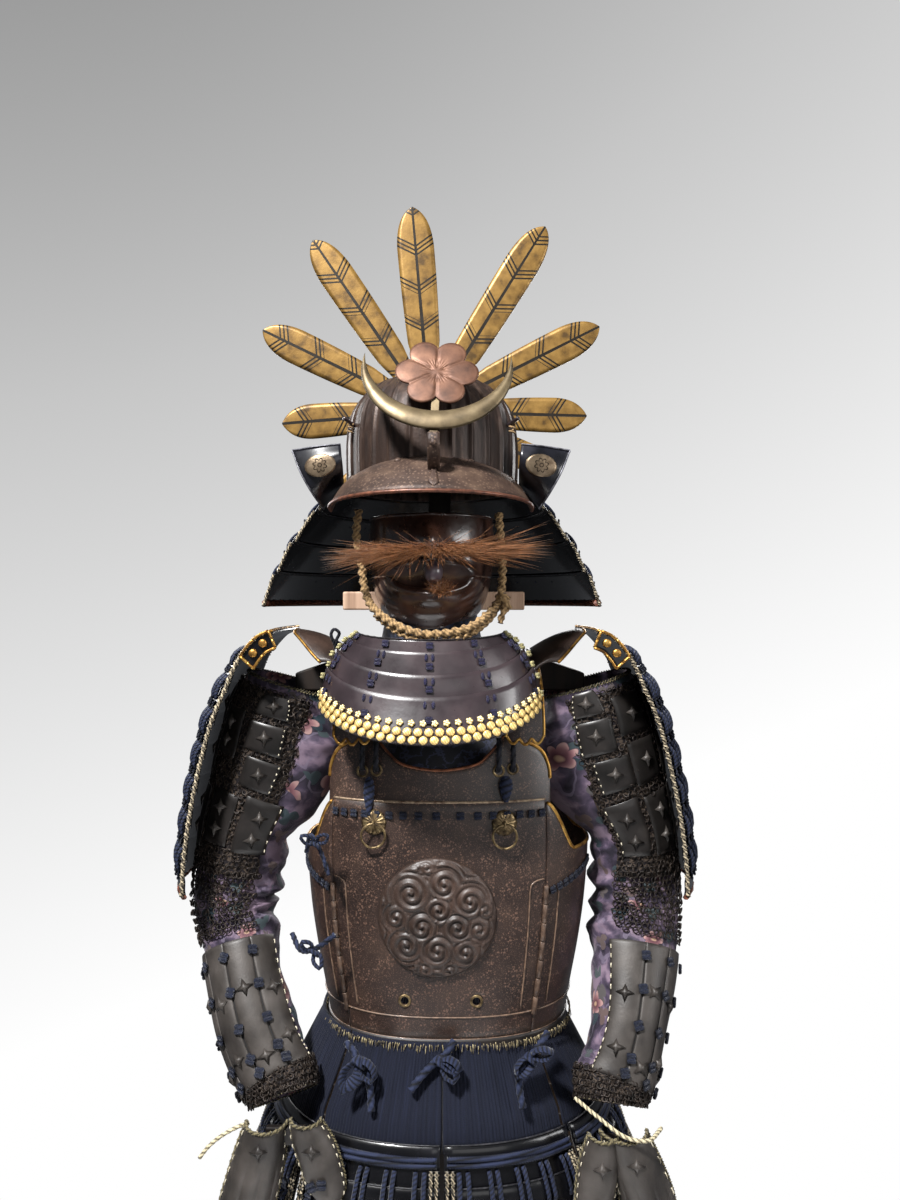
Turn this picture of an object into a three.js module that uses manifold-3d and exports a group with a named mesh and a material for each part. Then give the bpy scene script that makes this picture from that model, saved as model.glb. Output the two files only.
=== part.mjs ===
// A samurai armour on its wooden stand, in millimetres. +Z is up, the front faces -Y, +X is the wearer's
// left, and the floor is z = 0 under the stand's post. Every shell is a real wall: lacquered iron and leather
// lames, the cloth sleeves with their mail, and the corded skirt, all open where the real pieces are open.
import * as THREE from "three";
import { mergeVertices } from "three/addons/utils/BufferGeometryUtils.js";
import Module from "manifold-3d";

const wasm = await Module();
wasm.setup();

// -------------------------------------------- driving sizes
const PLATE = 2; // iron and lacquered leather
const CLOTH = 1.6; // quilted sleeve cloth
const LACED = 4.6; // a laced lame with the one behind it
const SEAM = 0.4; // clearance where two pieces lie together
const LAP_OUT = 4.4; // how far a lame's upper edge stands off, to pass outside the one above it
const HEAD_X = -10; // the head pieces sit a little to the wearer's right
const TORSO_X = 10; // the cuirass sits a little to the left, its front turned the other way
const TORSO_TURN = -5;

// -------------------------------------------- small helpers
const vec = (x, y, z) => new THREE.Vector3(x, y, z);
const rad = THREE.MathUtils.degToRad;
const mix = THREE.MathUtils.lerp;
const clamp = THREE.MathUtils.clamp;

/** The value of a column at key = x, on one smooth curve through the table's rows. */
function at(rows, key, column, x) {
  const last = rows.length - 1;
  let i = 0;
  while (i < last - 1 && x > rows[i + 1][key]) i++;
  const slope = (j) => {
    const a = rows[Math.max(j - 1, 0)];
    const b = rows[Math.min(j + 1, last)];
    return (b[column] - a[column]) / (b[key] - a[key]);
  };
  const [a, b] = [rows[i], rows[i + 1]];
  const span = b[key] - a[key];
  const t = clamp((x - a[key]) / span, 0, 1);
  const bend = t * t * (3 - 2 * t);
  const leave = t * (1 - t) * (1 - t) * span * slope(i);
  const arrive = t * t * (t - 1) * span * slope(i + 1);
  return mix(a[column], b[column], bend) + leave + arrive;
}

/** A closed indexed geometry whose faces point out. */
function closed(points, faces) {
  let volume = 0;
  for (let i = 0; i < faces.length; i += 3) {
    const [a, b, c] = [points[faces[i]], points[faces[i + 1]], points[faces[i + 2]]];
    volume += a.dot(b.clone().cross(c));
  }
  if (volume < 0) faces.reverse();
  return new THREE.BufferGeometry().setFromPoints(points).setIndex(faces);
}

/** The solid between an outer and an inner grid of points; round joins the last column to the first. */
function between(outer, inner, across, down, round = false) {
  const columns = round ? across : across + 1;
  const half = outer.length;
  const faces = [];
  const quad = (a, b, c, d) => faces.push(a, b, c, a, c, d);
  const spot = (i, j) => j * columns + (i % columns);
  for (let j = 0; j < down; j++)
    for (let i = 0; i < across; i++) {
      const corners = [spot(i, j), spot(i + 1, j), spot(i + 1, j + 1), spot(i, j + 1)];
      quad(...corners);
      quad(...corners.map((n) => n + half).reverse());
    }
  for (let i = 0; i < across; i++) {
    quad(spot(i, 0), half + spot(i, 0), half + spot(i + 1, 0), spot(i + 1, 0));
    quad(spot(i, down), spot(i + 1, down), half + spot(i + 1, down), half + spot(i, down));
  }
  for (let j = 0; j < down && !round; j++) {
    quad(spot(0, j), spot(0, j + 1), half + spot(0, j + 1), half + spot(0, j));
    quad(spot(across, j), half + spot(across, j), half + spot(across, j + 1), spot(across, j + 1));
  }
  return closed([...outer, ...inner], faces);
}

/** Points of surface(u, v) on a grid, with u and v from 0 to 1. */
function grid(surface, across, down, round = false) {
  const points = [];
  for (let j = 0; j <= down; j++)
    for (let i = 0; i < (round ? across : across + 1); i++) points.push(surface(i / across, j / down));
  return points;
}

/** A wall over surface(u, v): its outer skin is the surface, and inner(u, v) is its inner skin. */
const shell = (surface, inner, across, down, round = false) =>
  between(grid(surface, across, down, round), grid(inner, across, down, round), across, down, round);

function solid(geometry) {
  const bare = new THREE.BufferGeometry().setAttribute("position", geometry.getAttribute("position").clone());
  if (geometry.index) bare.setIndex(geometry.index.clone());
  const merged = mergeVertices(bare, 1e-3);
  const vertProperties = merged.attributes.position.array;
  return new wasm.Manifold(
    new wasm.Mesh({ numProp: 3, vertProperties, triVerts: new Uint32Array(merged.index.array) }),
  );
}

function geometryOf(manifold) {
  const mesh = manifold.getMesh();
  const places = [];
  for (let i = 0; i < mesh.numVert; i++)
    places.push(...mesh.vertProperties.subarray(i * mesh.numProp, i * mesh.numProp + 3));
  return new THREE.BufferGeometry()
    .setAttribute("position", new THREE.Float32BufferAttribute(places, 3))
    .setIndex([...mesh.triVerts]);
}

const joined = (...parts) => geometryOf(parts.map(solid).reduce((a, b) => a.add(b)));
const without = (part, ...tools) => geometryOf(tools.map(solid).reduce((a, b) => a.subtract(b), solid(part)));
const common = (a, b) => geometryOf(solid(a).intersect(solid(b)));

/** A flat outline drawn in x and z, given a thickness along Y with its front face at y = front. */
function upright(shape, thickness, front, curveSegments = 6) {
  const geometry = new THREE.ExtrudeGeometry(shape, { depth: thickness, bevelEnabled: false, curveSegments });
  return geometry.rotateX(Math.PI / 2).translate(0, front + thickness, 0);
}

const block = (x, y, z, w, d, h) => new THREE.BoxGeometry(w, d, h).translate(x, y, z);

/** A round cord along a route of points. */
function cord(points, diameter, steps) {
  const section = new THREE.Shape().absarc(0, 0, diameter / 2, 0, 2 * Math.PI);
  const extrudePath = new THREE.CatmullRomCurve3(points.map((p) => vec(...p)));
  return new THREE.ExtrudeGeometry(section, { steps, extrudePath, curveSegments: 4, bevelEnabled: false });
}

const armour = new THREE.Group();
function add(name, geometry, finish) {
  const mesh = new THREE.Mesh(geometry, finish);
  mesh.name = name;
  armour.add(mesh);
}

const paint = (color, roughness, metalness) =>
  new THREE.MeshStandardMaterial({ color, roughness, metalness });
const RUSSET = paint(0x4a3a33, 0.55, 0.5); // russet iron
const BLACK = paint(0x131317, 0.25, 0.1); // black lacquer
const GOLD = paint(0xc79a45, 0.35, 0.8); // gold leaf and gilt brass
const BRASS = paint(0x8e8268, 0.35, 0.9);
const COPPER = paint(0x9b7462, 0.45, 0.8);
const NAVY = paint(0x1c2233, 0.9, 0); // silk braid
const BROCADE = paint(0x4b4259, 0.7, 0);
const MAIL = paint(0x38332e, 0.6, 0.6);
const STEEL = paint(0x5a5551, 0.4, 0.7); // lacquered iron splints
const HEMP = paint(0xa88358, 0.9, 0);
const HAIR = paint(0x7a4a22, 0.9, 0);
const LEATHER = paint(0x23201d, 0.7, 0);
const WOOD = paint(0xb79a80, 0.7, 0);

// -------------------------------------------- helmet bowl: ridged gores on an oval rim
const BOWL = { rim: 1143, top: 1284, oval: 1.2, gores: 28 };
const BOWL_SIDE = [
  { z: 1143, half: 108.5 },
  { z: 1175, half: 109.5 },
  { z: 1203, half: 109 },
  { z: 1229, half: 105 },
  { z: 1247, half: 97 },
  { z: 1262, half: 85 },
  { z: 1274, half: 69 },
  { z: 1281, half: 43 },
];

/** The bowl as a dome of revolution made oval; the wall is open below unless full, and grow moves it out. */
function dome(full, grow = 0) {
  const outside = BOWL_SIDE.map((row) => new THREE.Vector2(row.half + grow, row.z - BOWL.rim));
  outside.push(new THREE.Vector2(0, BOWL.top - BOWL.rim + grow));
  const thin = 1 - PLATE / BOWL_SIDE[0].half;
  const inside = outside.map((p) => p.clone().multiplyScalar(thin)).reverse();
  const profile = full ? [new THREE.Vector2(0, 0), ...outside] : [...inside, ...outside];
  const shape = new THREE.LatheGeometry(profile, BOWL.gores).rotateX(Math.PI / 2);
  return shape.scale(1, BOWL.oval, 1).translate(HEAD_X, 0, BOWL.rim);
}
add("helmet_bowl", joined(dome(false)), RUSSET);

// -------------------------------------------- visor: an eave round the bowl's front
const VISOR = { sweep: 66, seat: 111, root: 1166, rootFall: 20, reach: 195, half: 123 };
const LIP = { z: 1120, fall: 9, end: -66, arch: 6, round: 0.85 };

/** The visor from its root on the bowl (v 0) to its lip, set down by drop. */
function visorPoint(u, v, drop = 0) {
  const side = 2 * u - 1;
  const turn = rad(side * VISOR.sweep);
  const high = VISOR.root - VISOR.rootFall * side * side;
  const root = vec(VISOR.seat * Math.sin(turn), -VISOR.seat * BOWL.oval * Math.cos(turn), high);
  const swing = (side * Math.PI) / 2;
  const ahead = (VISOR.reach + LIP.end) * Math.pow(Math.cos(swing) + 1e-9, LIP.round);
  const lip = vec(VISOR.half * Math.sin(swing), LIP.end - ahead, LIP.z - LIP.fall * side * side);
  const point = root.lerp(lip, v);
  return vec(HEAD_X + point.x, point.y, point.z + LIP.arch * Math.sin(Math.PI * v) - drop);
}
add("visor", shell(visorPoint, (u, v) => visorPoint(u, v, 2 * PLATE), 16, 3), RUSSET);

// -------------------------------------------- neck guard: four lames, each outside the last
const NECK = [
  { z: 992, half: 214, back: 232, open: 80 },
  { z: 1034, half: 196, back: 214, open: 77 },
  { z: 1073, half: 175, back: 194, open: 74 },
  { z: 1112, half: 147, back: 167, open: 71 },
  { z: 1150, half: 114, back: 136, open: 67 },
];
const NECK_LAP = 8; // what a lame rises behind the foot of the one above it

/** A point of the neck guard's cone at an angle from the front, moved out by offset. */
function neckPoint(angle, z, offset) {
  const x = (at(NECK, "z", "half", z) + offset) * Math.sin(rad(angle));
  return vec(HEAD_X + x, -(at(NECK, "z", "back", z) + offset) * Math.cos(rad(angle)), z);
}

/** A lame from its upper edge to its foot, between the two ends that the guard's opening leaves. */
function neckLame(lower, upper, across) {
  const face = (inset) => (u, v) => {
    const z = mix(upper, lower, v);
    const open = at(NECK, "z", "open", z);
    return neckPoint(mix(open, 360 - open, u), z, mix(LAP_OUT, 0.5, v) - inset);
  };
  return shell(face(0), face(PLATE), across, 1);
}
for (let i = 4; i > 0; i--) {
  const top = i === 4 ? NECK[4].z - 3 : NECK[i].z + NECK_LAP;
  add(`neck_lame_${5 - i}`, neckLame(NECK[i - 1].z, top, 20), BLACK);
}

// -------------------------------------------- turn-backs: the top lame's ends, folded out
const TURNBACK = [
  { v: 0, high: [108, -57, 1143], low: [133, -57, 1112] },
  { v: 0.4, high: [106, -86, 1160], low: [144, -84, 1130] },
  { v: 0.7, high: [107, -92, 1174], low: [157, -88, 1154] },
  { v: 1, high: [109, -84, 1188], low: [169, -74, 1182] },
];

function turnback(side) {
  const spot = (row, name) => vec(HEAD_X + side * row[name][0], row[name][1], row[name][2]);
  const edge = (name) => new THREE.CatmullRomCurve3(TURNBACK.map((row) => spot(row, name)));
  const [high, low] = [edge("high"), edge("low")];
  const face = (u, v) => high.getPoint(v).lerp(low.getPoint(v), u);
  const inner = (u, v) => {
    const along = face(u, Math.min(v + 0.02, 1)).sub(face(u, Math.max(v - 0.02, 0)));
    const normal = along.cross(face(1, v).sub(face(0, v))).normalize();
    return face(u, v).addScaledVector(normal, side * PLATE);
  };
  return shell(face, inner, 2, 8);
}
add("turnback_left", turnback(1), BLACK);
add("turnback_right", turnback(-1), BLACK);

// -------------------------------------------- front crest: holder, crescent moon and blossom
const CREST = { x: -5, y: -178, z: 1187.4, lean: 27, tilt: 2.2, plate: 2.4 }; // the crescent's foot and lean
const MOON = { outer: 87, inner: 84.5, lift: 24 };
const BLOSSOM = { v: 81, petals: 6, ring: 30.5, petal: 17.5 };
const STEM = { wide: 9, thick: 2, from: -14, to: 118 };
const SOCKET = { y: -199, wide: 14, thick: 6, foot: 1124, top: 1180, lean: 12 };

/** Lays a shape drawn upright about the crest's foot back onto the crest's leaning plane. */
const leaned = (geometry) =>
  geometry.rotateY(rad(CREST.tilt)).rotateX(rad(-CREST.lean)).translate(CREST.x, CREST.y, CREST.z);
const round = (x, z, radius) => new THREE.Shape().absarc(x, z, radius, 0, 2 * Math.PI);

function crescent() {
  const plate = upright(round(0, MOON.outer, MOON.outer), CREST.plate, -CREST.plate, 24);
  const bite = upright(round(0, MOON.outer + MOON.lift, MOON.inner), 40, -20, 24);
  return leaned(without(plate, bite));
}

function blossom() {
  const petals = [upright(round(0, BLOSSOM.v, BLOSSOM.ring), CREST.plate, -CREST.plate, 8)];
  for (let i = 0; i < BLOSSOM.petals; i++) {
    const turn = ((i + 0.5) * 2 * Math.PI) / BLOSSOM.petals;
    const [x, z] = [BLOSSOM.ring * Math.sin(turn), BLOSSOM.v + BLOSSOM.ring * Math.cos(turn)];
    petals.push(upright(round(x, z, BLOSSOM.petal), CREST.plate, -CREST.plate, 8));
  }
  return leaned(joined(...petals));
}

function crestHolder() {
  const long = STEM.to - STEM.from;
  const stem = leaned(block(0, SEAM + STEM.thick / 2, STEM.from + long / 2, STEM.wide, STEM.thick, long));
  const tall = SOCKET.top - SOCKET.foot;
  const socket = block(0, SOCKET.thick / 2, tall / 2, SOCKET.wide, SOCKET.thick, tall);
  socket.rotateX(rad(-SOCKET.lean)).translate(CREST.x, SOCKET.y, SOCKET.foot);
  const clear = shell((u, v) => visorPoint(u, v, -SEAM), (u, v) => visorPoint(u, v, 40), 16, 3);
  return without(joined(stem, socket), clear);
}
add("crescent", crescent(), BRASS);
add("blossom", blossom(), COPPER);
add("crest_holder", crestHolder(), RUSSET);

// -------------------------------------------- rear crest: gilt feathers on one hub
const FAN = { x: -15.7, y: 122, z: 1270, hub: 30, hubDeep: 4, plate: 1.8 };
const ARM = { wide: 14, deep: 32, tall: 16, drop: 18 }; // the peg that plugs into the bowl
const QUILL = { from: 20, half: 7, full: 100, tip: 12 }; // a feather's narrow foot and round tip
const FEATHERS = [
  { angle: -134, length: 200, half: 20.5 },
  { angle: -94.6, length: 213, half: 25 },
  { angle: -64, length: 267, half: 25 },
  { angle: -34.3, length: 298, half: 25 },
  { angle: -5, length: 295, half: 26.5 },
  { angle: 31.9, length: 313, half: 25 },
  { angle: 63.3, length: 272, half: 25 },
  { angle: 91.5, length: 225, half: 25 },
  { angle: 115, length: 200, half: 20.5 },
];

/** A feather's outline: narrow at its foot, widest near a fifth from the round tip. */
function feather({ length, half }) {
  const wide = 0.8 * length;
  const [root, tip] = [0.86 * half, 0.95 * half];
  const middle = (wide + QUILL.full) / 2;
  const shape = new THREE.Shape().moveTo(-QUILL.half, QUILL.from).lineTo(QUILL.half, QUILL.from);
  shape.lineTo(root, QUILL.full).quadraticCurveTo(half, middle, half, wide);
  shape.quadraticCurveTo(tip, length - QUILL.tip, 0, length);
  shape.quadraticCurveTo(-tip, length - QUILL.tip, -half, wide);
  shape.quadraticCurveTo(-half, middle, -root, QUILL.full);
  return upright(shape, FAN.plate, -FAN.plate / 2, 4);
}

function fan() {
  const plates = FEATHERS.map((row) => feather(row).rotateY(rad(row.angle)));
  const hub = new THREE.CylinderGeometry(FAN.hub, FAN.hub, FAN.hubDeep, 16);
  const arm = block(0, -ARM.deep / 2, -ARM.drop, ARM.wide, ARM.deep, ARM.tall);
  const whole = joined(...plates, hub, arm).translate(FAN.x, FAN.y, FAN.z);
  return without(whole, dome(true, SEAM));
}
add("feather_crest", fan(), GOLD);

// -------------------------------------------- face mask, its moustache, tuft and cord
const MASK = [
  { z: 968, half: 40, front: 116 },
  { z: 985, half: 60, front: 129 },
  { z: 1010, half: 71, front: 131 },
  { z: 1040, half: 76, front: 127 },
  { z: 1070, half: 78, front: 126 },
  { z: 1100, half: 76, front: 118 },
];
const MASK_BACK = -42; // the cheeks end against the head bar
const MASK_WALL = 2.5;
const MOUTH = { z: 1027, half: 46, tall: 13 };
const NOSE = { z: 1068, tall: 26, half: 15, out: 26 };

/** The mask's surface: u goes round from cheek to cheek and v from the chin up. */
function maskPoint(u, v, inset = 0) {
  const z = mix(MASK[0].z, MASK[5].z, v);
  const turn = rad(mix(-90, 90, u));
  const half = at(MASK, "z", "half", z) - inset;
  const front = at(MASK, "z", "front", z) + MASK_BACK - inset;
  const x = half * Math.sin(turn);
  const nose = NOSE.out * Math.exp(-((x / NOSE.half) ** 2)) * Math.exp(-(((z - NOSE.z) / NOSE.tall) ** 2));
  return vec(HEAD_X + x, MASK_BACK - front * Math.cos(turn) - nose, z);
}

function mask() {
  const face = shell((u, v) => maskPoint(u, v), (u, v) => maskPoint(u, v, MASK_WALL), 14, 7);
  const mouth = new THREE.Shape().absellipse(HEAD_X, MOUTH.z, MOUTH.half, MOUTH.tall, 0, 2 * Math.PI);
  return without(face, upright(mouth, 120, -220, 4));
}
add("face_mask", mask(), RUSSET);

/** A closed spindle of round sections along a route. */
function spindle(stations, sides) {
  const face = (u, v) => {
    const s = v * (stations.length - 1);
    const [a, b] = [stations[Math.floor(s)], stations[Math.min(Math.floor(s) + 1, stations.length - 1)]];
    const t = s - Math.floor(s);
    const turn = 2 * Math.PI * u;
    const radius = mix(a.r, b.r, t);
    const z = mix(a.z, b.z, t) + radius * Math.sin(turn) * 1.1;
    return vec(mix(a.x, b.x, t), mix(a.y, b.y, t) + radius * 0.7 * Math.cos(turn), z);
  };
  const points = grid(face, sides, stations.length - 1, true);
  const faces = [];
  for (let j = 0; j < stations.length - 1; j++)
    for (let i = 0; i < sides; i++) {
      const [a, b] = [j * sides + i, j * sides + ((i + 1) % sides)];
      faces.push(a, b, b + sides, a, b + sides, a + sides);
    }
  for (let i = 1; i < sides - 1; i++) {
    const end = points.length - sides;
    faces.push(0, i + 1, i, end, end + i, end + i + 1);
  }
  return closed(points, faces);
}
const MOUSTACHE = [
  { x: -132, y: -112, z: 1037, r: 3 },
  { x: -98, y: -128, z: 1048, r: 13 },
  { x: -55, y: -146, z: 1052, r: 12 },
  { x: -6, y: -163, z: 1054, r: 14 },
  { x: 46, y: -146, z: 1054, r: 12 },
  { x: 92, y: -128, z: 1060, r: 13 },
  { x: 130, y: -112, z: 1056, r: 3 },
];
add("moustache", spindle(MOUSTACHE, 8), HAIR);
const TUFT = [
  { x: -12, y: -140, z: 1012, r: 3 },
  { x: 3, y: -144, z: 1012, r: 10 },
  { x: 18, y: -140, z: 1012, r: 3 },
];
add("chin_tuft", spindle(TUFT, 8), HAIR);

const CHIN_CORD = { diameter: 9, steps: 22 };
CHIN_CORD.route = [
  [-97, -88, 1108],
  [-99, -96, 1077],
  [-92, -98, 1040],
  [-88, -104, 1012],
  [-76, -124, 990],
  [-46, -143, 970],
  [-12, -150, 961],
  [30, -146, 967],
  [58, -126, 985],
  [72, -108, 1006],
  [75, -100, 1042],
  [71, -92, 1104],
];
add("chin_cord", cord(CHIN_CORD.route, CHIN_CORD.diameter, CHIN_CORD.steps), HEMP);

// -------------------------------------------- throat guard: a lining and four lames
const THROAT = [
  { row: 0, mid: 955, end: 961, half: 82, front: 150, rear: 95 },
  { row: 1, mid: 937, end: 954, half: 95, front: 158, rear: 98 },
  { row: 2, mid: 911, end: 940, half: 110, front: 168, rear: 100 },
  { row: 3, mid: 887, end: 917, half: 120, front: 178, rear: 108 },
  { row: 4, mid: 844, end: 880, half: 130, front: 200, rear: 114 },
];

const THROAT_TURN = Math.PI / 2.4; // how far round a lame's end lies
const THROAT_SPREAD = 1.035;
const THROAT_LAP = 0.22;
const LINING = { half: 58, front: 64, rear: 44, top: 988, foot: 946, grow: 8, sweep: 80 };

/** The throat guard's surface: side from -1 to 1 across it, row down it, moved out by offset. */
function throatPoint(side, row, offset) {
  const half = at(THROAT, "row", "half", row) + offset * Math.abs(side);
  const rise = at(THROAT, "row", "end", row) - at(THROAT, "row", "mid", row);
  const front = at(THROAT, "row", "front", row);
  const deep = front - at(THROAT, "row", "rear", row);
  const z = at(THROAT, "row", "mid", row) + rise * side * side;
  const x = half * Math.sin(side * THROAT_TURN) * THROAT_SPREAD;
  return vec(HEAD_X + x, -front - offset + deep * side * side, z);
}

function throatLame(row) {
  const lap = row === 0 ? 0 : THROAT_LAP;
  const face = (inset) => (u, v) =>
    throatPoint(2 * u - 1, mix(row - lap, row + 1, v), mix(LAP_OUT, 0.5, v) - inset);
  return shell(face(0), face(PLATE), 14, 1);
}
for (let row = 0; row < 4; row++) add(`throat_lame_${row + 1}`, throatLame(row), RUSSET);

/** The soft black lining between the mask's rim and the first lame. */
function throatLining() {
  const face = (inset) => (u, v) => {
    const turn = rad(mix(-LINING.sweep, LINING.sweep, u));
    const grow = mix(0, LINING.grow, v) - inset;
    const x = HEAD_X + (LINING.half + grow) * Math.sin(turn);
    const y = -LINING.rear - (LINING.front + 2 * grow) * Math.cos(turn);
    return vec(x, y, mix(LINING.top, LINING.foot, v));
  };
  return shell(face(0), face(CLOTH), 12, 1);
}
const insideMask = shell((u, v) => maskPoint(u, v, -SEAM), (u, v) => maskPoint(u, v, 34), 14, 7);
add("throat_lining", without(throatLining(), insideMask), LEATHER);

// -------------------------------------------- cuirass: five plates on one oval torso
const TORSO = [
  { z: 480, half: 150, front: 117, back: 112 },
  { z: 519, half: 157, front: 119, back: 113 },
  { z: 571, half: 167, front: 121, back: 115 },
  { z: 626, half: 175, front: 121, back: 116 },
  { z: 698, half: 180, front: 119, back: 118 },
  { z: 765, half: 178, front: 113, back: 118 },
  { z: 830, half: 170, front: 100, back: 110 },
  { z: 890, half: 158, front: 84, back: 98 },
];
const SQUARE = 0.83; // under 1 squares the oval's shoulders
const DO = { bottom: 484, top: 762, side: 698, hinge: 42, rear: 139, gap: 0.25 }; // heights, then angles
const BACK = { top: 862, fall: 30 };

/** The torso's surface at an angle from the front, positive to the wearer's left. */
function torsoPoint(angle, z, offset = 0) {
  const [s, c] = [Math.sin(rad(angle + TORSO_TURN)), Math.cos(rad(angle + TORSO_TURN))];
  const half = at(TORSO, "z", "half", z) + offset;
  const deep = at(TORSO, "z", c > 0 ? "front" : "back", z) + offset;
  const soft = (value) => Math.sign(value) * Math.pow(Math.abs(value), SQUARE);
  return vec(TORSO_X + half * soft(s), -deep * soft(c), z);
}

/** A cuirass plate from one angle to another, up to the height that top(angle) gives. */
function torsoPlate(from, to, bottom, top, offset, across, down) {
  const face = (inset) => (u, v) => {
    const angle = mix(from, to, u);
    return torsoPoint(angle, mix(bottom, top(angle), v), offset - inset);
  };
  return shell(face(0), face(PLATE), across, down);
}

const EYELET = { z: 531, apart: 42, hole: 5, x: 2 };

function frontPlate() {
  const plate = torsoPlate(-DO.hinge, DO.hinge, DO.bottom, () => DO.top, 0, 14, 5);
  const holes = [-1, 1].map((side) =>
    new THREE.CylinderGeometry(EYELET.hole, EYELET.hole, 60, 10).translate(
      EYELET.x + side * EYELET.apart,
      -115,
      EYELET.z,
    ),
  );
  return without(plate, ...holes);
}
add("front_plate", frontPlate(), RUSSET);

/** The y of the torso's front at x and z, moved out by offset. */
function torsoFront(x, z, offset = 0) {
  const half = at(TORSO, "z", "half", z) + offset;
  const front = at(TORSO, "z", "front", z) + offset;
  return -front * Math.pow(1 - Math.pow(Math.abs(x - TORSO_X) / half, 2 / SQUARE), SQUARE / 2);
}

/** A round plate that lies on the torso's front, as high over it at radius r as height(r) says. */
function onFront(x, z, radius, height, rings, sides, under = SEAM) {
  const spot = (r, turn, out) => {
    const [px, pz] = [x + r * Math.cos(turn), z + r * Math.sin(turn)];
    return vec(px, torsoFront(px, pz, out), pz);
  };
  const points = [spot(0, 0, height(0)), spot(0, 0, under)];
  for (const top of [true, false])
    for (let j = 1; j <= rings; j++)
      for (let i = 0; i < sides; i++) {
        const r = (radius * j) / rings;
        points.push(spot(r, (2 * Math.PI * i) / sides, top ? height(r) : under));
      }
  const faces = [];
  const index = (skin, j, i) => 2 + skin * rings * sides + (j - 1) * sides + (i % sides);
  for (let i = 0; i < sides; i++) {
    faces.push(0, index(0, 1, i), index(0, 1, i + 1), 1, index(1, 1, i + 1), index(1, 1, i));
    for (let j = 1; j < rings; j++) {
      const [a, b, c, d] = [index(0, j, i), index(0, j + 1, i), index(0, j + 1, i + 1), index(0, j, i + 1)];
      const [e, f, g, h] = [index(1, j, i), index(1, j + 1, i), index(1, j + 1, i + 1), index(1, j, i + 1)];
      faces.push(a, b, c, a, c, d, e, g, f, e, h, g);
    }
    const [p, q] = [index(0, rings, i), index(0, rings, i + 1)];
    const [r, t] = [index(1, rings, i), index(1, rings, i + 1)];
    faces.push(p, r, t, p, t, q);
  }
  return closed(points, faces);
}

// -------------------------------------------- roundel and ring staples on the front plate
const ROUNDEL = { x: -2, z: 629, radius: 70, rise: 9, rim: 2.4 };
const ROSETTE = { x: 77, z: 738, radius: 15, rise: 4, eye: 5, hole: 2.6, wide: 3.6 };
const RING = { radius: 14, wire: 3, stand: 10 };
const STEM_UNDER = { y: 5, deep: 8, tall: 6 }; // the staple's foot

const roundelHeight = (r) =>
  ROUNDEL.rim + ROUNDEL.rise * Math.sqrt(Math.max(0, 1 - (r / ROUNDEL.radius) ** 2));
add("roundel", onFront(ROUNDEL.x, ROUNDEL.z, ROUNDEL.radius, roundelHeight, 5, 28), RUSSET);

/** The y of a ring's hinge line, in front of the plate. */
const ringAxisY = (side) => torsoFront(side * ROSETTE.x, ROSETTE.z) - RING.stand;

/** A flower-shaped staple plate with the eye that its ring hangs in. */
function rosette(side) {
  const [x, y, z] = [side * ROSETTE.x, ringAxisY(side), ROSETTE.z];
  const plate = onFront(x, z, ROSETTE.radius, (r) => 1.5 + ROSETTE.rise * (1 - r / ROSETTE.radius), 2, 16);
  const eye = new THREE.CylinderGeometry(ROSETTE.eye, ROSETTE.eye, ROSETTE.wide, 14).rotateZ(Math.PI / 2);
  const stem = block(0, STEM_UNDER.y, 0, ROSETTE.wide, STEM_UNDER.deep, STEM_UNDER.tall);
  const hole = new THREE.CylinderGeometry(ROSETTE.hole, ROSETTE.hole, 9, 14).rotateZ(Math.PI / 2);
  const lug = without(joined(eye, stem), hole).translate(x, y, z);
  return joined(plate, lug);
}
for (const side of [1, -1]) {
  const name = side > 0 ? "left" : "right";
  add(`rosette_${name}`, rosette(side), BRASS);
  const ring = new THREE.TorusGeometry(RING.radius, RING.wire / 2, 8, 20).rotateX(Math.PI / 2);
  ring.translate(side * ROSETTE.x, ringAxisY(side), ROSETTE.z - RING.radius);
  add(`chest_ring_${name}`, ring, BRASS);
}

// The edge falls from front over one angle and rises by back over another.
const ARMHOLE = { front: 758, fall: 20, rise: 27, back: 72 };

/** A side plate's top edge dips under the arm and rises to the back plate. */
function armhole(angle) {
  const fall = clamp((Math.abs(angle) - DO.hinge) / ARMHOLE.fall, 0, 1);
  const rise = clamp((Math.abs(angle) - DO.rear + ARMHOLE.rise) / ARMHOLE.rise, 0, 1);
  return mix(ARMHOLE.front, DO.side, fall * fall * (3 - 2 * fall)) + ARMHOLE.back * rise * rise;
}
for (const side of [1, -1]) {
  const [from, to] = [side * (DO.hinge + DO.gap), side * (DO.rear - DO.gap)];
  const name = side > 0 ? "left" : "right";
  add(`side_plate_${name}`, torsoPlate(from, to, DO.bottom, armhole, 0, 12, 4), RUSSET);
}

/** The back plate, whose top rises between the shoulder straps. */
function backPlate() {
  const turn = (u) => mix(DO.rear, 360 - DO.rear, u) - (u > 0.5 ? 360 : 0);
  const top = (u) => BACK.top - BACK.fall * Math.pow(Math.abs(2 * u - 1), 4);
  const face = (inset) => (u, v) => torsoPoint(turn(u), mix(DO.bottom, top(u), v), -inset);
  return shell(face(0), face(PLATE), 12, 5);
}
add("back_plate", backPlate(), RUSSET);

const CHEST = { half: 134, arm: 785, strap: 104, shoulder: 830, neck: 78, peak: 838, dip: 798, lap: 12 };
const CHEST_TURN = 60; // how far round the plate's sheet runs before it is cut
const CHEST_CURVE = { arm: 21, corner: 8, fall: 10, neck: 28, dip: 8, flat: 30 }; // handles of the cut edge

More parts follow.
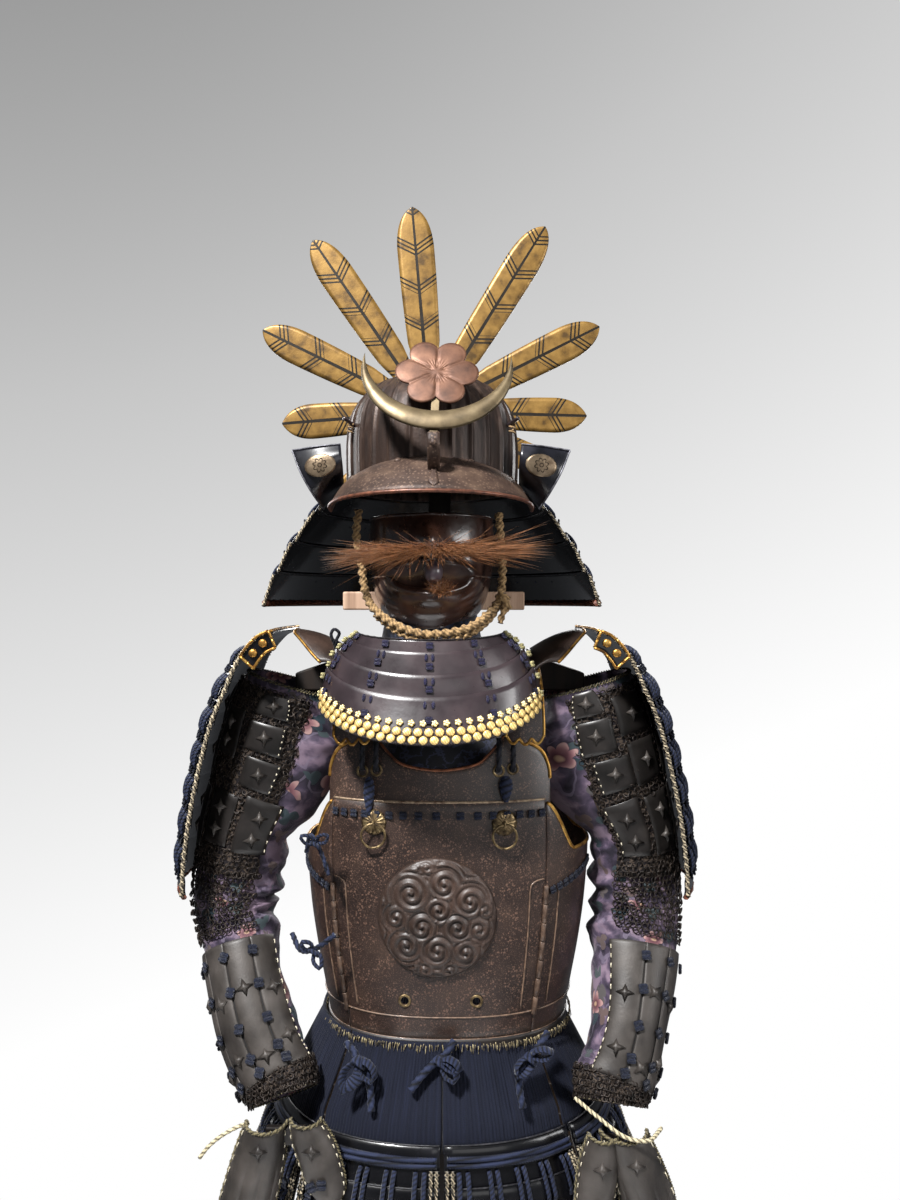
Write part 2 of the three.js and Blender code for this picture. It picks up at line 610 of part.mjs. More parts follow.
/** The chest plate stands behind the front plate's rim, and is cut to the neck and the armholes. */
function chestPlate() {
  const { half, arm, strap, shoulder, neck, peak, dip, lap } = CHEST;
  const curve = CHEST_CURVE;
  const sheet = torsoPlate(-CHEST_TURN, CHEST_TURN, DO.top - lap, () => peak + lap, -PLATE - 3 * SEAM, 20, 3);
  const foot = DO.top - 2 * lap;
  const [high, corner, low] = [arm + curve.arm, half - curve.corner, shoulder - curve.fall];
  const [inner, sag] = [neck - curve.neck, dip + curve.dip];
  const outline = new THREE.Shape().moveTo(-half, foot).lineTo(half, foot).lineTo(half, arm);
  outline.bezierCurveTo(half, high, corner, low, strap, shoulder).lineTo(neck, peak);
  outline.bezierCurveTo(inner, sag, curve.flat, dip, 0, dip);
  outline.bezierCurveTo(-curve.flat, dip, -inner, sag, -neck, peak).lineTo(-strap, shoulder);
  outline.bezierCurveTo(-corner, low, -half, high, -half, arm);
  return common(sheet, upright(outline, 120, -150, 5));
}
add("chest_plate", chestPlate(), RUSSET);

// -------------------------------------------- shoulder straps with their standing wings
const STRAP = [
  { s: 0, x: 101, y: -119, z: 830 },
  { s: 0.15, x: 101, y: -112, z: 866 },
  { s: 0.3, x: 100, y: -88, z: 904 },
  { s: 0.5, x: 98, y: -18, z: 936 },
  { s: 0.7, x: 97, y: 50, z: 922 },
  { s: 0.85, x: 95, y: 95, z: 884 },
  { s: 1, x: 93, y: 112, z: 840 },
];
const STRAP_HALF = 22;
const STRAP_THICK = 2.6;
const STRAP_CROWN = 3; // how far its long edges turn down
const WING = { root: 112, reach: 76, front: -74, back: 52, sink: 2, rise: 30, arch: 6 };

function strap(side) {
  const face = (rise) => (u, v) => {
    const [x, y, z] = ["x", "y", "z"].map((column) => at(STRAP, "s", column, v));
    const ahead = Math.min(v + 0.02, 1);
    const behind = Math.max(v - 0.02, 0);
    const dy = at(STRAP, "s", "y", ahead) - at(STRAP, "s", "y", behind);
    const dz = at(STRAP, "s", "z", ahead) - at(STRAP, "s", "z", behind);
    const length = Math.hypot(dy, dz);
    const out = (rise - STRAP_CROWN * (2 * u - 1) ** 2) / length;
    return vec(side * (x + mix(-STRAP_HALF, STRAP_HALF, u)), y - out * dz, z + out * dy);
  };
  return shell(face(STRAP_THICK), face(0), 4, 12);
}

/** A leaf-shaped plate that stands out and up from the strap over the shoulder. */
function wing(side) {
  const face = (drop) => (u, v) => {
    const reach = Math.sin(Math.PI * mix(0.08, 0.92, u)) ** 0.6;
    const out = v * reach;
    const y = mix(WING.front, WING.back, u);
    const z = at(STRAP, "y", "z", y) - WING.sink + WING.rise * out + WING.arch * Math.sin(Math.PI * v) - drop;
    return vec(side * (WING.root + WING.reach * out), y, z);
  };
  return shell(face(0), face(PLATE), 8, 3);
}
add("shoulder_strap_left", joined(strap(1), wing(1)), RUSSET);
add("shoulder_strap_right", joined(strap(-1), wing(-1)), RUSSET);

// -------------------------------------------- skirt: a waist band and seven tassets
const SKIRT_X = 4;
const SKIRT = [
  { z: 150, half: 292, front: 224, back: 208 },
  { z: 220, half: 268, front: 208, back: 194 },
  { z: 337, half: 225, front: 180, back: 166 },
  { z: 392, half: 198, front: 164, back: 152 },
  { z: 440, half: 173, front: 140, back: 130 },
  { z: 478, half: 153, front: 120, back: 115 },
];
const LAME = { first: 392, pitch: 48, count: 5, step: 3 };
const TASSETS = [
  { name: "front_right", middle: -21.6, half: 21.2 },
  { name: "front_left", middle: 21.6, half: 21.2 },
  { name: "side_right", middle: -67, half: 22.5 },
  { name: "side_left", middle: 67, half: 22.5 },
  { name: "rear_right", middle: -112.5, half: 21.5 },
  { name: "rear_left", middle: 112.5, half: 21.5 },
  { name: "back_right", middle: -157.3, half: 21.9 },
  { name: "back_left", middle: 157.3, half: 21.9 },
];

/** The skirt's cone at an angle from the front, moved out by offset. */
function skirtPoint(angle, z, offset = 0) {
  const [s, c] = [Math.sin(rad(angle)), Math.cos(rad(angle))];
  const half = at(SKIRT, "z", "half", z) + offset;
  const deep = at(SKIRT, "z", c > 0 ? "front" : "back", z) + offset;
  const soft = (value) => Math.sign(value) * Math.pow(Math.abs(value), 0.9);
  return vec(SKIRT_X + half * soft(s), -deep * soft(c), z);
}

/** Heights and offsets down a tasset: the hanging cords, then each lame from its rim to its foot. */
function tassetProfile() {
  const rows = [
    { z: 474, out: 0 },
    { z: 436, out: 0 },
    { z: LAME.first, out: -1 },
  ];
  for (let i = 0; i < LAME.count; i++) {
    const top = LAME.first - i * LAME.pitch;
    rows.push({ z: top, out: LAME.step }, { z: top - LAME.pitch, out: 0 });
  }
  return rows;
}

function tasset({ middle, half }) {
  const rows = tassetProfile();
  const down = rows.length - 1;
  const face = (inset) => (u, v) => {
    const row = rows[Math.round(v * down)];
    return skirtPoint(middle + mix(-half, half, u), row.z, row.out - inset);
  };
  return shell(face(0), face(LACED), 4, down);
}
for (const row of TASSETS) add(`tasset_${row.name}`, tasset(row), NAVY);

const WAIST = { top: 482, foot: 476, out: 1, wall: 3 };
const waist = (inset) => (u, v) =>
  torsoPoint(u > 0.5 ? 360 * u - 360 : 360 * u, mix(WAIST.top, WAIST.foot, v), WAIST.out - inset);
add("waist_band", shell(waist(0), waist(WAIST.wall), 36, 1, true), LEATHER);

// -------------------------------------------- arms: cloth sleeves with mail and splints
const ARMS = {
  left: [
    { s: 0, x: 188, y: 5, z: 893, wide: 60, deep: 64 },
    { s: 1, x: 200, y: 4, z: 852, wide: 68, deep: 66 },
    { s: 2, x: 211, y: 2, z: 805, wide: 69, deep: 63 },
    { s: 3, x: 229, y: 0, z: 750, wide: 63, deep: 58 },
    { s: 4, x: 248, y: -2, z: 700, wide: 51, deep: 54 },
    { s: 5, x: 250, y: -4, z: 655, wide: 55, deep: 53 },
    { s: 6, x: 251, y: -9, z: 612, wide: 55, deep: 53 },
    { s: 7, x: 246, y: -22, z: 572, wide: 55, deep: 51 },
    { s: 8, x: 239, y: -48, z: 531, wide: 49, deep: 46 },
    { s: 9, x: 228, y: -75, z: 488, wide: 42, deep: 42 },
    { s: 10, x: 213, y: -95, z: 448, wide: 43, deep: 38 },
    { s: 11, x: 203, y: -108, z: 429, wide: 43, deep: 35 },
    { s: 12, x: 200, y: -116, z: 414, wide: 39, deep: 31 },
  ],
  right: [
    { s: 0, x: -190, y: 5, z: 893, wide: 60, deep: 64 },
    { s: 1, x: -202, y: 4, z: 852, wide: 68, deep: 66 },
    { s: 2, x: -214, y: 2, z: 805, wide: 69, deep: 63 },
    { s: 3, x: -234, y: 0, z: 750, wide: 62, deep: 58 },
    { s: 4, x: -251, y: -2, z: 700, wide: 55, deep: 54 },
    { s: 5, x: -257, y: -4, z: 655, wide: 56, deep: 52 },
    { s: 6, x: -263, y: -9, z: 615, wide: 52, deep: 51 },
    { s: 7, x: -254, y: -22, z: 575, wide: 47, deep: 48 },
    { s: 8, x: -240, y: -48, z: 533, wide: 44, deep: 44 },
    { s: 9, x: -221, y: -75, z: 488, wide: 44, deep: 42 },
    { s: 10, x: -200, y: -95, z: 451, wide: 43, deep: 38 },
    { s: 11, x: -187, y: -108, z: 434, wide: 42, deep: 35 },
    { s: 12, x: -181, y: -116, z: 421, wide: 38, deep: 31 },
  ],
};
const LAST = 12; // the last section's s

/** A sleeve's surface at s along it and an angle from the front, moved out by offset. */
function armPoint(rows, s, angle, offset = 0) {
  const place = (t) => vec(...["x", "y", "z"].map((column) => at(rows, "s", column, t)));
  const along = place(Math.min(s + 0.5, LAST)).sub(place(Math.max(s - 0.5, 0))).normalize();
  const outward = vec(1, 0, 0).addScaledVector(along, -along.x).normalize();
  const forward = outward.clone().cross(along).normalize();
  if (forward.y > 0) forward.negate();
  const wide = at(rows, "s", "wide", s) + offset;
  const deep = at(rows, "s", "deep", s) + offset;
  return place(s)
    .addScaledVector(outward, wide * Math.sin(rad(angle)))
    .addScaledVector(forward, deep * Math.cos(rad(angle)));
}

const FOLD = { deep: 3.2, at: 6, spread: 1.6, often: 5.2 };

/** Sleeve folds: soft rings of cloth that crowd at the elbow, deeper on the inner side. */
function fold(s, angle, side) {
  const inner = 0.5 - 0.5 * side * Math.sin(rad(angle));
  const crowd = Math.exp(-(((s - FOLD.at) / FOLD.spread) ** 2));
  return FOLD.deep * crowd * inner * Math.sin(FOLD.often * s + 0.9 * Math.cos(rad(angle)));
}

function sleeve(side) {
  const rows = side > 0 ? ARMS.left : ARMS.right;
  const face = (inset) => (u, v) => {
    const [s, angle] = [v * LAST, 360 * u];
    return armPoint(rows, s, angle, fold(s, angle, side) - inset);
  };
  return shell(face(0), face(CLOTH), 14, 15, true);
}

/** A stiff patch over the sleeve, from one angle to another and from one section to another. */
function armPatch(side, [from, to], [top, bottom], lift, thickness, across, down) {
  const rows = side > 0 ? ARMS.left : ARMS.right;
  const face = (inset) => (u, v) =>
    armPoint(rows, mix(top, bottom, v), side * mix(from, to, u), lift + thickness - inset);
  return shell(face(0), face(thickness), across, down);
}
const MAIL_PATCH = { round: [-34, 150], along: [0.25, 7.1], lift: 5.2, thickness: 2 };
// The right forearm's splints sit turned further toward the body than the left's.
const SPLINTS = { left: [-38, 150], right: [-62, 126], along: [7.35, 10.9], lift: 3, thickness: 2.4 };
for (const side of [1, -1]) {
  const name = side > 0 ? "left" : "right";
  add(`sleeve_${name}`, sleeve(side), BROCADE);
  const { round, along, lift, thickness } = MAIL_PATCH;
  add(`arm_mail_${name}`, armPatch(side, round, along, lift, thickness, 7, 8), MAIL);
  add(
    `forearm_guard_${name}`,
    armPatch(side, SPLINTS[name], SPLINTS.along, SPLINTS.lift, SPLINTS.thickness, 8, 3),
    STEEL,
  );
}

// -------------------------------------------- hand guards: a back plate and a thumb plate
const HAND = { y: -156, dome: 28, thumbY: -164, thumbDome: 20, plate: 2.2, web: 20 };
const HANDS = {
  left: {
    back: [
      { z: 247, x: 240, half: 16 },
      { z: 280, x: 240, half: 30 },
      { z: 328, x: 235, half: 31 },
      { z: 364, x: 223, half: 30 },
      { z: 404, x: 208, half: 26 },
    ],
    thumb: [
      { z: 300, x: 169, half: 9 },
      { z: 316, x: 172, half: 18 },
      { z: 346, x: 176, half: 22 },
      { z: 375, x: 180, half: 22 },
      { z: 404, x: 184, half: 16 },
    ],
  },
  right: {
    back: [
      { z: 292, x: -219, half: 16 },
      { z: 318, x: -216, half: 30 },
      { z: 349, x: -208, half: 31 },
      { z: 386, x: -199, half: 28 },
      { z: 414, x: -193, half: 23 },
    ],
    thumb: [
      { z: 328, x: -121, half: 10 },
      { z: 344, x: -124, half: 20 },
      { z: 371, x: -131, half: 23 },
      { z: 398, x: -140, half: 23 },
      { z: 421, x: -148, half: 17 },
    ],
  },
};

/** A domed plate over a table of widths; deep is how far its middle stands forward of y. */
function domedPlate(rows, y, deep, across, down) {
  const face = (inset) => (u, v) => {
    const z = mix(rows[0].z, rows[4].z, v);
    const half = at(rows, "z", "half", z) - inset;
    const turn = rad(mix(-88, 88, u));
    return vec(at(rows, "z", "x", z) + half * Math.sin(turn), y - (deep - inset) * Math.cos(turn), z);
  };
  return shell(face(0), face(HAND.plate), across, down);
}

/** The plates of one hand on the band of leather that joins them. */
function handGuard({ back, thumb }) {
  const band = block(
    (back[4].x + thumb[4].x) / 2,
    HAND.y - 6,
    Math.min(back[4].z, thumb[4].z) - HAND.web / 2 - 3,
    Math.abs(back[4].x - thumb[4].x),
    8,
    HAND.web,
  );
  const backPlate = domedPlate(back, HAND.y, HAND.dome, 8, 5);
  return joined(backPlate, domedPlate(thumb, HAND.thumbY, HAND.thumbDome, 6, 4), band);
}
for (const name of ["left", "right"]) add(`hand_guard_${name}`, handGuard(HANDS[name]), STEEL);

// -------------------------------------------- shoulder guards: a crown plate and seven lames
const GUARD = [
  { s: 0, x: 197, z: 963 },
  { s: 1, x: 220, z: 952 },
  { s: 2, x: 246, z: 930 },
  { s: 3, x: 272, z: 891 },
  { s: 4, x: 289, z: 850 },
  { s: 5, x: 300, z: 809 },
  { s: 6, x: 309, z: 768 },
  { s: 7, x: 316, z: 727 },
  { s: 8, x: 321, z: 686 },
  { s: 9, x: 323, z: 646 },
];
const GUARD_SHAPE = { half: 96, bulge: 26, step: 3.2, x: -5, out: 4 };

/** The shoulder guard's surface: s down it, w from -1 in front to 1 behind, moved out by offset. */
function guardPoint(side, s, w, offset) {
  const dx = at(GUARD, "s", "x", Math.min(s + 0.1, 9)) - at(GUARD, "s", "x", Math.max(s - 0.1, 0));
  const dz = at(GUARD, "s", "z", Math.min(s + 0.1, 9)) - at(GUARD, "s", "z", Math.max(s - 0.1, 0));
  const length = Math.hypot(dx, dz);
  const drawn = GUARD_SHAPE.bulge * w * w * clamp(s / 3, 0.25, 1);
  const x = at(GUARD, "s", "x", s) - drawn - (offset * dz) / length;
  const z = at(GUARD, "s", "z", s) + (offset * dx) / length;
  return vec(GUARD_SHAPE.x + side * (x + GUARD_SHAPE.out), GUARD_SHAPE.half * w, z);
}

function shoulderGuard(side) {
  const rows = [
    { s: 0, out: 0 },
    { s: 0.7, out: 0 },
    { s: 1.4, out: 0 },
    { s: 2, out: 0 },
  ];
  for (let s = 2; s < 9; s++) rows.push({ s, out: GUARD_SHAPE.step }, { s: s + 1, out: 0 });
  const down = rows.length - 1;
  const face = (inset) => (u, v) => {
    const row = rows[Math.round(v * down)];
    return guardPoint(side, row.s, 2 * u - 1, row.out - inset);
  };
  return shell(face(0), face(LACED), 6, down);
}
add("shoulder_guard_left", shoulderGuard(1), BLACK);
add("shoulder_guard_right", shoulderGuard(-1), BLACK);

// -------------------------------------------- stand: post, yoke, head bar and block, base
const STAND = { base: 26, wide: 420, long: 360, y: 10, post: 28, deep: 26, head: 1190, let: 15 };
const CAP = [
  { z: 1190, r: 0 },
  { z: 1190, r: 46 },
  { z: 1215, r: 58 },
  { z: 1244, r: 56 },
  { z: 1266, r: 40 },
  { z: 1277, r: 20 },
  { z: 1281, r: 0 },
];
const YOKE = { half: 186, foot: 884, end: 906, top: 927, inner: 124 };
const HEAD_BAR = { x: -7.5, half: 114, front: -41.6, z: 999, tall: 23 };

/** A low base, a post through the torso, a yoke, a bar behind the mask and a cap in the helmet. */
function stand() {
  const base = block(0, STAND.y, STAND.base / 2, STAND.wide, STAND.long, STAND.base);
  const foot = STAND.base / 2; // the post is let into the base
  const rise = STAND.head + STAND.let - foot; // and into the cap
  const post = block(0, 0, foot + rise / 2, STAND.post, STAND.deep, rise);
  const yoke = new THREE.Shape().moveTo(-YOKE.half, YOKE.foot).lineTo(YOKE.half, YOKE.foot);
  yoke.lineTo(YOKE.half, YOKE.end).lineTo(YOKE.inner, YOKE.top).lineTo(-YOKE.inner, YOKE.top);
  yoke.lineTo(-YOKE.half, YOKE.end);
  const { x, half, front, z, tall } = HEAD_BAR;
  const deep = 1 - STAND.deep / 2 - front;
  const bar = block(x, front + deep / 2, z, 2 * half, deep, tall);
  const profile = CAP.map((row) => new THREE.Vector2(row.r, row.z));
  const cap = new THREE.LatheGeometry(profile, 16).rotateX(Math.PI / 2).translate(HEAD_X, 0, 0);
  return joined(base, post, upright(yoke, STAND.deep, -STAND.deep / 2), bar, cap);
}
add("stand", stand(), WOOD);

// -------------------------------------------- laces: tied on the cuirass, waist and wrists
const LACES = [
  {
    name: "wrist_lace_right",
    diameter: 5,
    route: [
      [-214, -152, 409],
      [-228, -157, 406],
      [-243, -160, 399],
      [-257, -161, 388],
      [-268, -160, 374],
    ],
  },
  {
    name: "wrist_lace_left",
    diameter: 5,
    route: [
      [156, -140, 430],
      [178, -168, 424],
      [204, -186, 413],
      [230, -186, 409],
      [250, -160, 407],
    ],
  },
  {
    name: "side_tie_upper",
    diameter: 6,
    route: [
      [-158, -98, 700],
      [-152, -108, 722],
      [-143, -118, 716],
      [-134, -122, 698],
      [-128, -124, 680],
    ],
  },
  {
    name: "side_tie_lower",
    diameter: 7,
    route: [
      [-178, -80, 596],
      [-166, -98, 584],
      [-150, -112, 588],
      [-134, -122, 600],
      [-121, -128, 612],
    ],
  },
  {
    name: "waist_tie_right",
    diameter: 9,
    route: [
      [-108, -117, 482],
      [-96, -132, 476],
      [-84, -138, 462],
      [-78, -142, 440],
      [-76, -150, 420],
    ],
  },
  {
    name: "waist_tie_middle",
    diameter: 9,
    route: [
      [18, -128, 490],
      [8, -136, 478],
      [-6, -138, 468],
      [-20, -143, 456],
      [-32, -150, 444],
    ],
  },
  {
    name: "waist_tie_left",
    diameter: 9,
    route: [
      [128, -112, 492],
      [112, -128, 478],
      [98, -137, 470],
      [92, -142, 448],
      [96, -150, 424],
    ],
  },
];
for (const { name, diameter, route } of LACES) add(name, cord(route, diameter, 8), NAVY);

export default armour;
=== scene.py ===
# A samurai armour on its wooden stand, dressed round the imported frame. Tables are in millimetres; +Z is up,
# the front faces -Y and +X is the wearer's left.
import math
import random

import bpy
from mathutils import Matrix, Vector


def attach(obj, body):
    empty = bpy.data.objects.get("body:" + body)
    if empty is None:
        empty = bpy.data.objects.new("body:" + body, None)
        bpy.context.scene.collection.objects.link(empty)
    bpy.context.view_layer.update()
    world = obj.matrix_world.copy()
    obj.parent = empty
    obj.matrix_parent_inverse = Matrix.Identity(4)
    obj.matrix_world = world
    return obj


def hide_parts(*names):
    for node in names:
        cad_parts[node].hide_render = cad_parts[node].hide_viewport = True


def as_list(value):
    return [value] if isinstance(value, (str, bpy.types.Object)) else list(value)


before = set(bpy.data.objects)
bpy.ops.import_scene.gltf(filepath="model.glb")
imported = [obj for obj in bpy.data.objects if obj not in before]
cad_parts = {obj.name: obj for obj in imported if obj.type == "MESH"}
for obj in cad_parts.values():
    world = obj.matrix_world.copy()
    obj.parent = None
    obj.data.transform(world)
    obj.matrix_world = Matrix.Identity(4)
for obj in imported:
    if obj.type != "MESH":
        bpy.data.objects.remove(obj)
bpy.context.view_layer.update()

MM = 0.001

# ---------------------------------------------------------------- camera
# One level camera stands in front of the chest, as near as a visitor would come.
bpy.ops.object.select_all(action="DESELECT")
CAMERA_AT, CAMERA_LENS = (0.013, -1.17, 1.0), 27
bpy.ops.object.camera_add(location=CAMERA_AT, rotation=(math.pi / 2, 0, 0))
camera = bpy.context.object
camera.data.lens = CAMERA_LENS
bpy.context.scene.camera = camera

# ---------------------------------------------------------------- laces and ties
# Seven cords, tied by hand: three navy braids hang at the waist and two close the cuirass at the wearer's
# right, each with two bow loops. A pale twisted cord at each wrist holds a hand guard.


def tone(code):
    """A linear colour from a hex code."""
    parts = [int(code[i : i + 2], 16) / 255 for i in (1, 3, 5)]
    return (*[p / 12.92 if p <= 0.04045 else ((p + 0.055) / 1.055) ** 2.4 for p in parts], 1)


SHEEN_ROUGH, NOISE_ROUGH = 0.4, 0.55


class Finish:
    """A material, built up node by node."""

    def __init__(self, name, rough=0.5, metal=0.0, coat=0.0, sheen=0.0, coat_rough=0.08, specular=0.5):
        self.material = bpy.data.materials.new(name)
        self.material.use_nodes = True
        self.tree = self.material.node_tree
        self.shader = self.tree.nodes["Principled BSDF"]
        settings = {"Roughness": rough, "Metallic": metal, "Coat Weight": coat, "Coat Roughness": coat_rough}
        settings |= {"Sheen Weight": sheen, "Sheen Roughness": SHEEN_ROUGH, "Specular IOR Level": specular}
        for key, value in settings.items():
            self.shader.inputs[key].default_value = value
        where = self.tree.nodes.new("ShaderNodeTexCoord")
        self.place, self.uv = where.outputs["Object"], where.outputs["UV"]

    def join(self, value, socket):
        if isinstance(value, bpy.types.NodeSocket):
            self.tree.links.new(value, socket)
        elif value is not None:
            socket.default_value = value

    def math(self, operation, a, b=None):
        node = self.tree.nodes.new("ShaderNodeMath")
        node.operation = operation
        for value, socket in zip((a, b), node.inputs):
            self.join(value, socket)
        return node.outputs[0]

    def stretch(self, scale, at=None, turn=(0, 0, 0)):
        node = self.tree.nodes.new("ShaderNodeMapping")
        self.join(at or self.place, node.inputs["Vector"])
        node.inputs["Scale"].default_value = scale
        node.inputs["Rotation"].default_value = turn
        return node.outputs[0]

    def split(self, at):
        node = self.tree.nodes.new("ShaderNodeSeparateXYZ")
        self.join(at, node.inputs[0])
        return node.outputs

    def noise(self, scale, detail=3.0, at=None):
        node = self.tree.nodes.new("ShaderNodeTexNoise")
        self.join(at or self.place, node.inputs["Vector"])
        node.inputs["Scale"].default_value = scale
        node.inputs["Detail"].default_value = detail
        node.inputs["Roughness"].default_value = NOISE_ROUGH
        return node.outputs[0]

    def cells(self, scale, at=None):
        node = self.tree.nodes.new("ShaderNodeTexVoronoi")
        self.join(at or self.place, node.inputs["Vector"])
        node.inputs["Scale"].default_value = scale
        return node.outputs["Distance"]

    def ramp(self, factor, *stops):
        node = self.tree.nodes.new("ShaderNodeValToRGB")
        self.join(factor, node.inputs[0])
        band = node.color_ramp
        while len(band.elements) < len(stops):
            band.elements.new(1)
        for element, (position, colour) in zip(band.elements, stops):
            element.position = position
            element.color = tone(colour) if isinstance(colour, str) else (colour, colour, colour, 1)
        return node.outputs[0]

    def blend(self, factor, a, b):
        node = self.tree.nodes.new("ShaderNodeMix")
        node.data_type = "RGBA"
        self.join(factor, node.inputs[0])
        self.join(tone(a) if isinstance(a, str) else a, node.inputs[6])
        self.join(tone(b) if isinstance(b, str) else b, node.inputs[7])
        return node.outputs[2]

    def colour(self, value):
        self.join(tone(value) if isinstance(value, str) else value, self.shader.inputs["Base Color"])
        return self

    def rough(self, factor, low, high):
        node = self.tree.nodes.new("ShaderNodeMapRange")
        self.join(factor, node.inputs[0])
        node.inputs[3].default_value, node.inputs[4].default_value = low, high
        self.join(node.outputs[0], self.shader.inputs["Roughness"])
        return self

    def bump(self, height, depth, strength=1.0):
        """Relief as deep as depth millimetres where height goes from 0 to 1."""
        node = self.tree.nodes.new("ShaderNodeBump")
        node.inputs["Strength"].default_value = strength
        node.inputs["Distance"].default_value = depth * MM
        self.join(height, node.inputs["Height"])
        self.join(node.outputs[0], self.shader.inputs["Normal"])
        return self


def braid(name, dark, light, stitches=3.0):
    """Plaited silk: fine slanting stitches along the braid's own length, painted darker in their grooves as painted
    shade.
    """
    silk = Finish(name, rough=0.75, sheen=0.1, specular=0.25)
    across, along, _ = silk.split(silk.uv)
    slant = silk.math("ADD", silk.math("MULTIPLY", along, stitches * 220), silk.math("MULTIPLY", across, 6))
    wave = silk.math("ABSOLUTE", silk.math("SINE", slant))
    wear = silk.noise(160, 3)
    # The colour follows the stitch relief, lighter on the crests and darker in the grooves: painted shade.
    shade = silk.math("MULTIPLY", wave, silk.math("ADD", wear, 0.35))
    silk.colour(silk.ramp(shade, (0.1, dark), (0.85, light)))
    silk.bump(wave, 0.5, 0.9)
    return silk.material


def along(points, step):
    """Points every step, or a little less, along one smooth curve through the given points."""
    points = [Vector(p) for p in points]
    ends = [2 * points[0] - points[1], *points, 2 * points[-1] - points[-2]]
    dense = []
    for a, b, c, d in zip(ends, ends[1:], ends[2:], ends[3:]):
        for i in range(24):
            t = i / 24
            curve = 2 * b + (c - a) * t + (2 * a - 5 * b + 4 * c - d) * t**2 + (3 * b - a - 3 * c + d) * t**3
            dense.append(curve / 2)
    dense.append(points[-1])
    whole = [0.0]
    for a, b in zip(dense, dense[1:]):
        whole.append(whole[-1] + (b - a).length)
    count = max(2, math.ceil(whole[-1] / step))
    found, i = [], 0
    for k in range(count + 1):
        goal = whole[-1] * k / count
        while i < len(dense) - 2 and whole[i + 1] < goal:
            i += 1
        t = (goal - whole[i]) / max(whole[i + 1] - whole[i], 1e-9)
        found.append(dense[i].lerp(dense[i + 1], min(max(t, 0), 1)))
    return found


def piece(name, points, faces, corners=None, smooth=True):
    """A mesh object from points in millimetres; corners holds one (u, v) in metres for each face corner."""
    mesh = bpy.data.meshes.new(name)
    mesh.from_pydata([Vector(p) * MM for p in points], [], faces)
    if corners:
        layer = mesh.uv_layers.new(name="UVMap")
        layer.data.foreach_set("uv", [value for corner in corners for value in corner])
    mesh.polygons.foreach_set("use_smooth", [smooth] * len(faces))
    mesh.update()
    made = bpy.data.objects.new(name, mesh)
    bpy.context.collection.objects.link(made)
    return made


def tube_parts(path, radius, lobes=0, pitch=12, sides=8, depth=0.22, flat=1.0, start=0):
    """Points, faces and corners of a round, flat or twisted cord that follows a path; radius may be a function."""
    points, faces, corners = [], [], []
    tangent = (path[1] - path[0]).normalized()
    up = Vector((0, 0, 1)) if abs(tangent.z) < 0.9 else Vector((0, 1, 0))
    side = tangent.cross(up).normalized()
    run, lengths = 0.0, []
    for i, spot in enumerate(path):
        ahead, behind = path[min(i + 1, len(path) - 1)], path[max(i - 1, 0)]
        run += (spot - behind).length
        tangent = (ahead - behind).normalized()
        side = (side - tangent * side.dot(tangent)).normalized()
        up = side.cross(tangent)
        wide = radius(i / (len(path) - 1)) if callable(radius) else radius
        lengths.append(run)
        for k in range(sides):
            turn = 2 * math.pi * k / sides + (2 * math.pi * run / pitch if lobes else 0)
            swell = 1 + depth * math.cos(2 * math.pi * lobes * k / sides) if lobes else 1
            points.append(spot + side * (wide * swell * math.cos(turn)) + up * (wide * swell * flat * math.sin(turn)))
    for i in range(len(path) - 1):
        for k in range(sides):
            a, b = i * sides + k, i * sides + (k + 1) % sides
            faces.append([start + n for n in (a, a + sides, b + sides, b)])
            u, w = k / sides, (k + 1) / sides
            corners += [(u, lengths[i] * MM), (u, lengths[i + 1] * MM), (w, lengths[i + 1] * MM), (w, lengths[i] * MM)]
    last = (len(path) - 1) * sides
    faces.append([start + k for k in range(sides)])
    faces.append([start + last + k for k in reversed(range(sides))])
    corners += [(0.5, 0)] * sides + [(0.5, run * MM)] * sides
    return points, faces, corners


def cords(name, routes, radius, step=None, **how):
    """Several cords of one kind in one mesh. A route is a list of points that the cord follows smoothly."""
    points, faces, corners = [], [], []
    for route in routes:
        reach = radius(0.5) if callable(radius) else radius
        path = along(route, step or reach * 1.5)
        p, f, c = tube_parts(path, radius, start=len(points), **how)
        points, faces, corners = points + p, faces + f, corners + c
    return piece(name, points, faces, corners)


def dress(made, material, slot, *nodes, body="root"):
    """Gives a piece its material and its body, and hides the CAD nodes that it stands for; slot is not used."""
    made.data.materials.clear()
    made.data.materials.append(material)
    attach(made, body)
    if nodes:
        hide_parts(*nodes)
    return made


navy_braid = braid("navy_braid", "#05060c", "#232a42")
white_cord = braid("wrist_cord", "#5c5442", "#cfc3a2", 4.0)
LACES = {
    # width, the points it runs through
    "wrist_lace_right": (5, [(-214, -152, 409), (-228, -157, 406), (-243, -160, 399), (-257, -161, 388),
                             (-268, -160, 374)]),
    "wrist_lace_left": (5, [(156, -140, 430), (178, -168, 424), (204, -186, 413), (230, -186, 409), (250, -160, 407)]),
    "side_tie_upper": (6, [(-158, -98, 700), (-152, -108, 722), (-143, -118, 716), (-134, -122, 698),
                           (-128, -124, 680)]),
    "side_tie_lower": (7, [(-178, -80, 596), (-166, -98, 584), (-150, -112, 588), (-134, -122, 600),
                           (-121, -128, 612)]),
    "waist_tie_right": (9, [(-108, -117, 482), (-96, -132, 476), (-84, -138, 462), (-78, -142, 440),
                            (-76, -150, 420)]),
    "waist_tie_middle": (9, [(18, -128, 490), (8, -136, 478), (-6, -138, 468), (-20, -143, 456), (-32, -150, 444)]),
    "waist_tie_left": (9, [(128, -112, 492), (112, -128, 478), (98, -137, 470), (92, -142, 448), (96, -150, 424)]),
}
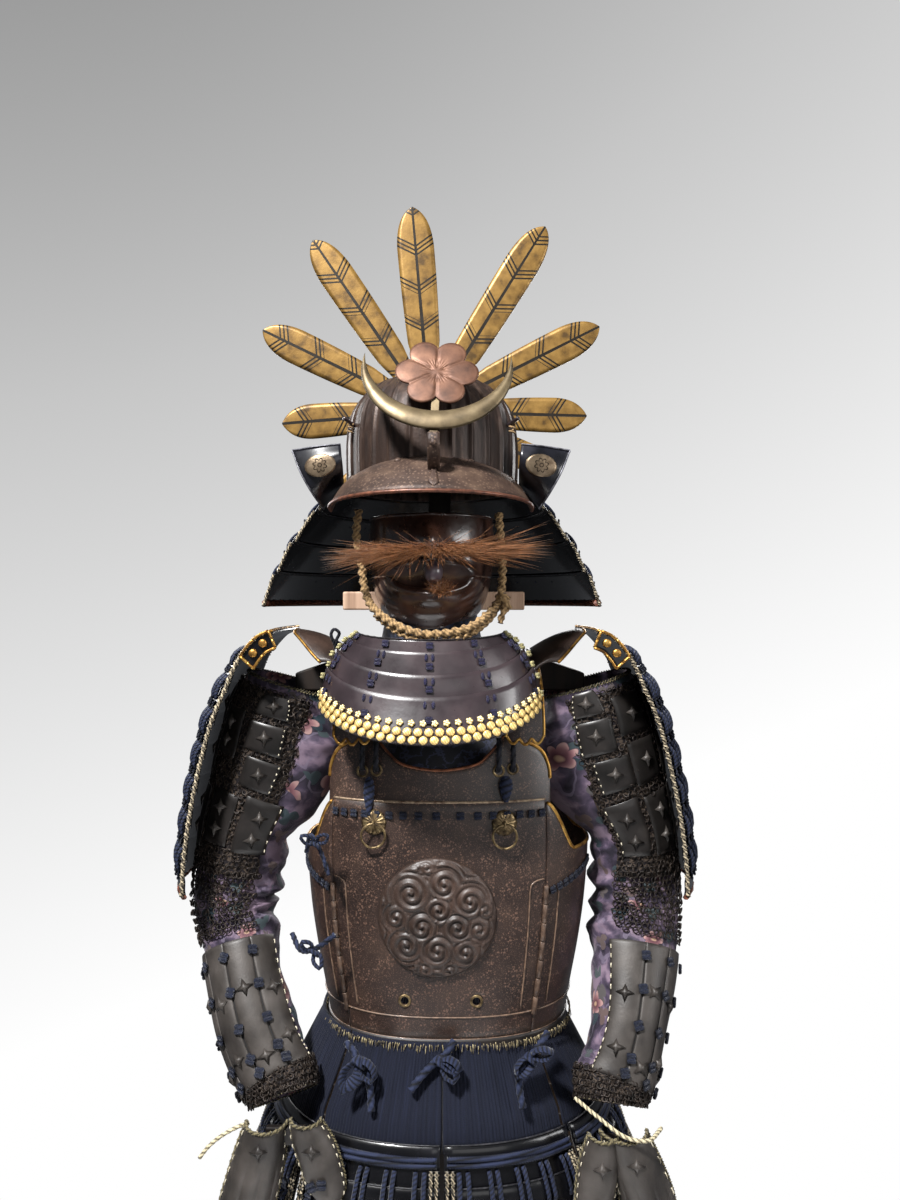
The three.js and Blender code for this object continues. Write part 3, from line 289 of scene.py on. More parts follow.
# Bow loops, each a closed bight of the same braid that starts and ends in the knot.
BOWS = {
    # x, y, z of the knot, how far each loop reaches
    "side_tie_upper": (-143, -120, 716, [(-16, -8, 10), (14, -10, 12)]),
    "side_tie_lower": (-146, -116, 590, [(-13, -8, 12), (8, -8, -17)]),
    "waist_tie_right": (-90, -138, 474, [(-18, -10, -26), (16, -8, -22)]),
    "waist_tie_middle": (2, -138, 474, [(22, -10, -8), (18, -12, -20)]),
    "waist_tie_left": (106, -134, 476, [(24, -6, 6), (-18, -12, -16)]),
}
LACE_SHARE = 0.9
for name, (wide, route) in LACES.items():
    wrist = name.startswith("wrist")
    path = along(route, 1.6)
    lace = piece(f"{name}_braid", *tube_parts(path, wide / 2 * LACE_SHARE, lobes=2, pitch=14, sides=10, depth=0.1))
    dress(lace, white_cord if wrist else navy_braid, "silk_braid", name)
    run = sum((b - a).length for a, b in zip(path, path[1:]))
    tied = []
    if name in BOWS:
        x, y, z, loops = BOWS[name]
        routes = []
        for dx, dy, dz in loops:
            out = Vector((dx, dy, dz))
            wing = Vector((-dz, 0, dx)) * 0.28
            knot = Vector((x, y - 1, z))
            routes.append([
                knot, knot + out * 0.5 + wing, knot + out * 1.05, knot + out * 0.55 - wing, knot + out * 0.08,
            ])
        routes.append([(x - 6, y - 3, z + 3), (x, y - 7, z), (x + 5, y - 3, z - 5)])
        waist = name.startswith("waist")
        bow = cords(f"{name}_bow", routes, wide * (0.8 if waist else 0.42), sides=10, flat=0.26 if waist else 0.8)
        tied = [dress(bow, navy_braid, "silk_braid")]
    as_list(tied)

# ---------------------------------------------------------------- room
# A white floor patch in a pale grey studio, darker toward the upper left, under one hard high light with low fills.
bpy.context.scene.view_settings.view_transform = "Standard"
bpy.ops.object.select_all(action="DESELECT")
FLOOR_RADIUS, FLOOR_AT = 0.58, (0, -0.26, -0.0005)
bpy.ops.mesh.primitive_circle_add(vertices=96, radius=FLOOR_RADIUS, fill_type="NGON", location=FLOOR_AT)
floor = bpy.context.object
floor.name = "floor"
paper = Finish("white_floor", rough=0.9)
paper.colour("#f4f4f4")
floor.data.materials.append(paper.material)

world = bpy.data.worlds.new("studio")
bpy.context.scene.world = world
world.use_nodes = True
nodes, links = world.node_tree.nodes, world.node_tree.links
seen, lit = nodes["Background"], nodes.new("ShaderNodeBackground")
WORLD_TONE, WORLD_LIGHT = "#e2e6ee", 0.17
lit.inputs[0].default_value, lit.inputs[1].default_value = tone(WORLD_TONE), WORLD_LIGHT
ray, choose = nodes.new("ShaderNodeLightPath"), nodes.new("ShaderNodeMixShader")
links.new(ray.outputs["Is Camera Ray"], choose.inputs[0])
links.new(lit.outputs[0], choose.inputs[1])
links.new(seen.outputs[0], choose.inputs[2])
links.new(choose.outputs[0], nodes["World Output"].inputs[0])
way, slope, shade = (nodes.new(f"ShaderNode{kind}") for kind in ("TexCoord", "VectorMath", "ValToRGB"))
slope.operation = "DOT_PRODUCT"
PALER_TOWARD = (-0.35, 0.25, 0.83)
slope.inputs[1].default_value = PALER_TOWARD
links.new(way.outputs["Generated"], slope.inputs[0])
links.new(slope.outputs["Value"], shade.inputs[0])
links.new(shade.outputs[0], seen.inputs[0])
shade.color_ramp.elements[0].color = tone("#ffffff")
for at, code in ((0.1, "#f6f6f6"), (0.4, "#d6d6d6"), (0.53, "#c6c6c6"), (0.8, "#929292")):
    shade.color_ramp.elements.new(at).color = tone(code)
shade.color_ramp.elements.remove(shade.color_ramp.elements[-1])

LIGHTS = [
    # name, place, aim, width, power
    ("key", (-1.15, -1.75, 3.5), (0, 0, 0.8), 0.35, 290),
    ("fill", (0.9, -3.4, 1.5), (0, 0, 0.8), 1.8, 12),
    ("side", (2.9, -1.5, 1.7), (0, 0, 0.9), 1.4, 55),
    ("back_left", (1.2, 3.0, 1.9), (0, 0, 0.9), 1.6, 75),
    ("back_right", (-1.8, 2.6, 1.8), (0, 0, 0.9), 1.6, 75),
]
for name, place, aim, wide, power in LIGHTS:
    lamp = bpy.data.lights.new(name, "AREA")
    lamp.size, lamp.energy = wide, power
    holder = bpy.data.objects.new(name, lamp)
    holder.location = place
    holder.rotation_euler = (Vector(aim) - Vector(place)).to_track_quat("-Z", "Y").to_euler()
    bpy.context.collection.objects.link(holder)

# ---------------------------------------------------------------- stand
# The stand is planed softwood: a low base, a post let into it, a yoke under the shoulder straps, a bar behind
# the mask and a turned cap in the helmet. Bar and base are plain wood; post, yoke and cap are painted near black,
# partly a dark stain and partly painted shade where they show under the visor and beside the throat.
GRAIN = (90, 60, 4)
wood = Finish("stand_wood", rough=0.6)
grain = wood.noise(1, 5, wood.stretch(GRAIN))
wood.colour(wood.ramp(grain, (0.3, "#8d6e58"), (0.5, "#b3937b"), (0.72, "#c9ab93")))
wood.rough(grain, 0.75, 0.5).bump(grain, 0.3, 0.6)

YOKE = [(-186, 884), (186, 884), (186, 906), (124, 927), (-124, 927), (-186, 906)]
HEAD_X = -10


def ease(made, width, segments=2):
    """Bevels every edge of a piece and keeps the result."""
    bpy.ops.object.select_all(action="DESELECT")
    bpy.context.view_layer.objects.active = made
    made.select_set(True)
    edge = made.modifiers.new("edge", "BEVEL")
    edge.width, edge.segments, edge.limit_method = width * MM, segments, "ANGLE"
    bpy.ops.object.modifier_apply(modifier=edge.name)
    bpy.ops.object.transform_apply(location=True, rotation=True, scale=True)


def drawn(kind, spread=(1, 1, 1), at=(0, 0, 0), turn=(0, 0, 0), **how):
    """A primitive of the given size, place and turn in millimetres, ready to shape."""
    bpy.ops.object.select_all(action="DESELECT")
    getattr(bpy.ops.mesh, f"primitive_{kind}_add")(location=[v * MM for v in at], rotation=turn, **how)
    made = bpy.context.object
    made.scale = [v * MM for v in spread]
    bpy.ops.object.transform_apply(location=True, rotation=True, scale=True)
    return made


def ball(spread, at=(0, 0, 0), around=16, rows=8):
    """An ellipsoid of the given half sizes."""
    return drawn("uv_sphere", spread, at, segments=around, ring_count=rows, radius=1)


def rod(spread, at=(0, 0, 0), turn=(0, 0, 0), sides=16):
    """A cylinder: its half sizes across, and its whole length."""
    return drawn("cylinder", spread, at, turn, vertices=sides, radius=1, depth=1)


def hoop(spread, at, turn, radius, thick, around, sides):
    """A ring of round wire."""
    how = {"major_radius": radius, "minor_radius": thick, "major_segments": around, "minor_segments": sides}
    return drawn("torus", spread, at, turn, **how)


def board(name, middle, size, width=2.0):
    """A planed board with eased edges."""
    made = drawn("cube", size, middle, size=1)
    made.name = name
    ease(made, width)
    return made


dress(board("stand_base", (0, 10, 13), (420, 360, 26), 4), wood.material, "wood", "stand")
# Near black for post, yoke and cap: partly a dark stain, partly painted shade under the visor and beside the throat.
stain_and_shade = Finish("post_stain_and_painted_shade", rough=0.7, specular=0.3)
stain_and_shade.colour(stain_and_shade.ramp(stain_and_shade.noise(1, 5, stain_and_shade.stretch(GRAIN)), (0.3, "#0f0b09"), (0.7, "#231a14")))
dress(board("stand_post", (0, 0, 608), (28, 26, 1163)), stain_and_shade.material, "wood")
dress(board("stand_head_bar", (-7.5, -27.6, 999), (228, 28, 23)), wood.material, "wood")
half = len(YOKE)
yoke = piece(
    "stand_yoke",
    [(x, y, z) for y in (-13.2, 13.2) for x, z in YOKE],
    [list(range(half)), list(reversed(range(half, 2 * half)))]
    + [[(k + 1) % half, k, k + half, (k + 1) % half + half] for k in range(half)],
    smooth=False,
)
ease(yoke, 2)
dress(yoke, stain_and_shade.material, "wood")
cap = ball((58, 58, 45), (HEAD_X, 0, 1236), 32, 16)
cap.name = "stand_cap"
bpy.ops.object.shade_smooth()
dress(cap, stain_and_shade.material, "wood")

# ---------------------------------------------------------------- cuirass plates
# The cuirass is five iron plates under dark brown lacquer speckled with pale flecks: front, two sides and back,
# hinged down each seam, and a chest plate laced behind the front plate's rim. Edges are rolled or gilt.
TORSO_X, TORSO_TURN, SQUARE = 10, -5, 0.83
TORSO = [
    # z, half, front, back
    (480, 150, 117, 112),
    (519, 157, 119, 113),
    (571, 167, 121, 115),
    (626, 175, 121, 116),
    (698, 180, 119, 118),
    (765, 178, 113, 118),
    (830, 170, 100, 110),
    (890, 158, 84, 98),
]
DO_BOTTOM, DO_TOP, DO_HINGE, DO_REAR, HINGE_GAP = 484, 762, 42, 139, 0.25


def mix(a, b, t):
    return a + (b - a) * t


def clamp(x, low=0.0, high=1.0):
    return min(max(x, low), high)


def read(rows, column, x):
    """The value of a column where the first column is x, on one smooth curve through the rows."""
    last = len(rows) - 1
    i = 0
    while i < last - 1 and x > rows[i + 1][0]:
        i += 1

    def slope(j):
        a, b = rows[max(j - 1, 0)], rows[min(j + 1, last)]
        return (b[column] - a[column]) / (b[0] - a[0])

    a, b = rows[i], rows[i + 1]
    span = b[0] - a[0]
    t = clamp((x - a[0]) / span)
    bend = mix(a[column], b[column], t * t * (3 - 2 * t))
    return bend + t * (1 - t) * (1 - t) * span * slope(i) + t * t * (t - 1) * span * slope(i + 1)


def soft_power(value, power):
    return math.copysign(abs(value) ** power, value)


def torso_point(angle, z, out=0.0):
    """A point of the torso's surface at an angle from the front, positive to the wearer's left."""
    turn = math.radians(angle + TORSO_TURN)
    s, c = math.sin(turn), math.cos(turn)
    half = read(TORSO, 1, z) + out
    deep = read(TORSO, 2 if c > 0 else 3, z) + out
    return Vector((TORSO_X + half * soft_power(s, SQUARE), -deep * soft_power(c, SQUARE), z))


def torso_front(x, z, out=0.0):
    """The point of the torso's front at x and z."""
    half, front = read(TORSO, 1, z) + out, read(TORSO, 2, z) + out
    reach = clamp(abs(x - TORSO_X) / half, 0, 0.9999)
    return Vector((x, -front * (1 - reach ** (2 / SQUARE)) ** (SQUARE / 2), z))


def sheet_over(name, surface, across, down, wall, size, closed=False, pivot=None, edge=0.0, smooth=True):
    """A plate, or cloth, over surface(u, v): a fine grid with a wall inward; size is (width, height) for its UV."""
    columns = across if closed else across + 1
    points = [surface(i / across, j / down) for j in range(down + 1) for i in range(columns)]
    faces, corners = [], []
    for j in range(down):
        for i in range(across):
            a, b = j * columns + i, j * columns + (i + 1) % columns
            faces.append([a, b, b + columns, a + columns])
            u, w, v, x = i / across, (i + 1) / across, j / down, (j + 1) / down
            corners += [(u, v), (w, v), (w, x), (u, x)]
    facing = 0.0
    for face in faces[:: max(1, len(faces) // 60)]:
        a, b, c, d = [points[n] for n in face]
        middle = (a + b + c + d) / 4
        if closed:
            row = face[0] // columns
            core = sum((points[row * columns + i] for i in range(columns)), Vector()) / columns
        else:
            core = Vector(pivot) if pivot else Vector((0, 0, middle.z))
        facing += (c - a).cross(d - b).dot(middle - core)
    if facing < 0:
        faces = [list(reversed(face)) for face in faces]
        corners = [corners[k + n] for k in range(0, len(corners), 4) for n in (3, 2, 1, 0)]
    corners = [(u * size[0] * MM, v * size[1] * MM) for u, v in corners]
    made = piece(name, points, faces, corners, smooth)
    bpy.ops.object.select_all(action="DESELECT")
    bpy.context.view_layer.objects.active = made
    thick = made.modifiers.new("wall", "SOLIDIFY")
    thick.thickness, thick.offset = wall * MM, -1
    bpy.ops.object.modifier_apply(modifier=thick.name)
    if edge:
        ease(made, edge, 1)
    return made


def seat(point, out, up=(0, 0, 1), turn=0.0):
    """Where a small piece sits: its own z points out of the surface, its y up."""
    z = Vector(out).normalized()
    x = Vector(up).cross(z).normalized()
    y = z.cross(x)
    place = Matrix((x, y, z)).transposed().to_4x4()
    place.translation = Vector(point)
    return place @ Matrix.Rotation(turn, 4, "Z")


def seat_on(surface, u, v, lift=0.0, turn=0.0, outside=1):
    """The seat at (u, v) of a surface, lifted off it."""
    near = 1e-3
    across = surface(u + near, v) - surface(u - near, v)
    down = surface(u, v + near) - surface(u, v - near)
    out = across.cross(down).normalized() * outside
    return seat(surface(u, v) + out * lift, out, turn=turn)


def copies(name, model, places):
    """One mesh of a small piece repeated at many seats. The model is drawn in millimetres about its own origin."""
    source = model.data
    uv = source.uv_layers.active
    base = [v.co / MM for v in source.vertices]
    rings = [list(p.vertices) for p in source.polygons]
    marks = [tuple(d.uv) for d in uv.data] if uv else [(0, 0)] * sum(len(r) for r in rings)
    points, faces, corners = [], [], []
    for place in places:
        start = len(points)
        points += [place @ p for p in base]
        faces += [[start + n for n in ring] for ring in rings]
        corners += marks
    made = piece(name, points, faces, corners)
    bpy.data.objects.remove(model)
    return made


def joined(*parts):
    bpy.ops.object.select_all(action="DESELECT")
    for part in parts:
        part.select_set(True)
    bpy.context.view_layer.objects.active = parts[0]
    bpy.ops.object.join()
    return parts[0]


KNOT_WIDE, KNOT_APART, KNOT_EDGE = 0.46, 0.24, 0.13


def woven_knot(size, high):
    """A square knot of flat braid: two bights upright, and two laid across them."""
    bars = []
    for way in (0, 1):
        for side in (-1, 1):
            spot, shape = [0, 0, high * (0.35 + 0.3 * way)], [size, size, high * 0.6]
            spot[way], shape[way] = side * size * KNOT_APART, size * KNOT_WIDE
            bars.append(ease_block(spot, shape, size * KNOT_EDGE))
    return joined(*bars)


def bevelled(made, edge, segments=1):
    """Cuts back every edge of the primitive drawn last."""
    bpy.ops.object.mode_set(mode="EDIT")
    bpy.ops.mesh.select_all(action="SELECT")
    bpy.ops.mesh.bevel(offset=edge * MM, segments=segments, affect="EDGES")
    bpy.ops.object.mode_set(mode="OBJECT")
    return made


def ease_block(at, size, edge, segments=1):
    return bevelled(drawn("cube", size, at, size=1), edge, segments)


def plain(name, scale, detail, *stops, **look):
    """A finish whose colour only wanders between the stops."""
    made = Finish(name, **look)
    return made.colour(made.ramp(made.noise(scale, detail), *stops))


def proud(point, *where, lift=0.0, turn=0.0):
    """The seat at a place of a surface whose last argument is the distance out of it."""
    spot = point(*where, lift)
    return seat(spot, point(*where, lift + 10) - spot, turn=turn)


speckled = Finish("speckled_lacquer", rough=0.42, coat=0.35, coat_rough=0.3, specular=0.5)
cloud = speckled.noise(18, 4)
ground = speckled.ramp(cloud, (0.3, "#1d120e"), (0.55, "#2c1e18"), (0.75, "#39291f"))
fleck = speckled.cells(330)
patch = speckled.noise(60, 2)
where = speckled.math("MULTIPLY", speckled.math("LESS_THAN", fleck, 0.34), speckled.math("GREATER_THAN", patch, 0.5))
fine = speckled.math("MULTIPLY", speckled.math("LESS_THAN", speckled.cells(620), 0.3), 0.7)
flecks = speckled.math("MULTIPLY", speckled.math("MAXIMUM", where, fine), speckled.noise(420, 1))
speckled.colour(speckled.blend(speckled.math("MULTIPLY", flecks, 0.75), ground, "#8a6a58"))
speckled.rough(cloud, 0.36, 0.56)
speckled.bump(speckled.math("ADD", speckled.noise(500, 3), speckled.math("MULTIPLY", flecks, 0.6)), 0.25, 0.7)

gilt = Finish("gilt_rim", rough=0.36, metal=0.85)
worn = gilt.noise(90, 4)
gilt.colour(gilt.ramp(worn, (0.32, "#5a3d20"), (0.5, "#a87c3c"), (0.75, "#d3aa5e")))
gilt.rough(worn, 0.55, 0.28).bump(gilt.noise(700, 3), 0.15)

copper_rim = plain("copper_rim", 120, 3, (0.3, "#4a2c20"), (0.7, "#9a6246"), rough=0.4, metal=0.7)

old_brass = Finish("old_brass", rough=0.4, metal=0.8)
tarnish = old_brass.noise(150, 4)
old_brass.colour(old_brass.ramp(tarnish, (0.3, "#3d3226"), (0.55, "#7d6a4c"), (0.8, "#a8956c")))
old_brass.rough(tarnish, 0.55, 0.32).bump(old_brass.noise(900, 2), 0.15)

# Dark leather, also used for the discs that stand for the cord holes' depth as painted shade.
dark_leather_and_hole_shade = plain("dark_leather_and_painted_hole_shade", 40, 4, (0.3, "#0d0a09"), (0.8, "#241a15"), rough=0.5)

ARMHOLE_FRONT, ARMHOLE_SIDE, ARMHOLE_BACK = 758, 698, 72


def armhole(angle):
    """A side plate's top edge dips under the arm and rises to the back plate."""
    fall = clamp((abs(angle) - DO_HINGE) / 20)
    rise = clamp((abs(angle) - DO_REAR + 27) / 27)
    return mix(ARMHOLE_FRONT, ARMHOLE_SIDE, fall * fall * (3 - 2 * fall)) + ARMHOLE_BACK * rise * rise


def back_top(angle):
    """The back plate's top edge rises between the shoulder straps."""
    aside = (abs(angle) - 180) / (180 - DO_REAR)
    return 862 - 30 * abs(aside) ** 4


front = sheet_over(
    "front_plate_iron",
    lambda u, v: torso_point(mix(-DO_HINGE, DO_HINGE, u), mix(DO_BOTTOM, DO_TOP, v)), 44, 24, 2, (265, 278), edge=0.6,
)
EYELETS = [(-40, 531), (44, 531)]
for x, z in EYELETS:
    drill = rod((5, 5, 40), (x, -115, z), (math.pi / 2, 0, 0), 24)
    hole = front.modifiers.new("hole", "BOOLEAN")
    hole.object, hole.operation, hole.solver = drill, "DIFFERENCE", "EXACT"
    bpy.context.view_layer.objects.active = front
    bpy.ops.object.modifier_apply(modifier=hole.name)
    bpy.data.objects.remove(drill)
dress(front, speckled.material, "speckled_lacquer", "front_plate")
for side, name in ((1, "left"), (-1, "right")):
    low, high = side * (DO_HINGE + HINGE_GAP), side * (DO_REAR - HINGE_GAP)
    plate = sheet_over(
        f"side_plate_{name}_iron",
        lambda u, v: torso_point(mix(low, high, u), mix(DO_BOTTOM, armhole(mix(low, high, u)), v)),
        44, 20, 2, (290, 230), edge=0.6,
    )
    dress(plate, speckled.material, "speckled_lacquer", f"side_plate_{name}")


def back_surface(u, v):
    angle = mix(DO_REAR, 360 - DO_REAR, u)
    angle = angle - 360 if angle > 180 else angle
    return torso_point(angle, mix(DO_BOTTOM, back_top(angle), v))


back = sheet_over("back_plate_iron", back_surface, 40, 22, 2, (260, 370), edge=0.6)
dress(back, speckled.material, "speckled_lacquer", "back_plate")

# The chest plate's upper edge, from the right armhole round the neck to the left one.
CHEST_OUT = -3.2
CHEST = [(-134, 752), (-134, 785), (-132, 801), (-123, 819), (-104, 830), (-78, 838), (-60, 817), (-42, 804), (0, 798),
         (42, 804), (60, 817), (78, 838), (104, 830), (123, 819), (132, 801), (134, 785), (134, 752)]
left_side, neck, right_side = CHEST[1:6], CHEST[5:12], CHEST[11:16]
edge_line = []
for run in (left_side, neck, right_side):
    edge_line += along([(x, 0, z) for x, z in run], 4)[(1 if edge_line else 0) :]


def chest_surface(u, v):
    spot = edge_line[round(u * (len(edge_line) - 1))]
    x = mix(mix(-134, 134, u), spot.x, clamp(v * 1.2) ** 2 if v < 1 else 1)
    return torso_front(x, mix(750, spot.z, v), CHEST_OUT)


chest = sheet_over("chest_plate_iron", chest_surface, len(edge_line) - 1, 8, 2, (268, 90), edge=0.5)
dress(chest, speckled.material, "speckled_lacquer", "chest_plate")


def on_chest(run, out):
    return [torso_front(x, z, CHEST_OUT + out) for x, z in run]


chest_sides = cords("chest_side_rims", [on_chest(CHEST[1:6], 0.2), on_chest(CHEST[11:16], 0.2)], 2.2, sides=8)
dress(chest_sides, gilt.material, "brass")
dress(cords("chest_neck_rim", [on_chest(neck, 0.2)], 1.7, sides=10), copper_rim.material, "copper")

# Rolled rims, gilt armhole rims and the raised lines that frame the front plate.
def round_torso(angles, height, out, steps=24):
    low, high = angles
    spots = [mix(low, high, i / steps) for i in range(steps + 1)]
    return [torso_point(a, height(a) if callable(height) else height, out) for a in spots]


rim = plain("worn_rim", 200, 4, (0.3, "#5a4538"), (0.65, "#b09a80"), rough=0.4, metal=0.5)
dress(cords("front_plate_top_rim", [round_torso((-DO_HINGE, DO_HINGE), DO_TOP, -0.6)], 1.5, step=4, sides=8),
      rim.material, "speckled_lacquer")
rims = [round_torso((side * (DO_HINGE + 1), side * (DO_REAR - 1)), armhole, -0.6, 40) for side in (1, -1)]
dress(cords("armhole_rims", rims, 2.2, step=3, sides=10), gilt.material, "brass")
back_rim = [back_surface(mix(0.01, 0.99, i / 30), 1) for i in range(31)]
dress(cords("back_plate_top_rim", [back_rim], 2.0, step=3, sides=8), gilt.material, "brass")

LINE_Z, LINE_TOP, LINE_AT = 512, 668, 34
lines = []
for side in (1, -1):
    turn = [torso_point(side * a, z, 0.4) for a, z in ((41, 669), (37.5, LINE_TOP), (LINE_AT + 0.6, LINE_TOP - 4))]
    lines.append(turn + [torso_point(side * LINE_AT, mix(LINE_TOP - 12, LINE_Z + 6, i / 8), 0.4) for i in range(9)])
    lines.append([torso_point(side * a, LINE_Z, 0.4) for a in range(44, 137, 6)])
    lines.append([torso_point(side * 50, mix(LINE_TOP - 12, LINE_Z + 6, i / 8), 0.4) for i in range(9)])
lines.append(round_torso((-DO_HINGE + 1, DO_HINGE - 1), LINE_Z, 0.4))
lines.append(round_torso((DO_REAR + 1, 359 - DO_REAR), LINE_Z, 0.4))
feet = ((-41.5, 41.5), (42.5, 138), (-138, -42.5), (140, 220))
lines += [round_torso(angles, DO_BOTTOM + 1.5, 0, 30) for angles in feet]
raised = plain("raised_line", 160, 4, (0.35, "#4a3a31"), (0.7, "#7d6552"), rough=0.45, coat=0.2)
dress(cords("cuirass_raised_lines", lines, 1.0, step=5, sides=6), raised.material, "speckled_lacquer")

# Hinges: seven knuckles on a pin down each front seam, and down each rear seam.
KNUCKLES, KNUCKLE_FOOT, KNUCKLE_PITCH = 7, 507, 22
knuckle = bevelled(rod((3.2, 3.2, KNUCKLE_PITCH - 1), sides=12), 0.5)
places = []
for angle in (-DO_HINGE, DO_HINGE, -DO_REAR, DO_REAR):
    for i in range(KNUCKLES):
        low, high = (torso_point(angle, KNUCKLE_FOOT + (i + end) * KNUCKLE_PITCH, 1.2) for end in (0, 1))
        axis = (high - low).normalized()
        places.append(seat((low + high) / 2, axis, up=(0, 1, 0)))
hinge_iron = plain("hinge_iron", 120, 4, (0.3, "#2e221c"), (0.7, "#6b5546"), rough=0.45, metal=0.2, coat=0.2)
dress(copies("cuirass_hinges", knuckle, places), hinge_iron.material, "speckled_lacquer")

CORD_HOLES = [(71, 797), (88, 799), (-75, 797), (-92, 795)]
grommet = hoop((1, 1, 0.6), (0, 0, 0), (0, 0, 0), 6.2, 1.6, 24, 8)
places = [seat(torso_front(x, z, 0.4), torso_front(x, z, 30) - torso_front(x, z, 0)) for x, z in EYELETS]
places += [seat(torso_front(x, z, CHEST_OUT + 0.4), (x * 0.003, -1, 0.12)) for x, z in CORD_HOLES]
dress(copies("cuirass_eyelets", grommet, places), old_brass.material, "brass")
# Dark discs sunk in the cord holes stand for the holes' depth: painted shade.
sunk = [place @ Matrix.Translation((0, 0, -0.9)) for place in places[len(EYELETS):]]
dress(copies("eyelet_hole_shade", rod((5, 5, 0.6)), sunk), dark_leather_and_hole_shade.material, "speckled_lacquer")

# Square knots that lace the chest plate to the front plate, and the side plates' upper edges.
KNOT_ROW_Z, CHEST_KNOTS, SIDE_KNOTS = 747, 16, 9
turns = [mix(-39.5, 39.5, i / (CHEST_KNOTS - 1)) for i in range(CHEST_KNOTS)]
places = [proud(torso_point, turn, KNOT_ROW_Z, lift=0.2) for turn in turns]
for side in (1, -1):
    for t in [i / (SIDE_KNOTS - 1) for i in range(SIDE_KNOTS)]:
        places.append(proud(torso_point, side * mix(46, 80, t), mix(655, 676, t), lift=0.2, turn=side * 0.25))
dress(copies("cuirass_lacing_knots", woven_knot(9.6, 3.2), places), navy_braid, "silk_braid")

# ---------------------------------------------------------------- roundel
# A boss raised from the front plate, chased with rolled curls and combed water between them, lacquered like it.
ROUNDEL_X, ROUNDEL_Z, ROUNDEL_R, ROUNDEL_RISE = -2, 629, 70, 7.5
CURLS = [
    # x, z, radius, coils, hand
    (-31, 30, 21, 2.1, 1), (8, 41, 17, 1.8, -1), (38, 21, 19, 2.0, -1), (2, 12, 15, 1.7, 1), (-48, 2, 13, 1.5, -1),
    (-18, -8, 18, 1.9, -1), (24, -9, 17, 1.9, 1), (49, -12, 13, 1.5, 1), (-36, -30, 17, 1.8, 1), (0, -35, 19, 2.0, -1),
    (33, -38, 16, 1.7, -1), (-14, -58, 9, 1.2, 1), (14, -59, 9, 1.2, -1), (-12, 60, 8, 1.2, 1), (56, 10, 9, 1.2, 1),
]


def chased(x, z):
    """The relief of the boss, from 0 to 1: rolled curls, and combed water between them."""
    best, high = 9.0, 0.0
    for cx, cz, radius, coils, hand in CURLS:
        dx, dz = (x - cx) * hand, z - cz
        away = math.hypot(dx, dz) / radius
        if away < best:
            best = away
            turn = math.atan2(dz, dx) / (2 * math.pi)
            coil = away * coils - turn
            ridge = 0.5 + 0.5 * math.cos(2 * math.pi * coil)
            high = ridge**0.7 * (1.15 - 0.55 * away)
    comb = 0.5 + 0.5 * math.cos(math.tau * (best - 1) * 3.1)
    out = clamp((best - 1) / 0.1)
    return mix(high, 0.75 * comb**0.8, out * out * (3 - 2 * out))


rings, sectors = 50, 160
points, faces, corners = [torso_front(ROUNDEL_X, ROUNDEL_Z, ROUNDEL_RISE + 3)], [], []
for j in range(1, rings + 1):
    for i in range(sectors):
        r, turn = ROUNDEL_R * j / rings, 2 * math.pi * i / sectors
        x, z = r * math.cos(turn), r * math.sin(turn)
        crown = math.sqrt(max(0.0, 1 - (r / ROUNDEL_R) ** 2))
        fade = clamp((ROUNDEL_R - r) / 5)
        scallop = 1.6 * math.cos(turn * 22) * clamp((r - 60) / 8) * clamp((ROUNDEL_R - r) / 3)
        height = 0.5 + ROUNDEL_RISE * crown + 4.8 * chased(x, z) * fade + max(0, scallop) * 0.6
        points.append(torso_front(ROUNDEL_X + x, ROUNDEL_Z + z, height if j < rings else 0.2))
for i in range(sectors):
    k = (i + 1) % sectors
    faces.append([0, 1 + k, 1 + i])
    for j in range(rings - 1):
        a, b = 1 + j * sectors + i, 1 + j * sectors + k
        faces.append([a, b, b + sectors, a + sectors])
faces.append([1 + (rings - 1) * sectors + i for i in range(sectors)])
boss_lacquer = Finish("chased_lacquer", rough=0.5, coat=0.2, coat_rough=0.35)
tarnish = boss_lacquer.noise(26, 4)
fine = boss_lacquer.math("MULTIPLY", boss_lacquer.math("LESS_THAN", boss_lacquer.cells(600), 0.28), 0.35)
shade = boss_lacquer.ramp(tarnish, (0.3, "#20150f"), (0.6, "#36261e"), (0.8, "#4a362c"))
boss_lacquer.colour(boss_lacquer.blend(fine, shade, "#6d5648"))
boss_lacquer.rough(tarnish, 0.46, 0.62).bump(boss_lacquer.noise(420, 4), 0.3, 0.8)
roundel = piece("roundel_boss", points, faces)
dress(roundel, boss_lacquer.material, "speckled_lacquer", "roundel")

# ---------------------------------------------------------------- ring staples
# Two brass chrysanthemum staples hold rings that swing freely in their eyes.
ROSETTE_X, ROSETTE_Z, RING_R, RING_WIRE, RING_STAND = 77, 738, 14, 1.5, 10
PETALS, ROSETTE_ROWS, ROSETTE_AROUND = 16, 5, 80


def ring_line(side):
    return torso_front(side * ROSETTE_X, ROSETTE_Z).y - RING_STAND


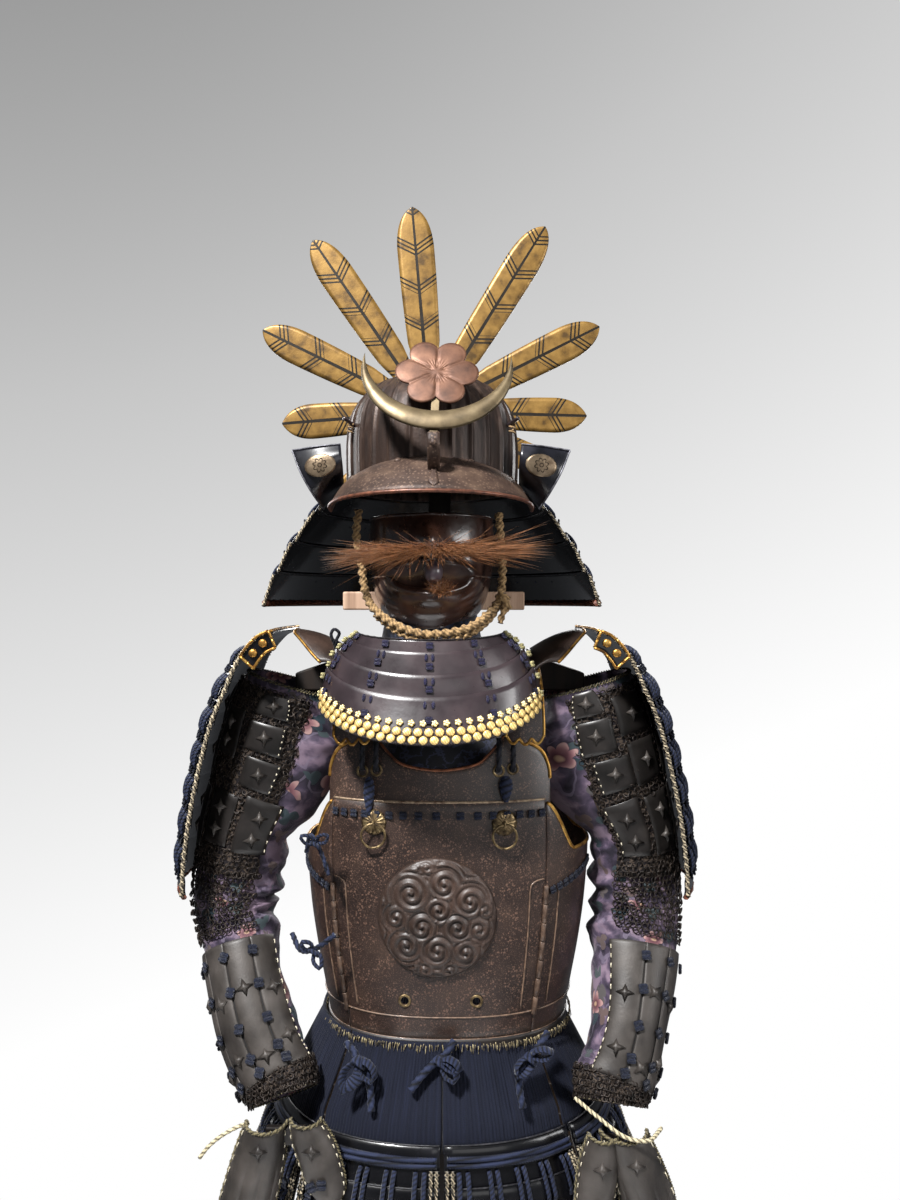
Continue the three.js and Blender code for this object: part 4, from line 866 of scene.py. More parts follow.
for side, name in ((1, "left"), (-1, "right")):
    x, y, z = side * ROSETTE_X, ring_line(side), ROSETTE_Z
    rows, around = ROSETTE_ROWS, ROSETTE_AROUND
    points, faces = [torso_front(x, z, 4.6)], []
    for j in range(1, rows + 1):
        for i in range(around):
            turn = 2 * math.pi * i / around
            lobe = abs(math.cos(PETALS * turn / 2)) ** 0.5
            r = (2.5 + 12.8 * j / rows) * (1 - 0.07 * (1 - lobe) * j / rows)
            high = 0.5 + (3.6 - 2.6 * j / rows) + 1.3 * (lobe - 0.5) * min(1, j / 2) if j < rows else 0.3
            points.append(torso_front(x + r * math.cos(turn), z + r * math.sin(turn), high))
    for i in range(around):
        k = (i + 1) % around
        faces.append([0, 1 + k, 1 + i])
        for j in range(rows - 1):
            a, b = 1 + j * around + i, 1 + j * around + k
            faces.append([a, b, b + around, a + around])
    faces.append([1 + (rows - 1) * around + i for i in range(around)])
    flower = piece(f"rosette_{name}_plate", points, faces)
    eye = hoop((1, 1, 1), (x, y, z), (0, math.pi / 2, 0), 3.8, 1.2, 20, 8)
    stem = rod((1.8, 1.8, 7), (x, y + 6.5, z), (math.pi / 2, 0, 0), 12)
    knob = ball((4.6, 2.6, 4.6), (x, y + 8, z))
    dress(joined(flower, eye, stem, knob), old_brass.material, "brass", f"rosette_{name}")
    ring = hoop((1, 1, 1), (x, y, z - RING_R), (math.pi / 2, 0, 0), RING_R, RING_WIRE, 48, 12)
    bpy.ops.object.shade_smooth()
    dress(ring, old_brass.material, "brass", f"chest_ring_{name}", body=f"ring_{name}")

# ---------------------------------------------------------------- collar cloth
# A dark patterned collar stands inside the neck opening, stitched to the cuirass all round.
COLLAR_TOP, COLLAR_FOOT = 856, 792


def collar_surface(u, v):
    turn = math.radians(mix(-105, 105, u))
    wide, deep = mix(64, 88, v), mix(54, 84, v)
    z = mix(COLLAR_TOP, COLLAR_FOOT, v) + 26 * (1 - math.cos(turn)) * v
    return Vector((wide * math.sin(turn), -8 - deep * math.cos(turn), z))


def spread(made, flat, held, rests_on, *others):
    """Takes a sheet of cloth and does nothing with it but turn rests_on into a list; the sheet and the area of its two
    faces are not used.
    """
    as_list(rests_on)


collar_cloth = Finish("collar_cloth", rough=0.85, sheen=0.3)
curl = collar_cloth.cells(70, collar_cloth.uv)
vine = collar_cloth.noise(60, 4, collar_cloth.uv)
vine = collar_cloth.math("ABSOLUTE", collar_cloth.math("SUBTRACT", vine, 0.5))
figure = collar_cloth.math("LESS_THAN", vine, 0.035)
collar_cloth.colour(collar_cloth.blend(figure, collar_cloth.ramp(curl, (0.1, "#0b0c12"), (0.8, "#14151f")), "#2c3146"))
collar_cloth.bump(collar_cloth.noise(900, 2, collar_cloth.uv), 0.3)
collar = sheet_over("collar_cloth_band", collar_surface, 36, 6, 1.5, (290, 70), pivot=(0, 0, 820))
dress(collar, collar_cloth.material, "leather")
spread(collar, (0.32, 0.1), "stretched", "back_plate")

# ---------------------------------------------------------------- shoulder straps
# Two lacquered iron straps run over the shoulders from the back plate to the chest, with scalloped gilt-edged
# ends and a leaf-shaped wing plate standing up from each. Black cords tie each end down to the chest plate.
STRAP = [
    # s, x, y, z
    (0, 101, -119, 830),
    (0.15, 101, -112, 866),
    (0.3, 100, -88, 904),
    (0.5, 98, -18, 936),
    (0.7, 97, 50, 922),
    (0.85, 95, 95, 884),
    (1, 93, 112, 840),
]
STRAP_HALF = 22
WING_ROOT, WING_REACH, WING_FRONT, WING_BACK, WING_RISE = 112, 76, -74, 52, 30
STRAP_BY_Y = [(row[2], row[3]) for row in STRAP]


def strap_point(side, across, s, lift=0.0):
    """A point on a strap: across from -1 (by the neck) to 1, s along it from its front end."""
    x, y, z = (read(STRAP, column, s) for column in (1, 2, 3))
    ahead, behind = min(s + 0.02, 1), max(s - 0.02, 0)
    dy, dz = (read(STRAP, column, ahead) - read(STRAP, column, behind) for column in (2, 3))
    length = math.hypot(dy, dz)
    out = 2.6 + lift - 3 * across**2
    return Vector((side * (x + STRAP_HALF * across), y - out * dz / length, z + out * dy / length))


def strap_end(across):
    """How far along the strap its scalloped front edge lies: three lobes, the middle one longest."""
    lobe = abs(math.sin(math.pi * 1.5 * (across + 1)))
    return 0.05 - 0.035 * lobe - 0.012 * (1 - across**2)


def strap_surface(side):
    return lambda u, v: strap_point(side, 2 * u - 1, mix(max(0.0, strap_end(2 * u - 1)), 1, v**1.2))


def wing_surface(side):
    def surface(u, v):
        reach = math.sin(math.pi * mix(0.08, 0.92, u)) ** 0.6 * (1 - 0.05 * abs(math.sin(math.pi * 3 * u)) * v)
        y = mix(WING_FRONT, WING_BACK, u)
        z = read(STRAP_BY_Y, 1, y) - 2 + WING_RISE * v * reach + 6 * math.sin(math.pi * v)
        return Vector((side * (WING_ROOT + WING_REACH * v * reach), y, z))

    return surface


black_cord = braid("black_cord", "#050507", "#23242c", 3.0)
edges = []
for side, name in ((1, "left"), (-1, "right")):
    pivot = (side * 98, 0, 840)
    strap = sheet_over(f"shoulder_strap_{name}_iron", strap_surface(side), 18, 36, 2.6, (44, 320), pivot=pivot)
    dress(strap, speckled.material, "speckled_lacquer", f"shoulder_strap_{name}")
    surface, pivot = wing_surface(side), (side * 150, 0, 700)
    wing = sheet_over(f"shoulder_wing_{name}_iron", surface, 32, 10, 2, (126, 80), pivot=pivot)
    dress(wing, boss_lacquer.material, "speckled_lacquer")
    front_edge = [strap_point(side, a / 10, max(0, strap_end(a / 10)), -0.8) for a in range(-10, 11)]
    for a in (-1, 1):
        edges.append([strap_point(side, a, i / 24, -0.6) for i in range(1, 25)])
    edges.append(front_edge)
    edges.append([surface(i / 40, 1) + Vector((0, 0, -0.8)) for i in range(41)])
dress(cords("shoulder_strap_rims", edges, 1.9, step=3, sides=8), gilt.material, "brass")

# Where each strap ends, two black cords pass down through the chest plate's eyelets; a plaited toggle hangs there.
routes = []
for holes in ((71, 88), (-75, -92)):
    for x in holes:
        top = torso_front(x, 836, 8)
        hole = torso_front(x, 798, CHEST_OUT)
        routes.append([top, top + Vector((0, -3, -10))])
        routes[-1] += [hole + Vector((0, y, z)) for y, z in ((-6, 12), (-5, 3), (1, -1))]
dress(cords("strap_cords", routes, 3.3, step=3, lobes=2, pitch=14, sides=8, depth=0.12), black_cord, "silk_braid")
TOGGLES = [(79, 792, 30, 8.2), (-83, 790, 44, 6.6)]
for x, top, long, wide in TOGGLES:
    path = [torso_front(x, top - long * i / 10, CHEST_OUT + 6) for i in range(11)]

    def swelling(t, wide=wide):
        return wide * (0.32 + 0.68 * math.sin(math.pi * t**0.75)) * (1 - 0.2 * t) + 0.4

    parts = tube_parts(along(path, 1.5), swelling, lobes=5, pitch=26, sides=20, depth=0.08, flat=0.7)
    dress(piece(f"strap_toggle_{'left' if x > 0 else 'right'}", *parts), navy_braid, "silk_braid")

# A small black loop of cord stands behind the throat guard at the wearer's right.
loop = [(-124, -78, 932), (-126, -84, 946), (-130, -88, 958), (-126, -90, 965), (-120, -88, 960), (-124, -84, 950),
        (-116, -80, 940)]
dress(cords("shoulder_loop", [loop], 2.0, step=2.5, sides=8), black_cord, "silk_braid")

# ---------------------------------------------------------------- throat guard
# Four polished lames hang one outside the next on navy laces, each edge bound in fine twisted cord. The lowest
# carries three rows of gilt studs: small flowers above, two rows of striped buttons below.
THROAT = [
    # row, middle z, end z, half, front, rear
    (0, 955, 961, 82, 150, 95),
    (1, 937, 954, 95, 158, 98),
    (2, 911, 940, 110, 168, 100),
    (3, 887, 917, 120, 178, 108),
    (4, 844, 880, 130, 200, 114),
]
LAP_OUT = 4.4


def throat_point(side, row, out=0.0):
    """The throat guard's surface: side from -1 to 1 across it, row down it, moved out."""
    half = read(THROAT, 3, row) + out * abs(side)
    middle, end, front, rear = (read(THROAT, column, row) for column in (1, 2, 4, 5))
    z = middle + (end - middle) * side**2
    return Vector((HEAD_X + half * math.sin(side * math.pi / 2.4) * 1.035, -front - out + (front - rear) * side**2, z))


def throat_lame(row, lift=0.0):
    lap = 0 if row == 0 else 0.22
    return lambda u, v: throat_point(2 * u - 1, mix(row - lap, row + 1, v), mix(LAP_OUT, 0.5, v) + lift)


throat_lacquer = Finish("throat_lacquer", rough=0.3, coat=0.6, coat_rough=0.14)
cloud = throat_lacquer.noise(16, 5)
throat_lacquer.colour(throat_lacquer.ramp(cloud, (0.28, "#1b1416"), (0.5, "#2e2528"), (0.72, "#453a3c")))
throat_lacquer.rough(throat_lacquer.noise(70, 4), 0.2, 0.42).bump(throat_lacquer.noise(300, 4), 0.12, 0.6)
edge_dark = braid("dark_edge", "#070608", "#2d2628", 5.0)
edges, knots, pairs, cream = [], [], [], []
for row in range(4):
    surface = throat_lame(row)
    lame = sheet_over(f"throat_lame_{row + 1}_plate", surface, 44, 6, 2, (200, 30), edge=0.5, pivot=(HEAD_X, 0, 900))
    dress(lame, throat_lacquer.material, "brown_lacquer", f"throat_lame_{row + 1}")
    foot = throat_lame(row, 0.3)
    edges.append([foot(i / 40, 1) for i in range(41)])
    if row == 0:
        edges.append([foot(i / 40, 0) for i in range(41)])
    for u in (0.055, 0.28, 0.5, 0.72, 0.945):
        knots.append(seat_on(surface, u, 0.56 if row else 0.4, 0.3, outside=-1))
        if row:
            pairs += [seat_on(surface, u + d, 0.24, 0.4, outside=-1) for d in (-0.014, 0.014)]
    for u in (0.012, 0.988):
        cream += [seat_on(surface, u, v, 1.0, outside=-1) for v in (0.3, 0.75)]
dress(cords("throat_edges", edges, 1.15, step=2.4, lobes=2, pitch=6, sides=6), edge_dark, "silk_braid")
purple_braid = braid("purple_braid", "#0d0b20", "#2c284e", 3.0)
dress(copies("throat_knots", woven_knot(8.4, 3.4), knots), purple_braid, "silk_braid")
dress(copies("throat_laces", ball((2.1, 4.8, 1.8), around=10, rows=6), pairs), purple_braid, "silk_braid")
cream_braid = braid("cream_braid", "#7d7348", "#e0d59a", 5.0)
dress(copies("throat_end_knots", woven_knot(7.4, 4), cream), cream_braid, "silk_braid")

gold = Finish("gilt_stud", rough=0.4, metal=0.4)
slanted = gold.split(gold.stretch((1, 1, 1), turn=(0, 0.6, 0)))[0]
stripe = gold.math("ABSOLUTE", gold.math("SINE", gold.math("MULTIPLY", slanted, 1350)))
gold.colour(gold.blend(gold.math("MULTIPLY", stripe, 0.55), "#f8d98f", "#a37c3c"))
gold.bump(stripe, 0.3, 0.8)
pale_gold = plain("pale_stud", 400, 3, (0.35, "#d2b878"), (0.65, "#fbeab8"), rough=0.4, metal=0.45)
bottom = throat_lame(3)
button = rod((4.9, 4.9, 3.4))
ease(button, 1.1, 1)
places = []
for v, count, shift, spaces in ((0.78, 29, 0.0, 28), (0.93, 28, 0.5, 28)):
    for i in range(count):
        places.append(seat_on(bottom, mix(0.022, 0.978, (i + shift) / spaces), v, 1.2, outside=-1))
dress(copies("throat_gilt_buttons", button, places), gold.material, "gold_leaf")
turns = [2 * math.pi * k / 5 for k in range(5)]
petals = [ball((1.9, 1.9, 1.5), (2.3 * math.cos(t), 2.3 * math.sin(t), 0.9), 8, 5) for t in turns]
flower = joined(*petals, ball((1.7, 1.7, 1.9), (0, 0, 1.4), 8, 5))
places = [seat_on(bottom, mix(0.03, 0.97, i / 25), 0.62, 0.8, outside=-1) for i in range(26)]
dress(copies("throat_flower_studs", flower, places), pale_gold.material, "gold_leaf")
rim_cord = [[throat_lame(3, 0.4)(i / 50, 1.02) for i in range(51)]]
dress(cords("throat_foot_rim", rim_cord, 1.7, step=3, sides=8), edge_dark, "silk_braid")


def lining_surface(u, v):
    turn = math.radians(mix(-80, 80, u))
    grow = mix(0, 8, v)
    return Vector((HEAD_X + (56 + grow) * math.sin(turn), -44 - (62 + 2 * grow) * math.cos(turn), mix(988, 946, v)))


lining = sheet_over("throat_lining_cloth", lining_surface, 40, 8, 1.6, (180, 44), pivot=(HEAD_X, -44, 960))
dress(lining, collar_cloth.material, "leather", "throat_lining")
spread(lining, (0.2, 0.05), "hung", "throat_lame_1")

# ---------------------------------------------------------------- half mask
# A half mask of hammered iron under russet lacquer covers nose, cheeks and chin. The nose is high, the mouth is
# open, the cheeks are cut with curved wrinkles, and the chin is a rounded boss.
MASK = [
    # z, half, front
    (968, 40, 116),
    (985, 60, 129),
    (1010, 71, 131),
    (1040, 76, 127),
    (1070, 78, 126),
    (1100, 76, 118),
]
MASK_BACK, MASK_FOOT, MASK_BROW, MOUTH_Z, MOUTH_HALF, MOUTH_TALL = -42, 968, 1100, 1027, 46, 13


def mask_point(u, z, lift=0.0):
    turn = math.radians(mix(-90, 90, u))
    half = read(MASK, 1, z) + lift
    front = read(MASK, 2, z) + MASK_BACK + lift
    x, y = half * math.sin(turn), -front * math.cos(turn)
    bump = 26 * math.exp(-((x / 15) ** 2)) * math.exp(-(((z - 1068) / 26) ** 2))
    bump += 5 * math.exp(-((abs(x) - 22) / 7) ** 2) * math.exp(-(((z - 1058) / 9) ** 2))
    bump += 9 * math.exp(-((x / 20) ** 2)) * math.exp(-(((z - 1003) / 9) ** 2))
    bump += 6 * math.exp(-((abs(x) - 50) / 14) ** 2) * math.exp(-(((z - 1034) / 15) ** 2))
    lips = math.hypot(x / (MOUTH_HALF + 6), (z - MOUTH_Z) / (MOUTH_TALL + 6))
    bump += 4.5 * math.exp(-(((lips - 1) / 0.14) ** 2))
    for k in (0, 1, 2):
        arc = math.hypot((abs(x) - 26) / 1.1, z - 1030) - (29 + 7 * k)
        fade = clamp((abs(x) - 34) / 10) * clamp((1040 - z) / 16 + 0.3)
        bump -= 2.2 * math.exp(-((arc / 1.5) ** 2)) * fade
    return Vector((HEAD_X + x, MASK_BACK + y - bump, z))


def mouth_z(u, t):
    """Rows of the mask part round the mouth: t from 0 at the chin to 1 at its top, with a gap at the lips."""
    x = 74 * math.sin(math.radians(mix(-90, 90, u)))
    open_half = MOUTH_TALL * math.sqrt(max(0.0, 1 - (x / MOUTH_HALF) ** 2))
    if t <= 0.5:
        return mix(MASK_FOOT, MOUTH_Z - open_half, t * 2)
    return mix(MOUTH_Z + open_half, MASK_BROW, t * 2 - 1)


mask_lacquer = Finish("mask_lacquer", rough=0.26, coat=0.7, coat_rough=0.12)
cloud = mask_lacquer.noise(22, 5)
mask_lacquer.colour(mask_lacquer.ramp(cloud, (0.25, "#1a0f0b"), (0.5, "#35211a"), (0.78, "#56382b")))
mask_lacquer.rough(mask_lacquer.noise(90, 4), 0.18, 0.42).bump(mask_lacquer.noise(160, 4), 0.35, 0.7)
lower = sheet_over(
    "face_mask_lower", lambda u, v: mask_point(u, mouth_z(u, v / 2)), 84, 30, 2.2, (220, 60),
    pivot=(HEAD_X, MASK_BACK, 1030),
)
upper = sheet_over(
    "face_mask_upper", lambda u, v: mask_point(u, mouth_z(u, 0.5 + v / 2)), 84, 32, 2.2, (220, 60),
    pivot=(HEAD_X, MASK_BACK, 1070),
)
dress(lower, mask_lacquer.material, "mask_lacquer", "face_mask")
dress(upper, mask_lacquer.material, "mask_lacquer")
rolls = [[mask_point(0.5 + k / 40, z, -0.5) for k in range(-19, 20)] for z in (MASK_FOOT, MASK_BROW)]
dress(cords("mask_rims", rolls, 2.0, step=4, sides=8), mask_lacquer.material, "mask_lacquer")

# Inside the mouth a lacquered tongue shows against the dark.
mouth_lacquer = plain("mouth_lacquer", 60, 3, (0.3, "#3b3238"), (0.7, "#6a5a60"), rough=0.3, coat=0.5)
tongue = ball((11, 12, 13), (HEAD_X + 4, -138, 1032), 24, 14)
bpy.ops.object.shade_smooth()
dress(tongue, mouth_lacquer.material, "mask_lacquer")

# ---------------------------------------------------------------- moustache and chin tuft
# Stiff auburn bristle set in rows through the lip and the chin, combed out to fine tips painted paler as a painted
# highlight.
hair = Finish("auburn_bristle", rough=0.6, sheen=0.15, specular=0.35)
across, length, _ = hair.split(hair.uv)
warm = hair.ramp(hair.noise(260, 2), (0.35, "#4a2008"), (0.6, "#7c3c12"), (0.8, "#96561f"))
# Paler toward each tip: a painted highlight where the fine tips catch the light.
hair.colour(hair.blend(hair.math("MULTIPLY", hair.math("POWER", length, 1.6), 0.85), warm, "#94683f"))


def bristles(name, strands):
    """Each strand is (root, tip, sag, width): a fine three-sided spike."""
    points, faces, corners = [], [], []
    steps = 3
    for root, tip, sag, wide in strands:
        start = len(points)
        line = (tip - root).normalized()
        side = line.cross(Vector((0.3, 1, 0.2))).normalized()
        other = line.cross(side)
        for i in range(steps):
            t = i / steps
            spot = root.lerp(tip, t) + sag * (t * (1 - t) * 2 + t * t * 0.5)
            reach = wide * (1 - t**1.5)
            for k in range(3):
                turn = 2 * math.pi * k / 3
                points.append(spot + side * (reach * math.cos(turn)) + other * (reach * math.sin(turn)))
        points.append(tip + sag * 0.5)
        for i in range(steps - 1):
            for k in range(3):
                a, b = start + i * 3 + k, start + i * 3 + (k + 1) % 3
                faces.append([a, b, b + 3, a + 3])
                corners += [(0, i / steps), (0, i / steps), (0, (i + 1) / steps), (0, (i + 1) / steps)]
        top = start + (steps - 1) * 3
        for k in range(3):
            faces.append([top + k, top + (k + 1) % 3, start + steps * 3])
            corners += [(0, 1 - 1 / steps), (0, 1 - 1 / steps), (0, 1)]
        faces.append([start + 2, start + 1, start])
        corners += [(0, 0)] * 3
    return piece(name, points, faces, corners)


LIP = [
    # x, y, z, spread up and down
    (-55, -132, 1056, 5),
    (-28, -146, 1058, 6),
    (-6, -158, 1060, 5),
    (20, -148, 1058, 6),
    (44, -134, 1057, 5),
]
LIP_HAIRS, CHIN_HAIRS = 1900, 420
draw = random.Random(7)
strands = []
for _ in range(LIP_HAIRS):
    t = draw.random()
    x = mix(-56, 46, t)
    y, z, half = (read(LIP, column, x) for column in (1, 2, 3))
    root = Vector((x, y + draw.uniform(-2, 5), z + draw.uniform(-0.6, 0.6) * half))
    side = (x + 6) / 50
    out = math.copysign(abs(side) ** 0.8, side) if abs(side) > 0.04 else side
    reach = draw.uniform(24, 58) * (0.4 + abs(out) ** 0.7)
    reach *= 1.25 if abs(side) > 0.75 and draw.random() < 0.5 else 1
    lean = Vector((
        out * 1.25 + draw.gauss(0, 0.22),
        -0.55 + 0.42 * abs(out) + draw.gauss(0, 0.12),
        draw.gauss(0.0, 0.13) + (0.04 if x > 0 else -0.14) * abs(out) - 0.12 * (1 - abs(out)),
    ))
    tip = root + lean.normalized() * reach
    tip.x, tip.y = clamp(tip.x, -136, 134), max(tip.y, -174)
    strands.append((root, tip, Vector((0, draw.uniform(-2, 1), draw.uniform(-6, 3))), draw.uniform(0.35, 0.6)))
dress(bristles("moustache_bristles", strands), hair.material, "hair", "moustache")
strands = []
for _ in range(CHIN_HAIRS):
    root = Vector((3 + draw.gauss(0, 5), -141 + draw.uniform(-1, 2), 1013 + draw.gauss(0, 2.5)))
    lean = Vector((draw.gauss(0, 0.55), -0.85, draw.gauss(0.1, 0.45))).normalized()
    tip = root + lean * draw.uniform(9, 17)
    strands.append((root, tip, Vector((0, 0, draw.uniform(-3, 2))), draw.uniform(0.3, 0.5)))
dress(bristles("chin_bristles", strands), hair.material, "hair", "chin_tuft")

# ---------------------------------------------------------------- helmet cord
# A two-strand hemp rope comes down from the helmet's rim at each side, crosses under the chin and is knotted at
# the wearer's left, where a short end is left.
CHIN_CORD = [(-97, -88, 1108), (-99, -96, 1077), (-92, -98, 1040), (-88, -104, 1012), (-76, -124, 990),
             (-46, -143, 970), (-12, -150, 961), (30, -146, 967), (58, -126, 985), (72, -108, 1006), (75, -100, 1042), (71, -92, 1104)]
hemp = Finish("hemp_rope", rough=0.85, sheen=0.1)
across, length, _ = hemp.split(hemp.uv)
lay = hemp.math("SINE", hemp.math("ADD", hemp.math("MULTIPLY", length, 2200), hemp.math("MULTIPLY", across, 25)))
# The lay's sine lightens the strand crests and darkens the grooves between strands: painted shade, mixed with random
# tone.
shade = hemp.math("ADD", hemp.math("MULTIPLY", lay, 0.12), hemp.noise(160, 4))
hemp.colour(hemp.ramp(shade, (0.3, "#5a4428"), (0.6, "#a3845a")))
hemp.bump(hemp.math("ADD", lay, hemp.noise(900, 3)), 0.4, 0.8)
second = [(x * 0.985 + 1, y + 1.5, z - 8) for x, y, z in CHIN_CORD[4:10]]
knot = [(70, -112, 1004), (76, -120, 1000), (82, -116, 992), (77, -106, 990), (70, -110, 998), (77, -119, 1004),
        (81, -112, 1001)]
end = [(77, -114, 996), (76, -118, 988), (73, -120, 980), (72, -119, 973)]
rope = cords("chin_rope", [CHIN_CORD], 4.6, step=2.6, lobes=2, pitch=22, sides=10, depth=0.26)
dress(rope, hemp.material, "hemp", "chin_cord")
tail = cords("chin_rope_turns", [second, knot, end], 3.6, step=2, lobes=2, pitch=18, sides=12, depth=0.26)
dress(tail, hemp.material, "hemp")

# ---------------------------------------------------------------- helmet bowl
# The bowl is riveted up from twenty-eight tapering russet iron plates, each turned out at its edge in a fine ridge.
BOWL = [
    # step, half width, height
    (0, 108.5, 1143),
    (1, 109.5, 1175),
    (2, 109, 1203),
    (3, 105, 1229),
    (4, 97, 1247),
    (5, 85, 1262),
    (6, 69, 1274),
    (7, 43, 1281),
    (8, 6, 1284),
]
BOWL_OVAL, BOWL_PLATES = 1.2, 28


def skinned(name, rings, smooth=True):
    """A closed solid through rings of equal count, capped at both ends and facing outward."""
    count = len(rings[0])
    points = [Vector(p) for ring in rings for p in ring]
    faces = []
    for j in range(len(rings) - 1):
        for i in range(count):
            a, b = j * count + i, j * count + (i + 1) % count
            faces.append([a, b, b + count, a + count])
    faces.append(list(reversed(range(count))))
    faces.append([(len(rings) - 1) * count + i for i in range(count)])
    volume = sum(points[f[0]].dot(points[f[k]].cross(points[f[k + 1]])) for f in faces for k in range(1, len(f) - 1))
    if volume < 0:
        faces = [list(reversed(f)) for f in faces]
    corners = []
    for f in faces:
        corners += [((n % count) / count * 0.1, (n // count) / len(rings) * 0.1) for n in f]
    return piece(name, points, faces, corners, smooth)


PLATE_STEPS = (0.0, 0.07, 0.14, 0.24, 0.5, 0.76, 0.93)
BOWL_AROUND = BOWL_PLATES * len(PLATE_STEPS)
PLATE_RIDGE = {0.0: 2.6, 0.07: 2.2, 0.14: 0.2}


def bowl_surface(u, v):
    k = round(u * BOWL_AROUND) % BOWL_AROUND
    part = PLATE_STEPS[k % len(PLATE_STEPS)]
    turn = 2 * math.pi * (k // len(PLATE_STEPS) + part) / BOWL_PLATES
    half, z = read(BOWL, 1, 8 * v), read(BOWL, 2, 8 * v)
    ridge = PLATE_RIDGE.get(part, 0.0) * clamp((half - 10) / 60)
    crown = 0.9 * math.sin(math.pi * part) * clamp(half / 90)
    reach = half + ridge + crown - 0.6
    return Vector((HEAD_X + reach * math.sin(turn), -reach * BOWL_OVAL * math.cos(turn), z))


russet = Finish("russet_iron", rough=0.5, metal=0.35, specular=0.4)
streak = russet.noise(1, 5, russet.stretch((130, 130, 22)))
pits = russet.noise(260, 4)
iron_tone = russet.ramp(streak, (0.3, "#1e1612"), (0.55, "#392b24"), (0.75, "#5c4a3f"))
russet.colour(russet.blend(russet.math("MULTIPLY", pits, 0.5), iron_tone, "#2e211c"))
russet.rough(streak, 0.62, 0.38).bump(russet.math("ADD", streak, pits), 0.4, 0.8)
bowl = sheet_over("helmet_bowl_plates", bowl_surface, BOWL_AROUND, 22, 2, (700, 180), closed=True)
dress(bowl, russet.material, "russet_iron", "helmet_bowl")
crown = ball((21, 24, 3.2), (HEAD_X, 0, 1283), 36, 12)
bpy.ops.object.shade_smooth()
dress(crown, russet.material, "russet_iron")
BOWL_RIM = 109
turns = [2 * math.pi * i / 72 for i in range(73)]
rim_path = [Vector((HEAD_X + BOWL_RIM * math.sin(t), -BOWL_RIM * BOWL_OVAL * math.cos(t), 1144)) for t in turns]
dress(cords("helmet_bowl_rim", [rim_path], 2.2, step=5, sides=8), russet.material, "russet_iron")

# Two small iron pegs stand out of the bowl, each wound with a turn of cord.
pegs = []
for side in (-1, 1):
    x, z = HEAD_X + side * 93, 1214
    pegs.append([(x, -62, z), (x + side * 6, -70, z + 3), (x + side * 13, -78, z + 7)])
dress(cords("helmet_pegs", pegs, 2.4, step=2, sides=8), throat_lacquer.material, "russet_iron")
wound = []
for _, (x, y, z), _ in pegs:
    turns = [k * 0.6 for k in range(22)]
    wound.append([Vector((x + 3.6 * math.cos(t), y + 3.6 * math.sin(t), z - 2 - t * 0.9)) for t in turns])
dress(cords("helmet_peg_cords", wound, 1.2, step=2, sides=6), hemp.material, "hemp")

# ---------------------------------------------------------------- visor
# One russet plate, hammered and left mottled, hangs from the bowl's front edge on rivets. Its lip is rolled.
VISOR_SWEEP, VISOR_NEAR, VISOR_ROOT, VISOR_FALL, VISOR_REACH = 66, 111, 1166, 20, 195
VISOR_HALF, VISOR_LIP, VISOR_LIP_FALL, VISOR_END = 123, 1120, 9, -66


def visor_point(u, v, lift=0.0):
    side = 2 * u - 1
    turn, swing = math.radians(side * VISOR_SWEEP), side * math.pi / 2
    z = VISOR_ROOT - VISOR_FALL * side * side
    root = Vector((VISOR_NEAR * math.sin(turn), -VISOR_NEAR * BOWL_OVAL * math.cos(turn), z))
    ahead = (VISOR_REACH + VISOR_END) * (max(0.0, math.cos(swing)) + 1e-9) ** 0.85
    lip = Vector((VISOR_HALF * math.sin(swing), VISOR_END - ahead, VISOR_LIP - VISOR_LIP_FALL * side * side))
    point = root.lerp(lip, v)
    return Vector((HEAD_X + point.x, point.y, point.z + 6 * math.sin(math.pi * v) + lift))


mottled = Finish("mottled_iron", rough=0.55, metal=0.3, specular=0.4)
rust = mottled.noise(34, 6)
spots = mottled.cells(240)
shade = mottled.ramp(rust, (0.3, "#2a1e19"), (0.5, "#43332b"), (0.7, "#5f4c3f"))
mottled.colour(mottled.blend(mottled.math("MULTIPLY", mottled.math("LESS_THAN", spots, 0.3), 0.45), shade, "#7a6454"))
mottled.rough(rust, 0.62, 0.42).bump(mottled.math("ADD", rust, mottled.noise(300, 4)), 0.6, 0.8)
visor = sheet_over("visor_plate", visor_point, 60, 10, 2.4, (260, 60), pivot=(HEAD_X, -80, 1080))
dress(visor, mottled.material, "russet_iron", "visor")
lip = [visor_point(i / 60, 1, -1.2) for i in range(61)]
lip_iron = plain("visor_lip", 130, 4, (0.3, "#3c2119"), (0.7, "#7a4c38"), rough=0.42, metal=0.35)
dress(cords("visor_lip_roll", [lip], 2.3, step=3, sides=10), lip_iron.material, "russet_iron")
rivet = ball((4.6, 4.6, 2.4), around=18)
places = [seat_on(visor_point, u, 0.13, 0.2, outside=-1) for u in (0.36, 0.68)]
places += [seat_on(visor_point, u, 0.1, 0.2, outside=-1) for u in (0.06, 0.94)]
dress(copies("visor_rivets", rivet, places), mottled.material, "russet_iron")

# ---------------------------------------------------------------- crest holder
# A forged iron prong is riveted to the visor by an engraved fishtail foot, and takes the crest's brass tongue.
CREST_X, CREST_Y, CREST_Z, CREST_LEAN, CREST_TILT = -5, -178, 1187.4, 27, 2.2
crest_plane = (
    Matrix.Translation((CREST_X, CREST_Y, CREST_Z))
    @ Matrix.Rotation(math.radians(-CREST_LEAN), 4, "X")
    @ Matrix.Rotation(math.radians(CREST_TILT), 4, "Y")
)
FOOT = [
    # v on the visor, half width, thickness
    (0.93, 1.5, 1.2), (0.86, 6.5, 1.6), (0.78, 5.0, 2.0), (0.66, 3.2, 2.4), (0.5, 3.6, 2.6), (0.36, 5.6, 3.0),
    (0.2, 7.2, 3.2), (0.1, 7.4, 3.2),
]
FOOT_RING = [(-1, 0), (-0.92, 0.7), (-0.5, 1), (0, 0.72), (0.5, 1), (0.92, 0.7), (1, 0)]
rings = []
